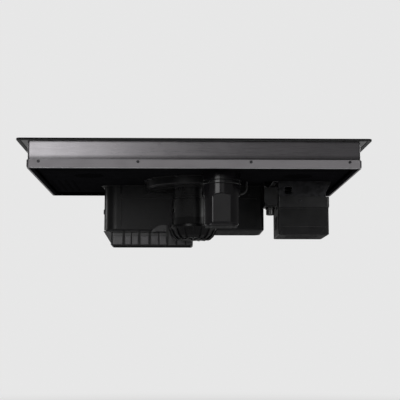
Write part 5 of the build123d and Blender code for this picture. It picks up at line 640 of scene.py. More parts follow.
# The blocks are the spigot's plastic painted about three times lighter: painted light on the pads' lower
# halves.
PAINTED_LIGHT_BLOCKS = Plastic("spigot_block_satin", (0.046, 0.0445, 0.047), roughness=0.33, relief=0.00001, wear=0.3,
                 wear_sheen_width=0.0007, wear_sheen_colour=grey(0.12), specular=0.4)
UNDERSIDE = Plastic("underside_matt_black", (0.0065, 0.0065, 0.007), roughness=0.6, stipple=1100.0,
                    relief=0.00003, wear=0.75, wear_sheen_width=0.0008, wear_sheen_colour=grey(0.035), specular=0.05)
WHEEL = Plastic("wheel_plastic_grey", (0.055, 0.058, 0.062), roughness=0.42, wear=0.2, dust=0.08)
DRUM = GlossPlastic("drum_gloss_black", (0.0025, 0.0025, 0.003), roughness=0.26, relief=0.00001,
                    wear=0.15, wear_sheen_colour=grey(0.08))
CAP = GlossPlastic("end_cap_gloss_black", (0.0018, 0.0018, 0.002), roughness=0.26, relief=0.00001,
                   wear=0.25, wear_sheen_colour=grey(0.08), specular=0.12)
TANK = GlossPlastic("tank_gloss_black", (0.0042, 0.0038, 0.0045), roughness=0.14, relief=0.00001,
                    wear=0.08, wear_sheen_colour=grey(0.06), specular=0.26)
RING = GlossPlastic("ring_plastic_black", (0.005, 0.005, 0.0055), roughness=0.16, relief=0.00001,
                    wear=0.35, wear_sheen_colour=grey(0.08), specular=0.28)
SLEEVE = GlossPlastic("sleeve_gloss_black", (0.002, 0.002, 0.0025), roughness=0.3, relief=0.00001,
                      wear=0.1, wear_sheen_colour=grey(0.06), specular=0.3)
LEAD = Plastic("lead_rubber_black", grey(0.014), stipple=1100.0)
CASE = Plastic("case_plastic_black", (0.0052, 0.0052, 0.0056), roughness=0.38, stipple=1200.0, wear=0.6,
               wear_sheen_width=0.0009, wear_sheen_colour=grey(0.11), specular=0.16)
LID = Plastic("lid_plastic_black", (0.008, 0.008, 0.0085), roughness=0.34, stipple=1400.0, wear=0.45,
              wear_sheen_colour=grey(0.07), specular=0.28)
COOLER = Plastic("cooler_plastic_matt", (0.0045, 0.0045, 0.005), roughness=0.55, stipple=1100.0, wear=0.2,
                 wear_sheen_colour=grey(0.03), specular=0.05)
CAN = Plastic("capacitor_sleeve_black", grey(0.016), roughness=0.3, stipple=800.0, relief=0.00001, wear=0.2)
UNDERCOAT = Enamel("undercoat_black", (0.0040, 0.0040, 0.0044), relief=0.00001, specular=0.0)
FOAM = Foam("lining_foam_charcoal", grey(0.05), roughness=0.9, relief=0.0006)
FERRITE = CastIron("ferrite_ceramic", (0.03, 0.03, 0.033), relief=0.00005)
CARRIER = Plastic("carrier_plastic_natural", (0.35, 0.33, 0.28))
TERMINAL = Plastic("terminal_plastic_white", (0.62, 0.62, 0.58), roughness=0.42)
MICA = Enamel("mica_mat_silver", (0.42, 0.38, 0.28), roughness=0.45, relief=0.00006, peel=320.0)
GREEN = Board("board_lacquer_green", (0.008, 0.045, 0.022), roughness=0.3, relief=0.00004)
INK = Print("fired_ink_grey", (0.46, 0.46, 0.47), roughness=0.55, relief=0.000004)

# metals
COPPER = Lacquered("winding_copper", (0.52, 0.19, 0.07), roughness=0.32, relief=0.00008)
LITZ = Lacquered("litz_copper", (0.48, 0.17, 0.06), roughness=0.36, relief=0.00012)
# The hem is the tray's steel about twice as light: a painted highlight along the rolled edge, besides the
# real one its round section catches.
HEM_PAINTED_HIGHLIGHT = Metal("hem_bright_edge", (0.42, 0.42, 0.43), roughness=0.26, relief=0.000004, wear=0.3,
            wear_sheen_colour=(0.6, 0.6, 0.61))
WIRE = Metal("wire_aluminium", (0.70, 0.71, 0.72), roughness=0.3, relief=0.000004, grain=Grain.ALONG_Y)
# The frame carries a band of painted shade above the tray.
BAND = FrameSteel("frame_dark_steel", (0.172, 0.165, 0.173), roughness=0.29, relief=0.0000008,
                  shades=(0.97, 1.03), wear=0.35, wear_sheen_colour=(0.42, 0.41, 0.42))
# The tray carries painted shade on upright faces inside its coated floor.
TRAY = TraySteel("tray_satin_steel", (0.205, 0.197, 0.205), roughness=0.58, relief=0.000004, specular=0.0,
                 shades=(0.93, 1.07), wear=0.55, wear_sheen_width=0.0009, wear_sheen_colour=(0.42, 0.41, 0.42))
DARK_SCREW = Metal("screw_black_oxide", (0.03, 0.03, 0.032), roughness=0.35, relief=0.000006, wear=0.5,
                   wear_sheen_colour=(0.25, 0.25, 0.26))
PIN = Metal("pin_black_oxide", (0.025, 0.025, 0.027), roughness=0.4, relief=0.000004)
SPRING = Metal("spring_steel_blued", (0.20, 0.19, 0.18), roughness=0.28, relief=0.000004, grain=Grain.ALONG_Z)
FILTER = Metal("filter_stainless", (0.56, 0.56, 0.55), roughness=0.26, relief=0.000006, wear=0.2,
               wear_sheen_colour=grey(0.75), grain=Grain.ALONG_Y)
MESH = Metal("mesh_drawn_aluminium", (0.68, 0.69, 0.70), roughness=0.34, relief=0.000004, grain=Grain.ALONG_Y)
CORE = Metal("core_lamination", (0.22, 0.22, 0.23), roughness=0.4)
SHAFT = Metal("shaft_ground_steel", (0.55, 0.55, 0.56), roughness=0.18, relief=0.000002)
ALUMINIUM = Metal("plate_rolled_aluminium", (0.72, 0.73, 0.74), roughness=0.3, relief=0.000005,
                  grain=Grain.ALONG_Y)
BRACKET = Zinc("bracket_dark_zinc", (0.030, 0.030, 0.032), roughness=0.4, relief=0.000008, wear=0.4,
               wear_sheen_colour=grey(0.45))


def dress(finish: Finish, *nodes: str) -> None:
    """Gives carried-over nodes a finish.

    Args:
        finish: the finish.
        nodes: names of the frame's nodes.
    """
    for name in nodes:
        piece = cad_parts[name]
        for slot in piece.material_slots:
            slot.material = finish.material()
    log.info("dressed %s as %s", ", ".join(nodes), finish.name)


def dress_all() -> None:
    """The finish of each carried-over node."""
    dress(GLASS, "glass_top")
    dress(SEAL, "rim_seal", "tank_ring")
    dress(BAND, "support_frame")
    dress(TRAY, "base_tray")
    dress(DARK_SCREW, "tray_screws", "blower_screws", "box_screws", "wheel_nut")
    dress(SPRING, "side_clips", "plate_springs")
    dress(BLACK_METAL, "intake_collar")
    dress(HOUSING, "intake_basin", "drain_spout", "volute_cover", "volute_wall", "blower_housing")
    dress(IRON, "intake_grille")
    dress(FILTER, "filter_cassette")
    dress(MESH, "filter_meshes")
    dress(WHEEL, "impeller")
    dress(FOAM, "plenum_lining")
    dress(SPIGOT, "duct_spigot")
    dress(SHAFT, "motor_rotor", "motor_bearings")
    dress(FLAP, "outlet_flap_front", "outlet_flap_rear")
    dress(DRUM, "motor_housing")
    dress(CAP, "motor_end_cap")
    dress(CORE, "stator")
    dress(COPPER, "stator_windings", "coil_windings")
    dress(LEAD, "motor_lead")
    dress(RING, "lock_ring")
    dress(TANK, "overflow_tank", "overflow_neck")
    dress(COOLER, "cooler_frame_left", "cooler_frame_right", "cooler_rotor_left", "cooler_rotor_right")
    dress(CAN, "board_parts", "cable_gland")
    dress(ALUMINIUM, "coil_plates", "heat_sinks")
    dress(FERRITE, "ferrite_bars")
    dress(MICA, "insulation_mats")
    dress(CARRIER, "coil_carriers", "plate_posts", "touch_carrier")
    dress(GREEN, "power_boards", "touch_board", "control_board")
    dress(TERMINAL, "zone_sensors", "terminal_block")
    dress(BRACKET, "control_bracket")
    dress(PIN, "flap_pin")
    dress(CASE, "control_case", "junction_box")
    dress(LID, "control_lid", "junction_cover")


# ---------------------------------------------------------------- mesh work


class Work:
    """A mesh in the making: shapes are added one by one, then it becomes one named piece."""

    def __init__(self, name: str) -> None:
        """Args:
            name: the piece's name.
        """
        self.name = name
        self.bm = bmesh.new()

    def skin(self, rows: Sequence[Sequence[Point | Vector]], closed: bool = False) -> None:
        """Covers rows of points with faces, all round.

        Args:
            rows: the rows, each a closed outline of as many points.
            closed: whether the last row joins the first. If not, both are closed with a face.
        """
        rings = [[self.bm.verts.new(point) for point in row] for row in rows]
        size = len(rings[0])
        for one, two in zip(rings, rings[1:] + (rings[:1] if closed else [])):
            for k in range(size):
                after = (k + 1) % size
                self.bm.faces.new((one[k], one[after], two[after], two[k]))
        if not closed:
            self.bm.faces.new(list(reversed(rings[0])))
            self.bm.faces.new(rings[-1])

    def block(self, corner: Point, opposite: Point, bevel: float, frame_at: Matrix | None = None) -> None:
        """Adds a block with rounded edges.

        Args:
            corner: one of its corners.
            opposite: the corner across from it.
            bevel: the rounding of its edges.
            frame_at: a frame that the corners are given in.
        """
        low, high = Vector(map(min, corner, opposite)), Vector(map(max, corner, opposite))
        made = bmesh.ops.create_cube(self.bm, size=1.0)["verts"]
        for vert in made:
            vert.co = (low + high) / 2 + Vector(c * s for c, s in zip(vert.co, high - low))
            if frame_at is not None:
                vert.co = frame_at @ vert.co
        edges = list({edge for vert in made for edge in vert.link_edges})
        bmesh.ops.bevel(self.bm, geom=edges, offset=bevel, segments=2, affect="EDGES", profile=0.5)

    def tube(self, path: Sequence[Vector], wide: float, high: float, sides: int,
             closed: bool = False) -> None:
        """Sweeps an oval along a path.

        Args:
            path: the points of its middle line.
            wide: half the oval's width, level with the ground.
            high: half its height.
            sides: how many sides the oval has.
            closed: whether the path's end meets its start.
        """
        count = len(path)
        rings = []
        side = Vector((0, 0, 0))
        for i, point in enumerate(path):
            before = path[i - 1] if closed or i else point
            after = path[(i + 1) % count] if closed or i < count - 1 else point
            along = (after - before).normalized()
            fresh = along.cross(UP)
            if fresh.length < 0.2:
                fresh = side - along * side.dot(along) if side.length else along.cross(EAST)
            side = fresh.normalized()
            up = side.cross(along).normalized()
            turns = [2 * math.pi * k / sides for k in range(sides)]
            rings.append([point + side * wide * math.cos(t) + up * high * math.sin(t) for t in turns])
        self.skin(rings, closed)

    def lathe(self, profile: Sequence[Flat], centre: Flat, start: float = 0.0, end: float = 360.0,
              steps: int = 96) -> None:
        """Turns a closed outline round an upright axis.

        Args:
            profile: radius and height of its corners.
            centre: where the axis stands.
            start: where the turn begins, in degrees.
            end: where it ends.
            steps: how many steps it takes.
        """
        whole = end - start >= 360.0
        rings = []
        for i in range(steps if whole else steps + 1):
            turn = math.radians(start + (end - start) * i / steps)
            c, s = math.cos(turn), math.sin(turn)
            rings.append([(centre[0] + r * c, centre[1] + r * s, z) for r, z in profile])
        self.skin(rings, whole)

    def ribbon(self, points: Sequence[Flat], width: float, low: float, high: float,
               closed: bool = False) -> None:
        """Lays a thin flat line on a level surface, mitred at its corners.

        Args:
            points: its middle line.
            width: its width.
            low: the height of its underside.
            high: the height of its top.
            closed: whether it is a loop.
        """
        count = len(points)
        rows = []
        for i, (x, y) in enumerate(points):
            here = Vector((x, y))
            before = Vector(points[i - 1]) if closed or i else here
            after = Vector(points[(i + 1) % count]) if closed or i < count - 1 else here
            one = (here - before).normalized() if (here - before).length else (after - here).normalized()
            two = (after - here).normalized() if (after - here).length else one
            normal = Vector((-one.y, one.x))
            mitre = (normal + Vector((-two.y, two.x))).normalized()
            reach = width / 2 / max(mitre.dot(normal), 0.3)
            left, right = here + mitre * reach, here - mitre * reach
            rows.append([(*left, high), (*right, high), (*right, low), (*left, low)])
        self.skin(rows, closed)

    def plate(self, outline: Sequence[Flat], surface: float) -> None:
        """Adds a thin level plate under a surface.

        Args:
            outline: its outline, anticlockwise.
            surface: the surface's height.
        """
        self.skin([[(x, y, surface + offset) for x, y in outline] for offset in PLATE])

    def relief(self, origin: Vector, across: Vector, along: Vector, up: Vector, steps: tuple[int, int],
               height: Callable[[float, float], float]) -> None:
        """Adds a closed pad with a flat back and a shaped face.

        Args:
            origin: a corner of its back.
            across: the back's first edge.
            along: the back's second edge.
            up: the direction in which the face stands off the back.
            steps: how many cells each edge has.
            height: the face's height over the back, for a place given as two shares.
        """
        m, n = steps
        face = [[self.bm.verts.new(origin + across * (i / m) + along * (j / n) + up * height(i / m, j / n))
                 for j in range(n + 1)] for i in range(m + 1)]
        for i in range(m):
            for j in range(n):
                self.bm.faces.new((face[i][j], face[i + 1][j], face[i + 1][j + 1], face[i][j + 1]))
        rim = [face[i][0] for i in range(m)] + [face[m][j] for j in range(n)]
        rim += [face[i][n] for i in range(m, 0, -1)] + [face[0][j] for j in range(n, 0, -1)]
        foot = [self.bm.verts.new(v.co - up * (v.co - origin).dot(up)) for v in rim]
        for k in range(len(rim)):
            after = (k + 1) % len(rim)
            self.bm.faces.new((rim[k], foot[k], foot[after], rim[after]))
        self.bm.faces.new(foot)

    def text(self, words: str, size: float, x: float, y: float, z: float, thickness: float) -> None:
        """Adds plain figures, lying flat.

        Args:
            words: the figures.
            size: their height.
            x: where their middle is.
            y: where their foot is.
            z: the height of their underside.
            thickness: how thick the ink is.
        """
        curve = bpy.data.curves.new(self.name + "_figures", "FONT")
        curve.body = words
        curve.size = size
        curve.align_x = "CENTER"
        curve.extrude = thickness / 2
        curve.resolution_u = 4
        scratch = bpy.data.objects.new(self.name + "_figures", curve)
        mesh = bpy.data.meshes.new_from_object(scratch)
        before = len(self.bm.verts)
        self.bm.from_mesh(mesh)
        self.bm.verts.ensure_lookup_table()
        for vert in self.bm.verts[before:]:
            vert.co += Vector((x, y, z + thickness / 2))
        bpy.data.objects.remove(scratch)
        bpy.data.curves.remove(curve)
        bpy.data.meshes.remove(mesh)

    def done(self, finish: Finish, body: str, slot: str, *stands_for: str,
             smooth: float = 38.0) -> bpy.types.Object:
        """Turns the shapes into a piece.

        Args:
            finish: its finish.
            body: the body that it rides on.
            slot: the record's slot for its finish; not used.
            stands_for: nodes that it replaces.
            smooth: the angle in degrees over which an edge stays sharp.

        Returns:
            The piece.
        """
        bmesh.ops.recalc_face_normals(self.bm, faces=self.bm.faces)
        mesh = bpy.data.meshes.new(self.name)
        self.bm.to_mesh(mesh)
        self.bm.free()
        mesh.polygons.foreach_set("use_smooth", [True] * len(mesh.polygons))
        mesh.set_sharp_from_angle(angle=math.radians(smooth))
        mesh.materials.append(finish.material())
        piece = bpy.data.objects.new(self.name, mesh)
        bpy.context.scene.collection.objects.link(piece)
        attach(piece, body)
        if stands_for:
            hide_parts(*stands_for)
        log.info("built %s with %d faces, riding on %s", self.name, len(mesh.polygons), body)
        return piece


def solids_of(node: str) -> list[Box]:
    """The boxes of a node's separate solids.

    Args:
        node: the node's name.

    Returns:
        The lowest and highest corner of each.
    """
    bm = bmesh.new()
    bm.from_mesh(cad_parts[node].data)
    bmesh.ops.remove_doubles(bm, verts=bm.verts, dist=1e-6)
    left = set(bm.verts)
    boxes = []
    while left:
        low = Vector((1e9, 1e9, 1e9))
        high = -low
        waiting = [left.pop()]
        while waiting:
            vert = waiting.pop()
            low = Vector(map(min, low, vert.co))
            high = Vector(map(max, high, vert.co))
            for edge in vert.link_edges:
                other = edge.other_vert(vert)
                if other in left:
                    left.remove(other)
                    waiting.append(other)
        boxes.append((low, high))
    bm.free()
    return sorted(boxes, key=lambda box: tuple(round(c, 5) for c in box[0]))


def middle_of(low: Vector, high: Vector) -> Flat:
    """The middle of a box, seen from above."""
    return ((low.x + high.x) / 2, (low.y + high.y) / 2)


def turned(centre: Flat, degrees: float, z: float = 0.0) -> Matrix:
    """A frame on an upright axis, turned about it."""
    return Matrix.Translation((*centre, z)) @ Matrix.Rotation(math.radians(degrees), 4, "Z")


def on_circle(centre: Flat, radius: float, turn: float) -> Flat:
    """A point on a circle, at a turn in radians."""
    return (centre[0] + radius * math.cos(turn), centre[1] + radius * math.sin(turn))


def rounded_loop(half_x: float, half_y: float, corner: float, count: int,
                 middle: Flat = (0.0, 0.0)) -> list[Flat]:
    """Evenly spread points of a rounded rectangle.

    Args:
        half_x: half its width.
        half_y: half its depth.
        corner: its corner radius.
        count: how many points.
        middle: where its middle is.

    Returns:
        The points, anticlockwise from the middle of the right side.
    """
    run_x, run_y, arc = 2 * (half_x - corner), 2 * (half_y - corner), corner * math.pi / 2
    sides = [("arc", arc), ("line", run_x), ("arc", arc), ("line", run_y), ("arc", arc), ("line", run_x)]
    pieces = [("line", run_y / 2), *sides, ("arc", arc), ("line", run_y / 2)]
    total = sum(length for _, length in pieces)
    points = []
    for i in range(count):
        rest = total * i / count
        place, heading = Vector((half_x, 0.0)), math.pi / 2
        for kind, length in pieces:
            step = min(rest, length)
            if kind == "line":
                place = place + Vector((math.cos(heading), math.sin(heading))) * step
            elif corner > 0:
                pivot = place + Vector((-math.sin(heading), math.cos(heading))) * corner
                heading += step / corner
                place = pivot + Vector((math.sin(heading), -math.cos(heading))) * corner
            rest -= step
            if rest <= 0:
                break
        points.append((middle[0] + place.x, middle[1] + place.y))
    return points


# ---------------------------------------------------------------- sub-assemblies


@dataclass
class CooktopFace:
    """What is printed on the glass: a mark for each zone and the touch controls."""

    top: float = 0.0
    ink: float = 0.00004
    line: float = 0.0012
    bracket: float = 0.042
    bend: float = 0.010
    dash: float = 0.020
    cross: float = 0.016
    inset: float = 0.004
    key_y: float = -0.2118
    key_line: float = 0.0006
    slider_x: float = 0.094
    slider_reach: float = 0.056
    ticks: int = 18
    tick_high: Flat = (0.0042, 0.0024)
    tick_line: float = 0.0007
    figure: float = 0.00527
    figure_drop: float = 0.0068
    sign_at: Flat = (0.022, 0.0125)
    sign_half: Flat = (0.0042, 0.0036)
    sign_corner: float = 0.0008
    sign_line: float = 0.0004
    sign_bar: Flat = (0.0011, 0.0012)
    power_radius: float = 0.0036
    power_arc: Flat = (125.0, 290.0)
    power_stroke: Flat = (0.35, 1.35)
    power_rise: float = 0.006
    timer_x: float = 0.017
    reach: float = 0.0022

    def build(self) -> None:
        """Prints the marks."""
        self.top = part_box("glass_top")[1].z
        marks = Work("zone_marks")
        zones = solids_of("coil_windings")
        for side in SIDES:
            self.outline(marks, [z for z in zones if (z[0].x + z[1].x) * side > 0])
        for zone in zones:
            self.cross_mark(marks, *middle_of(*zone))
        marks.done(INK, "chassis", "glass_ceramic", smooth=20.0)
        keys = Work("touch_marks")
        for side in SIDES:
            self.slider(keys, side * self.slider_x)
        self.power_key(keys)
        self.plus_minus(keys)
        keys.done(INK, "chassis", "glass_ceramic", smooth=20.0)

    def stroke(self, work: Work, width: float, *points: Flat, closed: bool = False) -> None:
        """Prints one line on the glass.

        Args:
            work: the mesh that is added to.
            width: the line's width.
            points: its middle line.
            closed: whether it is a loop.
        """
        work.ribbon(points, width, self.top, self.top + self.ink, closed)

    def outline(self, marks: Work, pair: list[Box]) -> None:
        """Corner brackets round two zones that can be joined, and a short dash between them.

        Args:
            marks: the mesh that is added to.
            pair: the two coils' boxes.
        """
        low = Vector(map(min, *(z[0] for z in pair)))
        high = Vector(map(max, *(z[1] for z in pair)))
        middle = (low + high) / 2
        half_x = (high.x - low.x) / 2 - self.inset
        half_y = (high.y - low.y) / 2 - self.inset
        for sx in SIDES:
            x = middle.x + sx * half_x
            for sy in SIDES:
                y = middle.y + sy * half_y
                points = [(x - sx * self.bracket, y)]
                for step in range(9):
                    turn = math.pi / 2 * step / 8
                    points.append((x - sx * self.bend * (1 - math.sin(turn)),
                                   y - sy * self.bend * (1 - math.cos(turn))))
                points.append((x, y - sy * self.bracket))
                self.stroke(marks, self.line, *points)
            self.stroke(marks, self.line, (x - sx * self.dash, middle.y), (x, middle.y))

    def cross_mark(self, marks: Work, x: float, y: float) -> None:
        """The small cross over a coil's middle."""
        reach = self.cross / 2
        self.stroke(marks, self.line, (x - reach, y), (x + reach, y))
        for s in SIDES:
            self.stroke(marks, self.line, (x, y + s * self.line / 2), (x, y + s * reach))

    def slider(self, keys: Work, x: float) -> None:
        """A slide control with its ticks and figures, and the zone signs over it.

        Args:
            keys: the mesh that is added to.
            x: the middle of the slide.
        """
        for step in range(self.ticks + 1):
            at = x - self.slider_reach + 2 * self.slider_reach * step / self.ticks
            self.stroke(keys, self.tick_line, (at, self.key_y), (at, self.key_y + self.tick_high[step % 2]))
            if step % 2 == 0:
                keys.text(str(step // 2), self.figure, at, self.key_y - self.figure_drop, self.top, self.ink)
        for side in SIDES:
            middle = (x + side * self.sign_at[0], self.key_y + self.sign_at[1])
            loop = rounded_loop(*self.sign_half, self.sign_corner, 28, middle)
            self.stroke(keys, self.sign_line, *loop, closed=True)
            width, rise = self.sign_bar
            y = middle[1] + side * rise
            self.stroke(keys, width, (middle[0] - self.reach, y), (middle[0] + self.reach, y))

    def power_key(self, keys: Work) -> None:
        """The ring and stroke of the main switch."""
        middle = (0.0, self.key_y + self.power_rise)
        start, sweep = self.power_arc
        ring = [on_circle(middle, self.power_radius, math.radians(start + sweep * step / 32))
                for step in range(33)]
        self.stroke(keys, self.key_line, *ring)
        ends = [(middle[0], middle[1] + self.power_radius * share) for share in self.power_stroke]
        self.stroke(keys, self.key_line, *ends)

    def plus_minus(self, keys: Work) -> None:
        """The plus and minus of the timer, either side of the main switch."""
        y, reach = self.key_y + self.power_rise, self.reach
        for side in SIDES:
            x = side * self.timer_x
            self.stroke(keys, self.key_line, (x - reach, y), (x + reach, y))
        for s in SIDES:
            ends = [(self.timer_x, y + s * rise) for rise in (self.key_line / 2, reach)]
            self.stroke(keys, self.key_line, *ends)


@dataclass
class Pan:
    """The pan's sheet-metal details: hem, lapped corners, stiffening beads and louvres."""

    hem: float = 0.0007
    hem_corner: float = 0.0025
    lap: float = 0.014
    lap_thick: float = 0.0004
    lap_gap: float = 0.0012
    lap_foot: float = 0.003
    recess: float = 0.008
    bead_wide: float = 0.0035
    bead_high: float = 0.0011
    bead_lift: float = 0.00002
    bead_ends: tuple[float, ...] = (0.0, 0.004, 0.012)
    front_beads: Flat = (0.150, 0.365)
    front_bead_y: Flat = (-0.222, 0.016)
    left_beads: Flat = (0.005, 0.215)
    left_bead_x: Flat = (-0.365, 0.018)
    louvre_long: float = 0.030
    louvre_pitch: float = 0.00715
    louvre_high: float = 0.0042
    louvre_out: float = 0.0016
    rear_louvres: tuple[float, ...] = (-0.30, -0.255, 0.235, 0.28)
    side_louvres: tuple[float, ...] = (-0.075, -0.03, 0.03, 0.075)

    def build(self) -> None:
        """Makes the pan's details."""
        low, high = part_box("base_tray")
        self.hem_line(low, high)
        self.corner_seams(low, high)
        self.beads(low)
        self.louvres(low, high)

    def hem_line(self, low: Vector, high: Vector) -> None:
        """The rolled lower edge, all round."""
        work = Work("tray_hem")
        inset, tall = self.hem * 0.75, self.hem * 0.9
        loop = rounded_loop(high.x - inset, high.y - inset, self.hem_corner, 240)
        work.tube([Vector((x, y, low.z + tall)) for x, y in loop], self.hem, tall, 8, closed=True)
        # The hem's finish carries a painted highlight.
        work.done(HEM_PAINTED_HIGHLIGHT, "chassis", "tray_steel")

    def corner_seams(self, low: Vector, high: Vector) -> None:
        """The lapped sheet at each upright corner."""
        work = Work("corner_laps")
        for sx in SIDES:
            for sy in SIDES:
                x, y = sx * high.x, sy * high.y
                work.block((x, y - sy * self.lap_gap, low.z + self.lap_foot),
                           (x + sx * self.lap_thick, y - sy * self.lap, high.z - self.lap_gap), 0.00018)
        work.done(TRAY, "chassis", "tray_steel")

    def beads(self, low: Vector) -> None:
        """Stiffening beads pressed into the underside, clear of what hangs there."""
        work = Work("floor_beads")
        runs = []
        for k in range(5):
            y = self.front_bead_y[0] + self.front_bead_y[1] * k
            inner, outer = self.front_beads
            runs += [((-outer, y), (-inner, y)), ((inner, y), (outer, y))]
        for k in range(4):
            x = self.left_bead_x[0] + self.left_bead_x[1] * k
            runs.append(tuple((x, y) for y in self.left_beads))
        for ends in runs:
            a, b = (Vector((*end, low.z + self.recess)) for end in ends)
            along = (b - a).normalized()
            shares = [(at, max(at / self.bead_ends[-1], 0.02)) for at in self.bead_ends]
            path = [(a + along * at, share) for at, share in shares]
            path += [(b - along * at, share) for at, share in reversed(shares)]
            self.bead(work, path, along)
        work.done(UNDERCOAT, "chassis", "tray_steel", smooth=60.0)

    def bead(self, work: Work, path: list[tuple[Vector, float]], along: Vector) -> None:
        """One bead, rounded in section and tapered at its ends.

        Args:
            work: the mesh that is added to.
            path: points and the share of full height at each.
            along: the bead's direction.
        """
        side = Vector((-along.y, along.x, 0.0))
        rows = []
        for point, share in path:
            wide = self.bead_wide * (0.35 + 0.65 * share)
            row = []
            for step in range(7):
                turn = math.pi * step / 6
                drop = self.bead_high * share * math.sin(turn) + self.bead_lift
                row.append(point + side * wide * math.cos(turn) - UP * drop)
            rows.append(row)
        work.skin(rows)

    def louvres(self, low: Vector, high: Vector) -> None:
        """Rows of louvres that vent the pan at its rear and both sides."""
        work = Work("wall_louvres")
        z = (low.z + high.z) / 2
        for x in self.rear_louvres:
            self.louvre_row(work, Vector((x, high.y, z)), EAST, NORTH)
        for sx in SIDES:
            for y in self.side_louvres:
                self.louvre_row(work, Vector((sx * high.x, y, z)), NORTH, EAST * sx)
        work.done(TRAY, "chassis", "tray_steel", smooth=50.0)

    def louvre_row(self, work: Work, middle: Vector, along: Vector, out: Vector) -> None:
        """Two louvres over each other.

        Args:
            work: the mesh that is added to.
            middle: the middle of the row, on the wall.
            along: the wall's level direction.
            out: the wall's outward direction.
        """
        for level in (-0.5, 0.5):
            foot = middle + UP * (level * self.louvre_pitch)
            rows = []
            for step in range(13):
                share = step / 12
                swell = self.louvre_out * max(math.sin(math.pi * share), 0.0002) ** 0.45
                place = foot + along * self.louvre_long * (share - 0.5)
                row = []
                for k in range(6):
                    turn = math.pi / 2 * k / 5
                    row.append(place + out * (swell * math.sin(turn))
                               + UP * (self.louvre_high * (math.cos(turn) - 0.5)))
                rows.append(row + [place - UP * (self.louvre_high * 0.5)])
            work.skin(rows)


@dataclass(frozen=True)
class Slope:
    """The sloping middle plane of one mesh panel.

    The origin is the middle of its lower edge. From there across runs up the slope, for the length
    of the run, and up is the panel's normal. The panel's own length is along Y.
    """

    origin: Vector
    across: Vector
    up: Vector
    run: float
    length: float

    def at(self, u: float, v: float, lift: float) -> Vector:
        """The point that is u up the slope, v along the panel and a lift off it."""
        return self.origin + self.across * u + NORTH * v + self.up * lift


@dataclass
class Intake:
    """The grease filter's woven wire panels."""

    start: float = 0.001176
    tilt_deg: float = 15.0
    thick: float = 0.003
    pitch: float = 0.0031
    wire: float = 0.00042
    wave: float = 0.00046
    rim: float = 0.0022
    rim_bevel: float = 0.0004

    def build(self) -> None:
        """Weaves both panels and folds their edging."""
        low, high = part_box("filter_meshes")
        work = Work("wire_panels")
        edge = Work("panel_rims")
        tilt = math.radians(self.tilt_deg)
        run = (high.x - self.start) / math.cos(tilt)
        for side in SIDES:
            across = Vector((side * math.cos(tilt), 0, math.sin(tilt)))
            up = Vector((-side * math.sin(tilt), 0, math.cos(tilt)))
            origin = Vector((side * self.start, 0, low.z)) + up * self.thick / 2
            slope = Slope(origin, across, up, run, high.y - low.y)
            self.weave(work, slope)
            self.frame_rim(edge, slope)
        work.done(WIRE, "filter", "mesh_aluminium", "filter_meshes", smooth=70.0)
        edge.done(FILTER, "filter", "filter_steel")

    def weave(self, work: Work, slope: Slope) -> None:
        """Wires over and under each other.

        Args:
            work: the mesh that is added to.
            slope: the panel's plane.
        """
        columns = int((slope.run - 2 * self.rim) / self.pitch)
        rows = int((slope.length - 2 * self.rim) / self.pitch)
        first_u = (slope.run - (columns - 1) * self.pitch) / 2
        first_v = -(rows - 1) * self.pitch / 2
        for i in range(columns):
            u = first_u + i * self.pitch
            work.tube([slope.at(u, first_v + j * self.pitch / 2, math.cos(math.pi * (j / 2 + i)) * self.wave)
                       for j in range(rows * 2 - 1)], self.wire, self.wire, 4)
        for j in range(rows):
            v = first_v + j * self.pitch
            work.tube([slope.at(first_u + i * self.pitch / 2, v, -math.cos(math.pi * (i / 2 + j)) * self.wave)
                       for i in range(columns * 2 - 1)], self.wire, self.wire, 4)

    def frame_rim(self, work: Work, slope: Slope) -> None:
        """The folded edging that holds the wires.

        Args:
            work: the mesh that is added to.
            slope: the panel's plane.
        """
        at = Matrix((slope.across, NORTH, slope.up)).transposed().to_4x4()
        at.translation = slope.origin
        half, t, rim, run = slope.length / 2, self.thick / 2, self.rim, slope.run
        for low, high in (
            ((0.0, -half), (rim, half)),
            ((run - rim, -half), (run, half)),
            ((rim, -half), (run - rim, -half + rim)),
            ((rim, half - rim), (run - rim, half)),
        ):
            work.block((*low, -t), (*high, t), self.rim_bevel, at)


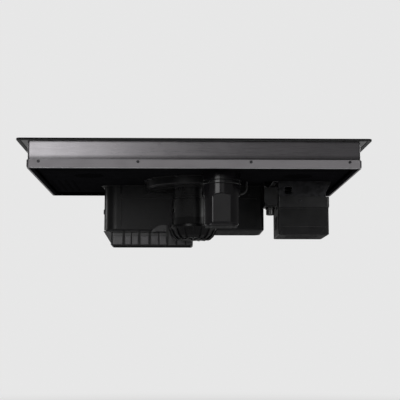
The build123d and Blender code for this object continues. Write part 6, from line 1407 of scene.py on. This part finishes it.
@dataclass
class Blower:
    """The housing's ribs and the plate under it, and the sound-absorbing lining inside it."""

    lining: float = 0.010
    bump: float = 0.0036
    cell: float = 0.014
    axis: Flat = (0.0, 0.020)
    ring_radii: Flat = (0.070, 0.112)
    ring_half: Flat = (0.0008, 0.0005)
    spoke: Flat = (0.072, 0.1105)
    spoke_sink: float = 0.0003
    rib_half: float = 0.0007
    proud: float = 0.0009
    bevel: float = 0.0003
    rear_from: float = -0.206
    rear_pitch: float = 0.040
    rear_half: float = 0.0008
    rear_top: float = -0.074
    sill: Flat = (-0.215, 0.171)
    lattice_proud: float = 0.0010
    lattice_x: Flat = (0.018, 0.180)
    lattice_y: Flat = (0.094, 0.214)
    lattice_corner: float = 0.010
    lattice_line: float = 0.0016
    lattice_gap: float = 0.0006
    plate_middle: Flat = (0.0955, 0.1535)
    plate_half: Flat = (0.0885, 0.0640)
    plate_corner: float = 0.012

    def build(self) -> None:
        """Makes the lining and the ribs."""
        self.foam()
        self.pan_ribs()
        self.rear_ribs()
        self.floor_ribs()

    def egg(self, u_cells: float, v_cells: float) -> Callable[[float, float], float]:
        """The bumps of a cut foam face, for the number of cells each way."""
        def height(u: float, v: float) -> float:
            """How far the face stands off the back at a place."""
            both = math.cos(2 * math.pi * u * u_cells) * math.cos(2 * math.pi * v * v_cells)
            return self.lining - self.bump * (0.5 - 0.5 * both)
        return height

    def foam(self) -> None:
        """Cut foam on the plenum's right-hand end and floor."""
        low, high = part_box("plenum_lining")
        work = Work("lining_foam")
        depth, tall, width = high.y - low.y, high.z - low.z - SINK, high.x - self.lining - low.x
        rows = round(depth / self.cell)
        for origin, direction, reach, up in (
            (Vector((high.x, low.y, low.z)), UP, tall, -EAST),
            (Vector(low), EAST, width, UP),
        ):
            columns = round(reach / self.cell)
            work.relief(origin, direction * reach, NORTH * depth, up, (columns * 8, rows * 8),
                        self.egg(columns, rows))
        piece = work.done(FOAM, "chassis", "foam", "plenum_lining", smooth=80.0)

    def pan_ribs(self) -> None:
        """Radial ribs and two rings under the round pan."""
        work = Work("pan_ribs")
        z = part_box("motor_housing")[1].z
        foot, tip = self.ring_half
        for radius in self.ring_radii:
            profile = [(radius - foot, z + SINK), (radius - tip, z - self.proud),
                       (radius + tip, z - self.proud), (radius + foot, z + SINK)]
            work.lathe(profile, self.axis, 150, 360, 80)
        for step in range(9):
            work.block((self.spoke[0], -self.rib_half, -self.proud),
                       (self.spoke[1], self.rib_half, self.spoke_sink), self.bevel,
                       turned(self.axis, 155 + step * 25, z))
        work.done(HOUSING, "chassis", "housing_plastic")

    def rear_ribs(self) -> None:
        """Upright ribs on the plenum's rear wall, and a sill under them."""
        work = Work("plenum_ribs")
        low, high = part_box("blower_housing")
        wall = high.y - 0.001
        near, far = wall - SINK, wall + self.proud
        for step in range(10):
            x = self.rear_from + step * self.rear_pitch
            work.block((x - self.rear_half, near, low.z + 0.010), (x + self.rear_half, far, self.rear_top),
                       self.bevel)
        work.block((self.sill[0], near, low.z + 0.0075), (self.sill[1], far, low.z + 0.0092), self.bevel)
        work.done(HOUSING, "chassis", "housing_plastic")

    def floor_ribs(self) -> None:
        """A rib lattice and a thin plate under the plenum, beside the outlet."""
        work = Work("plenum_floor_ribs")
        low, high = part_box("blower_housing")
        foot, head = low.z - self.lattice_proud, low.z + SINK
        (left, right), (front, rear) = self.lattice_x, self.lattice_y
        middle = ((left + right) / 2, (front + rear) / 2)
        loop = rounded_loop((right - left) / 2, (rear - front) / 2, self.lattice_corner, 96, middle)
        work.ribbon(loop, self.lattice_line, foot, head, closed=True)
        half, gap = self.rib_half, self.lattice_gap
        for step in range(1, 6):
            x = left + (right - left) * step / 6
            work.block((x - half, front + gap, foot), (x + half, rear - gap, head), self.bevel)
        for step in range(1, 5):
            y = front + (rear - front) * step / 5
            work.block((left + gap, y - half, foot), (right - gap, y + half, head), self.bevel)
        work.plate(rounded_loop(*self.plate_half, self.plate_corner, 96, self.plate_middle), low.z)
        work.done(UNDERSIDE, "chassis", "housing_plastic")


@dataclass
class Outlet:
    """The spigot's raised blocks, and the webs behind its flare."""

    left: float = -0.217
    front: float = 0.098
    rear: float = 0.184
    proud: float = 0.0015
    top: float = -0.1915
    bottom: float = -0.2128
    bevel: float = 0.0006
    edges: tuple[float, ...] = (0.0075, 0.035, 0.055, 0.076, 0.104, 0.128, 0.151, 0.175, 0.198, 0.2105)
    wide: tuple[int, ...] = (1, 3, 4, 6)
    wide_gap: float = 0.0036
    thin_gap: float = 0.0015
    thick: float = 0.0014
    web_places: tuple[float, ...] = (0.1012, 0.1190, 0.1365)
    web_inset: float = 0.0018
    web_wall: float = -0.2150
    web_foot: float = 0.0065

    def build(self) -> None:
        """Makes the blocks, then the webs."""
        self.blocks()
        self.webs()

    def blocks(self) -> None:
        """Blocks on the lower half of each pad, with the wide and the thin gaps between them."""
        work = Work("spigot_blocks")
        for index in range(len(self.edges) - 1):
            start = self.left + self.edges[index] + self.margin(index)
            stop = self.left + self.edges[index + 1] - self.margin(index + 1)
            for face, away in ((self.front, -1.0), (self.rear, 1.0)):
                work.block((start, face - away * SINK, self.bottom),
                           (stop, face + away * self.proud, self.top), self.bevel)
        # The blocks' lighter colour is painted light.
        work.done(PAINTED_LIGHT_BLOCKS, "chassis", "spigot_plastic", smooth=15.0)

    def margin(self, index: int) -> float:
        """Half the gap at an edge.

        Args:
            index: which edge. The first and the last have no gap.

        Returns:
            The distance from the edge to the block, in metres.
        """
        if index in (0, len(self.edges) - 1):
            return 0.0
        return self.wide_gap if index in self.wide else self.thin_gap

    def webs(self) -> None:
        """Three webs that close the flare's back."""
        low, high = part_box("duct_spigot")
        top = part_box("blower_housing")[0].z - SINK
        left, wall = low.x + self.web_inset, self.web_wall
        work = Work("flare_webs")
        for y in self.web_places:
            work.skin([[(left, at, top), (wall, at, top), (wall, at, low.z + self.web_foot)]
                       for at in (y - self.thick / 2, y + self.thick / 2)])
        work.done(SPIGOT, "chassis", "spigot_plastic")


@dataclass
class Motor:
    """The drum's lower sleeve and its mould seams."""

    axis: Flat = (0.0, 0.020)
    radius: float = 0.055
    sleeve: float = 0.00035
    sleeve_top: float = -0.1535
    seam: float = 0.0009
    seam_proud: float = 0.0003
    seam_top: float = -0.108
    seam_turns: Flat = (178.0, 358.0)

    def build(self) -> None:
        """Makes what is moulded on the drum."""
        low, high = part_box("motor_housing")
        work = Work("drum_sleeve")
        inner, outer, foot = self.radius - 0.0003, self.radius + self.sleeve, low.z + SINK
        profile = [(inner, foot), (outer, foot), (outer, self.sleeve_top - 0.0004),
                   (self.radius + 0.00005, self.sleeve_top), (inner, self.sleeve_top)]
        work.lathe(profile, self.axis, steps=160)
        work.done(SLEEVE, "chassis", "gloss_black", smooth=20.0)
        seams = Work("drum_seams")
        for degrees in self.seam_turns:
            seams.block((self.radius - 0.0004, -self.seam / 2, self.sleeve_top),
                        (self.radius + self.seam_proud, self.seam / 2, self.seam_top), 0.0002,
                        turned(self.axis, degrees))
        seams.done(DRUM, "chassis", "gloss_black")


@dataclass
class Tank:
    """The overflow tank's shell, its marks and its foot, and the lock ring's grip."""

    ring_radius: float = 0.0476
    grip: float = 0.0007
    grip_half: float = 0.0008
    grip_inset: float = 0.0014
    mark: float = 0.0009
    mark_proud: float = 0.0004
    mark_from: float = 0.014
    mark_pitch: float = 0.0095
    mark_count: int = 6
    mark_reach: Flat = (0.010, 0.006)
    radius: float = 0.047
    flat: float = 0.0415
    flat_top: float = 0.077
    arch_half: float = 0.024
    arch_height: float = 0.012
    wall: float = 0.0022
    rim_height: float = 0.004
    rim_half: float = 0.0395
    rim_corner: float = 0.016
    shoulder: float = 0.024
    collar: float = 0.042
    lip: float = 0.0004
    edge: float = 0.0008
    round_off: float = 0.0012
    around: int = 288
    foot_rings: tuple[float, ...] = (0.034, 0.024, 0.014)
    ring_line: float = 0.0012
    ring_proud: float = 0.0006
    foot_at: float = 0.029
    foot_radii: tuple[float, ...] = (0.0010, 0.0026, 0.0032)
    foot_proud: Flat = (0.0010, 0.0015)

    def build(self) -> None:
        """Makes the lock ring's grip, then the tank's marks, foot and shell."""
        centre = middle_of(*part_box("overflow_neck"))
        ring_low, ring_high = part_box("lock_ring")
        work = Work("ring_grip")
        for degrees in (*range(150, 193, 6), *range(210, 235, 6), *range(-20, 60, 6)):
            work.block((self.ring_radius - 0.0004, -self.grip_half, ring_low.z + self.grip_inset),
                       (self.ring_radius + self.grip, self.grip_half, ring_high.z - self.grip_inset), 0.0003,
                       turned(centre, degrees))
        work.done(RING, "lock_ring", "ring_plastic")
        tank_low, tank_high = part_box("overflow_tank")
        marks = Work("fill_marks")
        face, last = centre[0] + self.flat, self.mark_count - 1
        for step in range(self.mark_count):
            z = tank_low.z + self.mark_from + step * self.mark_pitch
            reach = self.mark_reach[0 if step in (0, last) else 1]
            marks.block((face - SINK, centre[1] - reach, z - self.mark / 2),
                        (face + self.mark_proud, centre[1] + reach, z + self.mark / 2), 0.00025)
        marks.done(TANK, "tank", "gloss_black")
        self.foot(centre, tank_low.z)
        self.shell(centre, tank_low.z, tank_high.z)

    def body_radius(self, turn: float, rise: float) -> float:
        """The shell's outside, with its four flats and their arched tops.

        Args:
            turn: the angle from the nearest flat's middle.
            rise: the height over the tank's underside.

        Returns:
            The distance from the axis.
        """
        flat = self.flat / math.cos(turn)
        near = max(self.round_off - abs(self.radius - flat), 0.0) / self.round_off
        cut = min(self.radius, flat) - near * near * self.round_off / 4
        arch_base = self.flat_top - self.arch_height
        across = self.flat * math.tan(turn) / self.arch_half
        above = max(rise - arch_base, 0.0) / self.arch_height
        inside = (1.0 - math.hypot(across, above)) * self.arch_height
        share = min(max(inside / self.edge + 0.5, 0.0), 1.0)
        share = share * share * (3 - 2 * share)
        return self.radius + (cut - self.radius) * share

    def rim_radius(self, turn: float) -> float:
        """The square rim's outside.

        Args:
            turn: the angle from the nearest flat's middle.

        Returns:
            The distance from the axis.
        """
        turn = abs(turn)
        middle = self.rim_half - self.rim_corner
        if math.tan(turn) * self.rim_half < middle:
            return self.rim_half / math.cos(turn)
        along = middle * (math.sin(turn) + math.cos(turn))
        off = middle * (math.cos(turn) - math.sin(turn))
        return along + math.sqrt(self.rim_corner ** 2 - off ** 2)

    def loop(self, centre: Flat, count: int, kind: str, size: float, rise: float = 0.0) -> list[Flat]:
        """One level outline of the tank.

        Args:
            centre: its axis.
            count: how many points.
            kind: rim, body or round.
            size: the radius of a round outline, or what is added to the others.
            rise: the height over the tank's underside.

        Returns:
            The points, anticlockwise.
        """
        points = []
        for step in range(count):
            angle = 2 * math.pi * step / count
            turn = (angle + math.pi / 4) % (math.pi / 2) - math.pi / 4
            reach = size
            if kind == "rim":
                reach += self.rim_radius(turn)
            elif kind == "body":
                reach += self.body_radius(turn, rise)
            points.append(on_circle(centre, reach, angle))
        return points

    def shell(self, centre: Flat, z: float, top: float) -> None:
        """The tank itself, fine enough for its flats to have crisp, softly rounded edges.

        Args:
            centre: its axis.
            z: its underside.
            top: the top of its collar.
        """
        tall, rim, lip, hole = top - z, self.rim_height, self.lip, 0.002
        arch_base = self.flat_top - self.arch_height
        shoulder_top = self.flat_top + self.shoulder
        inner, floor = self.flat - self.wall, 2 * self.wall
        rows = [("round", hole, 0.0), ("rim", -self.edge, 0.0), ("rim", 0.0, self.edge)]
        rows += [("rim", 0.0, rim - lip), ("body", -self.edge, rim)]
        rows += [("body", -self.edge * 0.3, rim + self.edge * 0.3), ("body", 0.0, rim + self.edge)]
        rows += [("body", 0.0, 0.010 + step * (arch_base - 0.012) / 8) for step in range(9)]
        rows += [("body", 0.0, arch_base - 0.001 + step * 0.0004) for step in range(36)]
        rows += [("body", 0.0, shoulder_top - self.edge), ("body", -self.edge, shoulder_top)]
        rows += [("round", self.collar, shoulder_top), ("round", self.collar, tall - lip)]
        rows += [("round", self.collar - lip, tall), ("round", inner + lip, tall)]
        rows += [("round", inner, tall - lip), ("round", inner, floor), ("round", hole, floor)]
        work = Work("tank_shell")
        work.skin([[(x, y, z + rise) for x, y in self.loop(centre, self.around, kind, size, rise)]
                   for kind, size, rise in rows])
        work.done(TANK, "tank", "gloss_black", "overflow_tank", smooth=33.0)

    def foot(self, centre: Flat, z: float) -> None:
        """A thin plate, rings and four small feet under the tank.

        Args:
            centre: the tank's axis.
            z: its underside.
        """
        work = Work("tank_foot")
        work.plate(self.loop(centre, 96, "rim", -self.edge), z)
        for half in self.foot_rings:
            loop = rounded_loop(half, half, half * 0.35, 72, centre)
            work.ribbon(loop, self.ring_line, z - self.ring_proud, z + SINK, closed=True)
        hole, sole, outer = self.foot_radii
        shoulder, proud = self.foot_proud
        profile = [(hole, z + SINK), (outer, z + SINK), (outer, z - shoulder), (sole, z - proud),
                   (hole, z - proud)]
        for sx in SIDES:
            for sy in SIDES:
                work.lathe(profile, (centre[0] + sx * self.foot_at, centre[1] + sy * self.foot_at), steps=28)
        work.done(UNDERSIDE, "tank", "gloss_black")


@dataclass
class Coils:
    """Spiral windings of litz wire, and the springs that press the plates up."""

    turns: int = 23
    per_turn: int = 56
    bore: float = 0.023
    corner: float = 0.092
    spring_wire: float = 0.00075
    spring_turns: float = 4.5

    def build(self) -> None:
        """Winds the coils and the springs."""
        wires = Work("litz_spirals")
        for low, high in solids_of("coil_windings"):
            self.spiral(wires, low, high)
        wires.done(LITZ, "chassis", "copper", "coil_windings", smooth=80.0)
        springs = Work("plate_coils")
        for low, high in solids_of("plate_springs"):
            self.spring(springs, low, high)
        springs.done(SPRING, "chassis", "spring_steel", "plate_springs", smooth=80.0)

    def spiral(self, work: Work, low: Vector, high: Vector) -> None:
        """One flat oblong winding.

        Args:
            work: the mesh that is added to.
            low: its lowest corner.
            high: its highest corner.
        """
        middle = (low + high) / 2
        half_x, half_y = (high.x - low.x) / 2, (high.y - low.y) / 2
        bore_x = self.bore + half_x - half_y
        pitch = (half_y - self.bore) / (self.turns + 1)
        outer_corner = min(self.corner, half_y - 0.001, half_x - 0.001)
        inner_corner = self.bore - 0.001
        loops = []
        for turn in range(self.turns + 1):
            share = turn / self.turns
            grow = pitch / 2 + (half_y - self.bore - pitch) * share
            corner = min(inner_corner + (outer_corner - inner_corner) * share, self.bore + grow - 0.0005)
            loops.append(rounded_loop(bore_x + grow, self.bore + grow, corner, self.per_turn))
        path = []
        for inside, outside in zip(loops, loops[1:]):
            for step in range(self.per_turn):
                share = step / self.per_turn
                x, y = (a + (b - a) * share for a, b in zip(inside[step], outside[step]))
                path.append(Vector((middle.x + x, middle.y + y, middle.z)))
        work.tube(path, pitch * 0.46, (high.z - low.z) / 2 * 0.94, 6)

    def spring(self, work: Work, low: Vector, high: Vector) -> None:
        """One compression spring with closed ends.

        Args:
            work: the mesh that is added to.
            low: its lowest corner.
            high: its highest corner.
        """
        middle = middle_of(low, high)
        mean = (high.x - low.x) / 2 - self.spring_wire
        bottom, top = low.z + self.spring_wire, high.z - self.spring_wire
        steps = int(self.spring_turns * 22)
        path = []
        for i in range(steps + 1):
            share = i / steps
            eased = min(max((share - 0.14) / 0.72, 0.0), 1.0)
            z = bottom + (top - bottom) * (0.05 * share + 0.95 * eased)
            path.append(Vector((*on_circle(middle, mean, 2 * math.pi * self.spring_turns * share), z)))
        work.tube(path, self.spring_wire, self.spring_wire, 7)


@dataclass
class ControlBox:
    """The control case's vent ribs, foot and seam."""

    slot_pitch: float = 0.007
    slot_half: float = 0.0012
    slot_rise: Flat = (0.018, 0.052)
    rib: float = 0.0005
    side_slots: tuple[int, float] = (9, 0.040)
    rear_slots: tuple[int, float] = (12, 0.026)
    foot_insets: Flat = (0.008, 0.013)
    foot_corner: float = 0.006
    foot_line: float = 0.0012
    foot_proud: float = 0.0008
    bars: int = 7
    bar_from: float = 0.030
    bar_pitch: float = 0.0137
    bar_half: float = 0.0014
    bar_inset: float = 0.024
    plate_inset: float = 0.002
    plate_corner: float = 0.005
    seam: float = 0.0004
    seam_drop: float = 0.0035
    seam_out: float = 0.0001
    seam_corner: float = 0.004

    def build(self) -> None:
        """Makes the vents, the foot and the seam."""
        low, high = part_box("control_case")
        self.vents(low, high)
        self.foot(low, high)
        edge = Work("case_seam")
        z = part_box("control_lid")[0].z - self.seam_drop
        loop = self.loop(low, high, -self.seam_out, self.seam_corner, 160)
        edge.tube([Vector((x, y, z)) for x, y in loop], self.seam, self.seam, 6, closed=True)
        edge.done(CASE, "chassis", "case_grey")

    def loop(self, low: Vector, high: Vector, inset: float, corner: float, count: int) -> list[Flat]:
        """The case's outline, drawn in by an inset."""
        half_x, half_y = (high.x - low.x) / 2 - inset, (high.y - low.y) / 2 - inset
        return rounded_loop(half_x, half_y, corner, count, middle_of(low, high))

    def vents(self, low: Vector, high: Vector) -> None:
        """Upright ribs on both sides and the rear of the case."""
        work = Work("case_vents")
        bottom, top = (low.z + rise for rise in self.slot_rise)
        count, first = self.side_slots
        for side, x in ((-1, low.x), (1, high.x)):
            for step in range(count):
                y = low.y + first + step * self.slot_pitch
                work.block((x - side * SINK, y - self.slot_half, bottom),
                           (x + side * self.rib, y + self.slot_half, top), 0.0003)
        count, first = self.rear_slots
        for step in range(count):
            x = low.x + first + step * self.slot_pitch
            work.block((x - self.slot_half, high.y - SINK, bottom),
                       (x + self.slot_half, high.y + self.rib, top), 0.0003)
        work.done(CASE, "chassis", "case_grey")

    def foot(self, low: Vector, high: Vector) -> None:
        """Ribs and a thin plate under the case."""
        work = Work("case_foot")
        bottom, top = low.z - self.foot_proud, low.z + SINK
        for inset in self.foot_insets:
            work.ribbon(self.loop(low, high, inset, self.foot_corner, 96), self.foot_line, bottom, top,
                        closed=True)
        for step in range(self.bars):
            y = low.y + self.bar_from + step * self.bar_pitch
            work.block((low.x + self.bar_inset, y - self.bar_half, bottom),
                       (high.x - self.bar_inset, y + self.bar_half, top), 0.0004)
        work.plate(self.loop(low, high, self.plate_inset, self.plate_corner, 96), low.z)
        work.done(UNDERSIDE, "chassis", "case_grey")


# ---------------------------------------------------------------- studio


class Reach(Enum):
    """Which pieces a lamp lights, of those that it names."""

    ALL = ""
    ONLY = "INCLUDE"
    ALL_BUT = "EXCLUDE"


@dataclass(frozen=True)
class Lamp:
    """A soft rectangular lamp, its power in watts, and the pieces it is kept on or off."""

    name: str
    place: Point
    width: float
    height: float
    power: float
    reach: Reach = Reach.ALL
    pieces: tuple[str, ...] = ()


WET = ("overflow_neck", "lock_ring", "ring_grip", "tank_shell")
DRY = ("motor_housing", "drum_sleeve", "drum_seams", "glass_top")
LAMPS = (
    Lamp("front_left_strip", (-1.12, -2.80, 0.36), 1.30, 1.25, 24.5, Reach.ALL_BUT, DRY),
    Lamp("right_bank", (1.90, -2.20, 0.25), 1.5, 1.0, 20.0, Reach.ALL_BUT,
         ("glass_top", "support_frame", *WET)),
    Lamp("tank_fill", (0.42, -3.20, 0.22), 0.9, 0.6, 1.3, Reach.ONLY, WET),
    Lamp("left_rear_edge", (-2.5, 1.75, 0.10), 0.7, 1.3, 8.0),
    Lamp("right_rear_edge", (2.4, 2.2, 0.30), 0.7, 1.3, 12.0),
    Lamp("overhead", (0.3, 0.5, 2.4), 2.4, 1.8, 34.0, Reach.ALL_BUT, ("glass_top",)),
)


@dataclass
class Studio:
    """Floor, pale surroundings, soft lights and the camera."""

    floor_z: float = -0.90
    floor_reach: float = 14.0
    floor_level: float = 0.78
    fade_from: float = 1.6
    fade_to: float = 5.0
    surround_level: float = 0.80
    mirrored_level: float = 0.22
    surround_light: float = 0.34
    aim: Point = (0.0, 0.0, -0.08)
    camera_place: Point = (-0.03486, -2.52064, -0.43232)
    camera_pitch_deg: float = 7.357
    camera_yaw_deg: float = 1.194
    lens_mm: float = 89.138
    sensor_mm: float = 36.0

    def build(self) -> None:
        """Makes everything round the object."""
        self.floor()
        self.surround()
        self.camera()
        for lamp in LAMPS:
            self.light(lamp)

    def floor(self) -> None:
        """A plain pale floor, well below the object, that fades into the surroundings far off."""
        reach = self.floor_reach
        mesh = bpy.data.meshes.new("floor")
        corners = [(-reach, -reach, 0), (reach, -reach, 0), (reach, reach, 0), (-reach, reach, 0)]
        mesh.from_pydata(corners, [], [(0, 1, 2, 3)])
        piece = bpy.data.objects.new("floor", mesh)
        piece.location.z = self.floor_z
        bpy.context.scene.collection.objects.link(piece)
        mesh.materials.append(self.floor_material())

    def floor_material(self) -> bpy.types.Material:
        """Pale matt floor. Seen from below it is clear, so that the object shows from there too."""
        made = bpy.data.materials.new("floor_pale")
        made.use_nodes = True
        made.node_tree.nodes.clear()
        g = Graph(made.node_tree)
        tone = g.ramp(g.noise(1.5, 3.0), 0.2, 0.8, self.floor_level * 0.985, self.floor_level)
        colour = g.add("CombineColor", {0: tone, 1: tone, 2: tone}).outputs[0]
        matt = g.add("BsdfPrincipled", {"Base Color": colour, "Roughness": 0.9, "Specular IOR Level": 0.1})
        far = g.add("VectorMath", {0: g.place()}, operation="LENGTH").outputs["Value"]
        fade = g.add("MapRange", {"Value": far, "From Min": self.fade_from, "From Max": self.fade_to},
                     interpolation_type="SMOOTHSTEP").outputs["Result"]
        seen = g.times(fade, g.add("LightPath").outputs["Is Camera Ray"])
        glow = g.add("Emission", {"Strength": self.surround_level})
        open_air = g.add("MixShader", {0: seen, 1: matt.outputs[0], 2: glow.outputs[0]})
        behind = g.add("NewGeometry").outputs["Backfacing"]
        clear = g.add("BsdfTransparent")
        both = g.add("MixShader", {0: behind, 1: open_air.outputs[0], 2: clear.outputs[0]})
        g.add("OutputMaterial", {0: both.outputs[0]})
        return made

    def surround(self) -> None:
        """A pale world: as bright as paper where it is seen or mirrored, softer as a light."""
        world = bpy.data.worlds.new("surround")
        bpy.context.scene.world = world
        world.use_nodes = True
        g = Graph(world.node_tree)
        rays = g.add("LightPath").outputs
        seen = g.math("MAXIMUM", rays["Is Camera Ray"], rays["Is Transmission Ray"])
        unseen = g.blend(rays["Is Glossy Ray"], self.surround_light, self.mirrored_level)
        background = world.node_tree.nodes["Background"]
        g.feed(background.inputs["Color"], (1.0, 1.0, 1.0))
        g.feed(background.inputs["Strength"], g.math("MAXIMUM", g.times(seen, self.surround_level), unseen))

    def light(self, lamp: Lamp) -> None:
        """Hangs a lamp that looks at the object, and keeps it on or off pieces as flags would.

        Args:
            lamp: what the lamp is like.
        """
        data = bpy.data.lights.new(lamp.name, "AREA")
        data.shape = "RECTANGLE"
        data.size = lamp.width
        data.size_y = lamp.height
        data.energy = lamp.power
        made = bpy.data.objects.new(lamp.name, data)
        made.location = lamp.place
        made.rotation_euler = (Vector(self.aim) - Vector(lamp.place)).to_track_quat("-Z", "Y").to_euler()
        bpy.context.scene.collection.objects.link(made)
        if lamp.reach is Reach.ALL:
            return
        group = bpy.data.collections.new(lamp.name + "_pieces")
        for name in lamp.pieces:
            group.objects.link(bpy.data.objects[name])
        made.light_linking.receiver_collection = group
        for entry in group.collection_objects:
            entry.light_linking.link_state = lamp.reach.value

    def camera(self) -> None:
        """The photograph's station point, looking slightly up."""
        data = bpy.data.cameras.new("camera")
        data.sensor_width = self.sensor_mm
        data.lens = self.lens_mm
        data.clip_end = 100.0
        piece = bpy.data.objects.new("camera", data)
        piece.location = self.camera_place
        pitch, yaw = math.radians(90.0 + self.camera_pitch_deg), math.radians(self.camera_yaw_deg)
        piece.rotation_euler = (pitch, 0.0, -yaw)
        bpy.context.scene.collection.objects.link(piece)
        bpy.context.scene.camera = piece


def main() -> None:
    """Builds the object's looks and the studio round it."""
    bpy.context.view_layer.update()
    bpy.context.scene.view_settings.view_transform = "Standard"
    dress_all()
    for kind in (CooktopFace, Pan, Intake, Blower, Outlet, Motor, Tank, Coils, ControlBox, Studio):
        log.info("making %s", kind.__name__)
        kind().build()


if __name__ == "__main__":
    main()
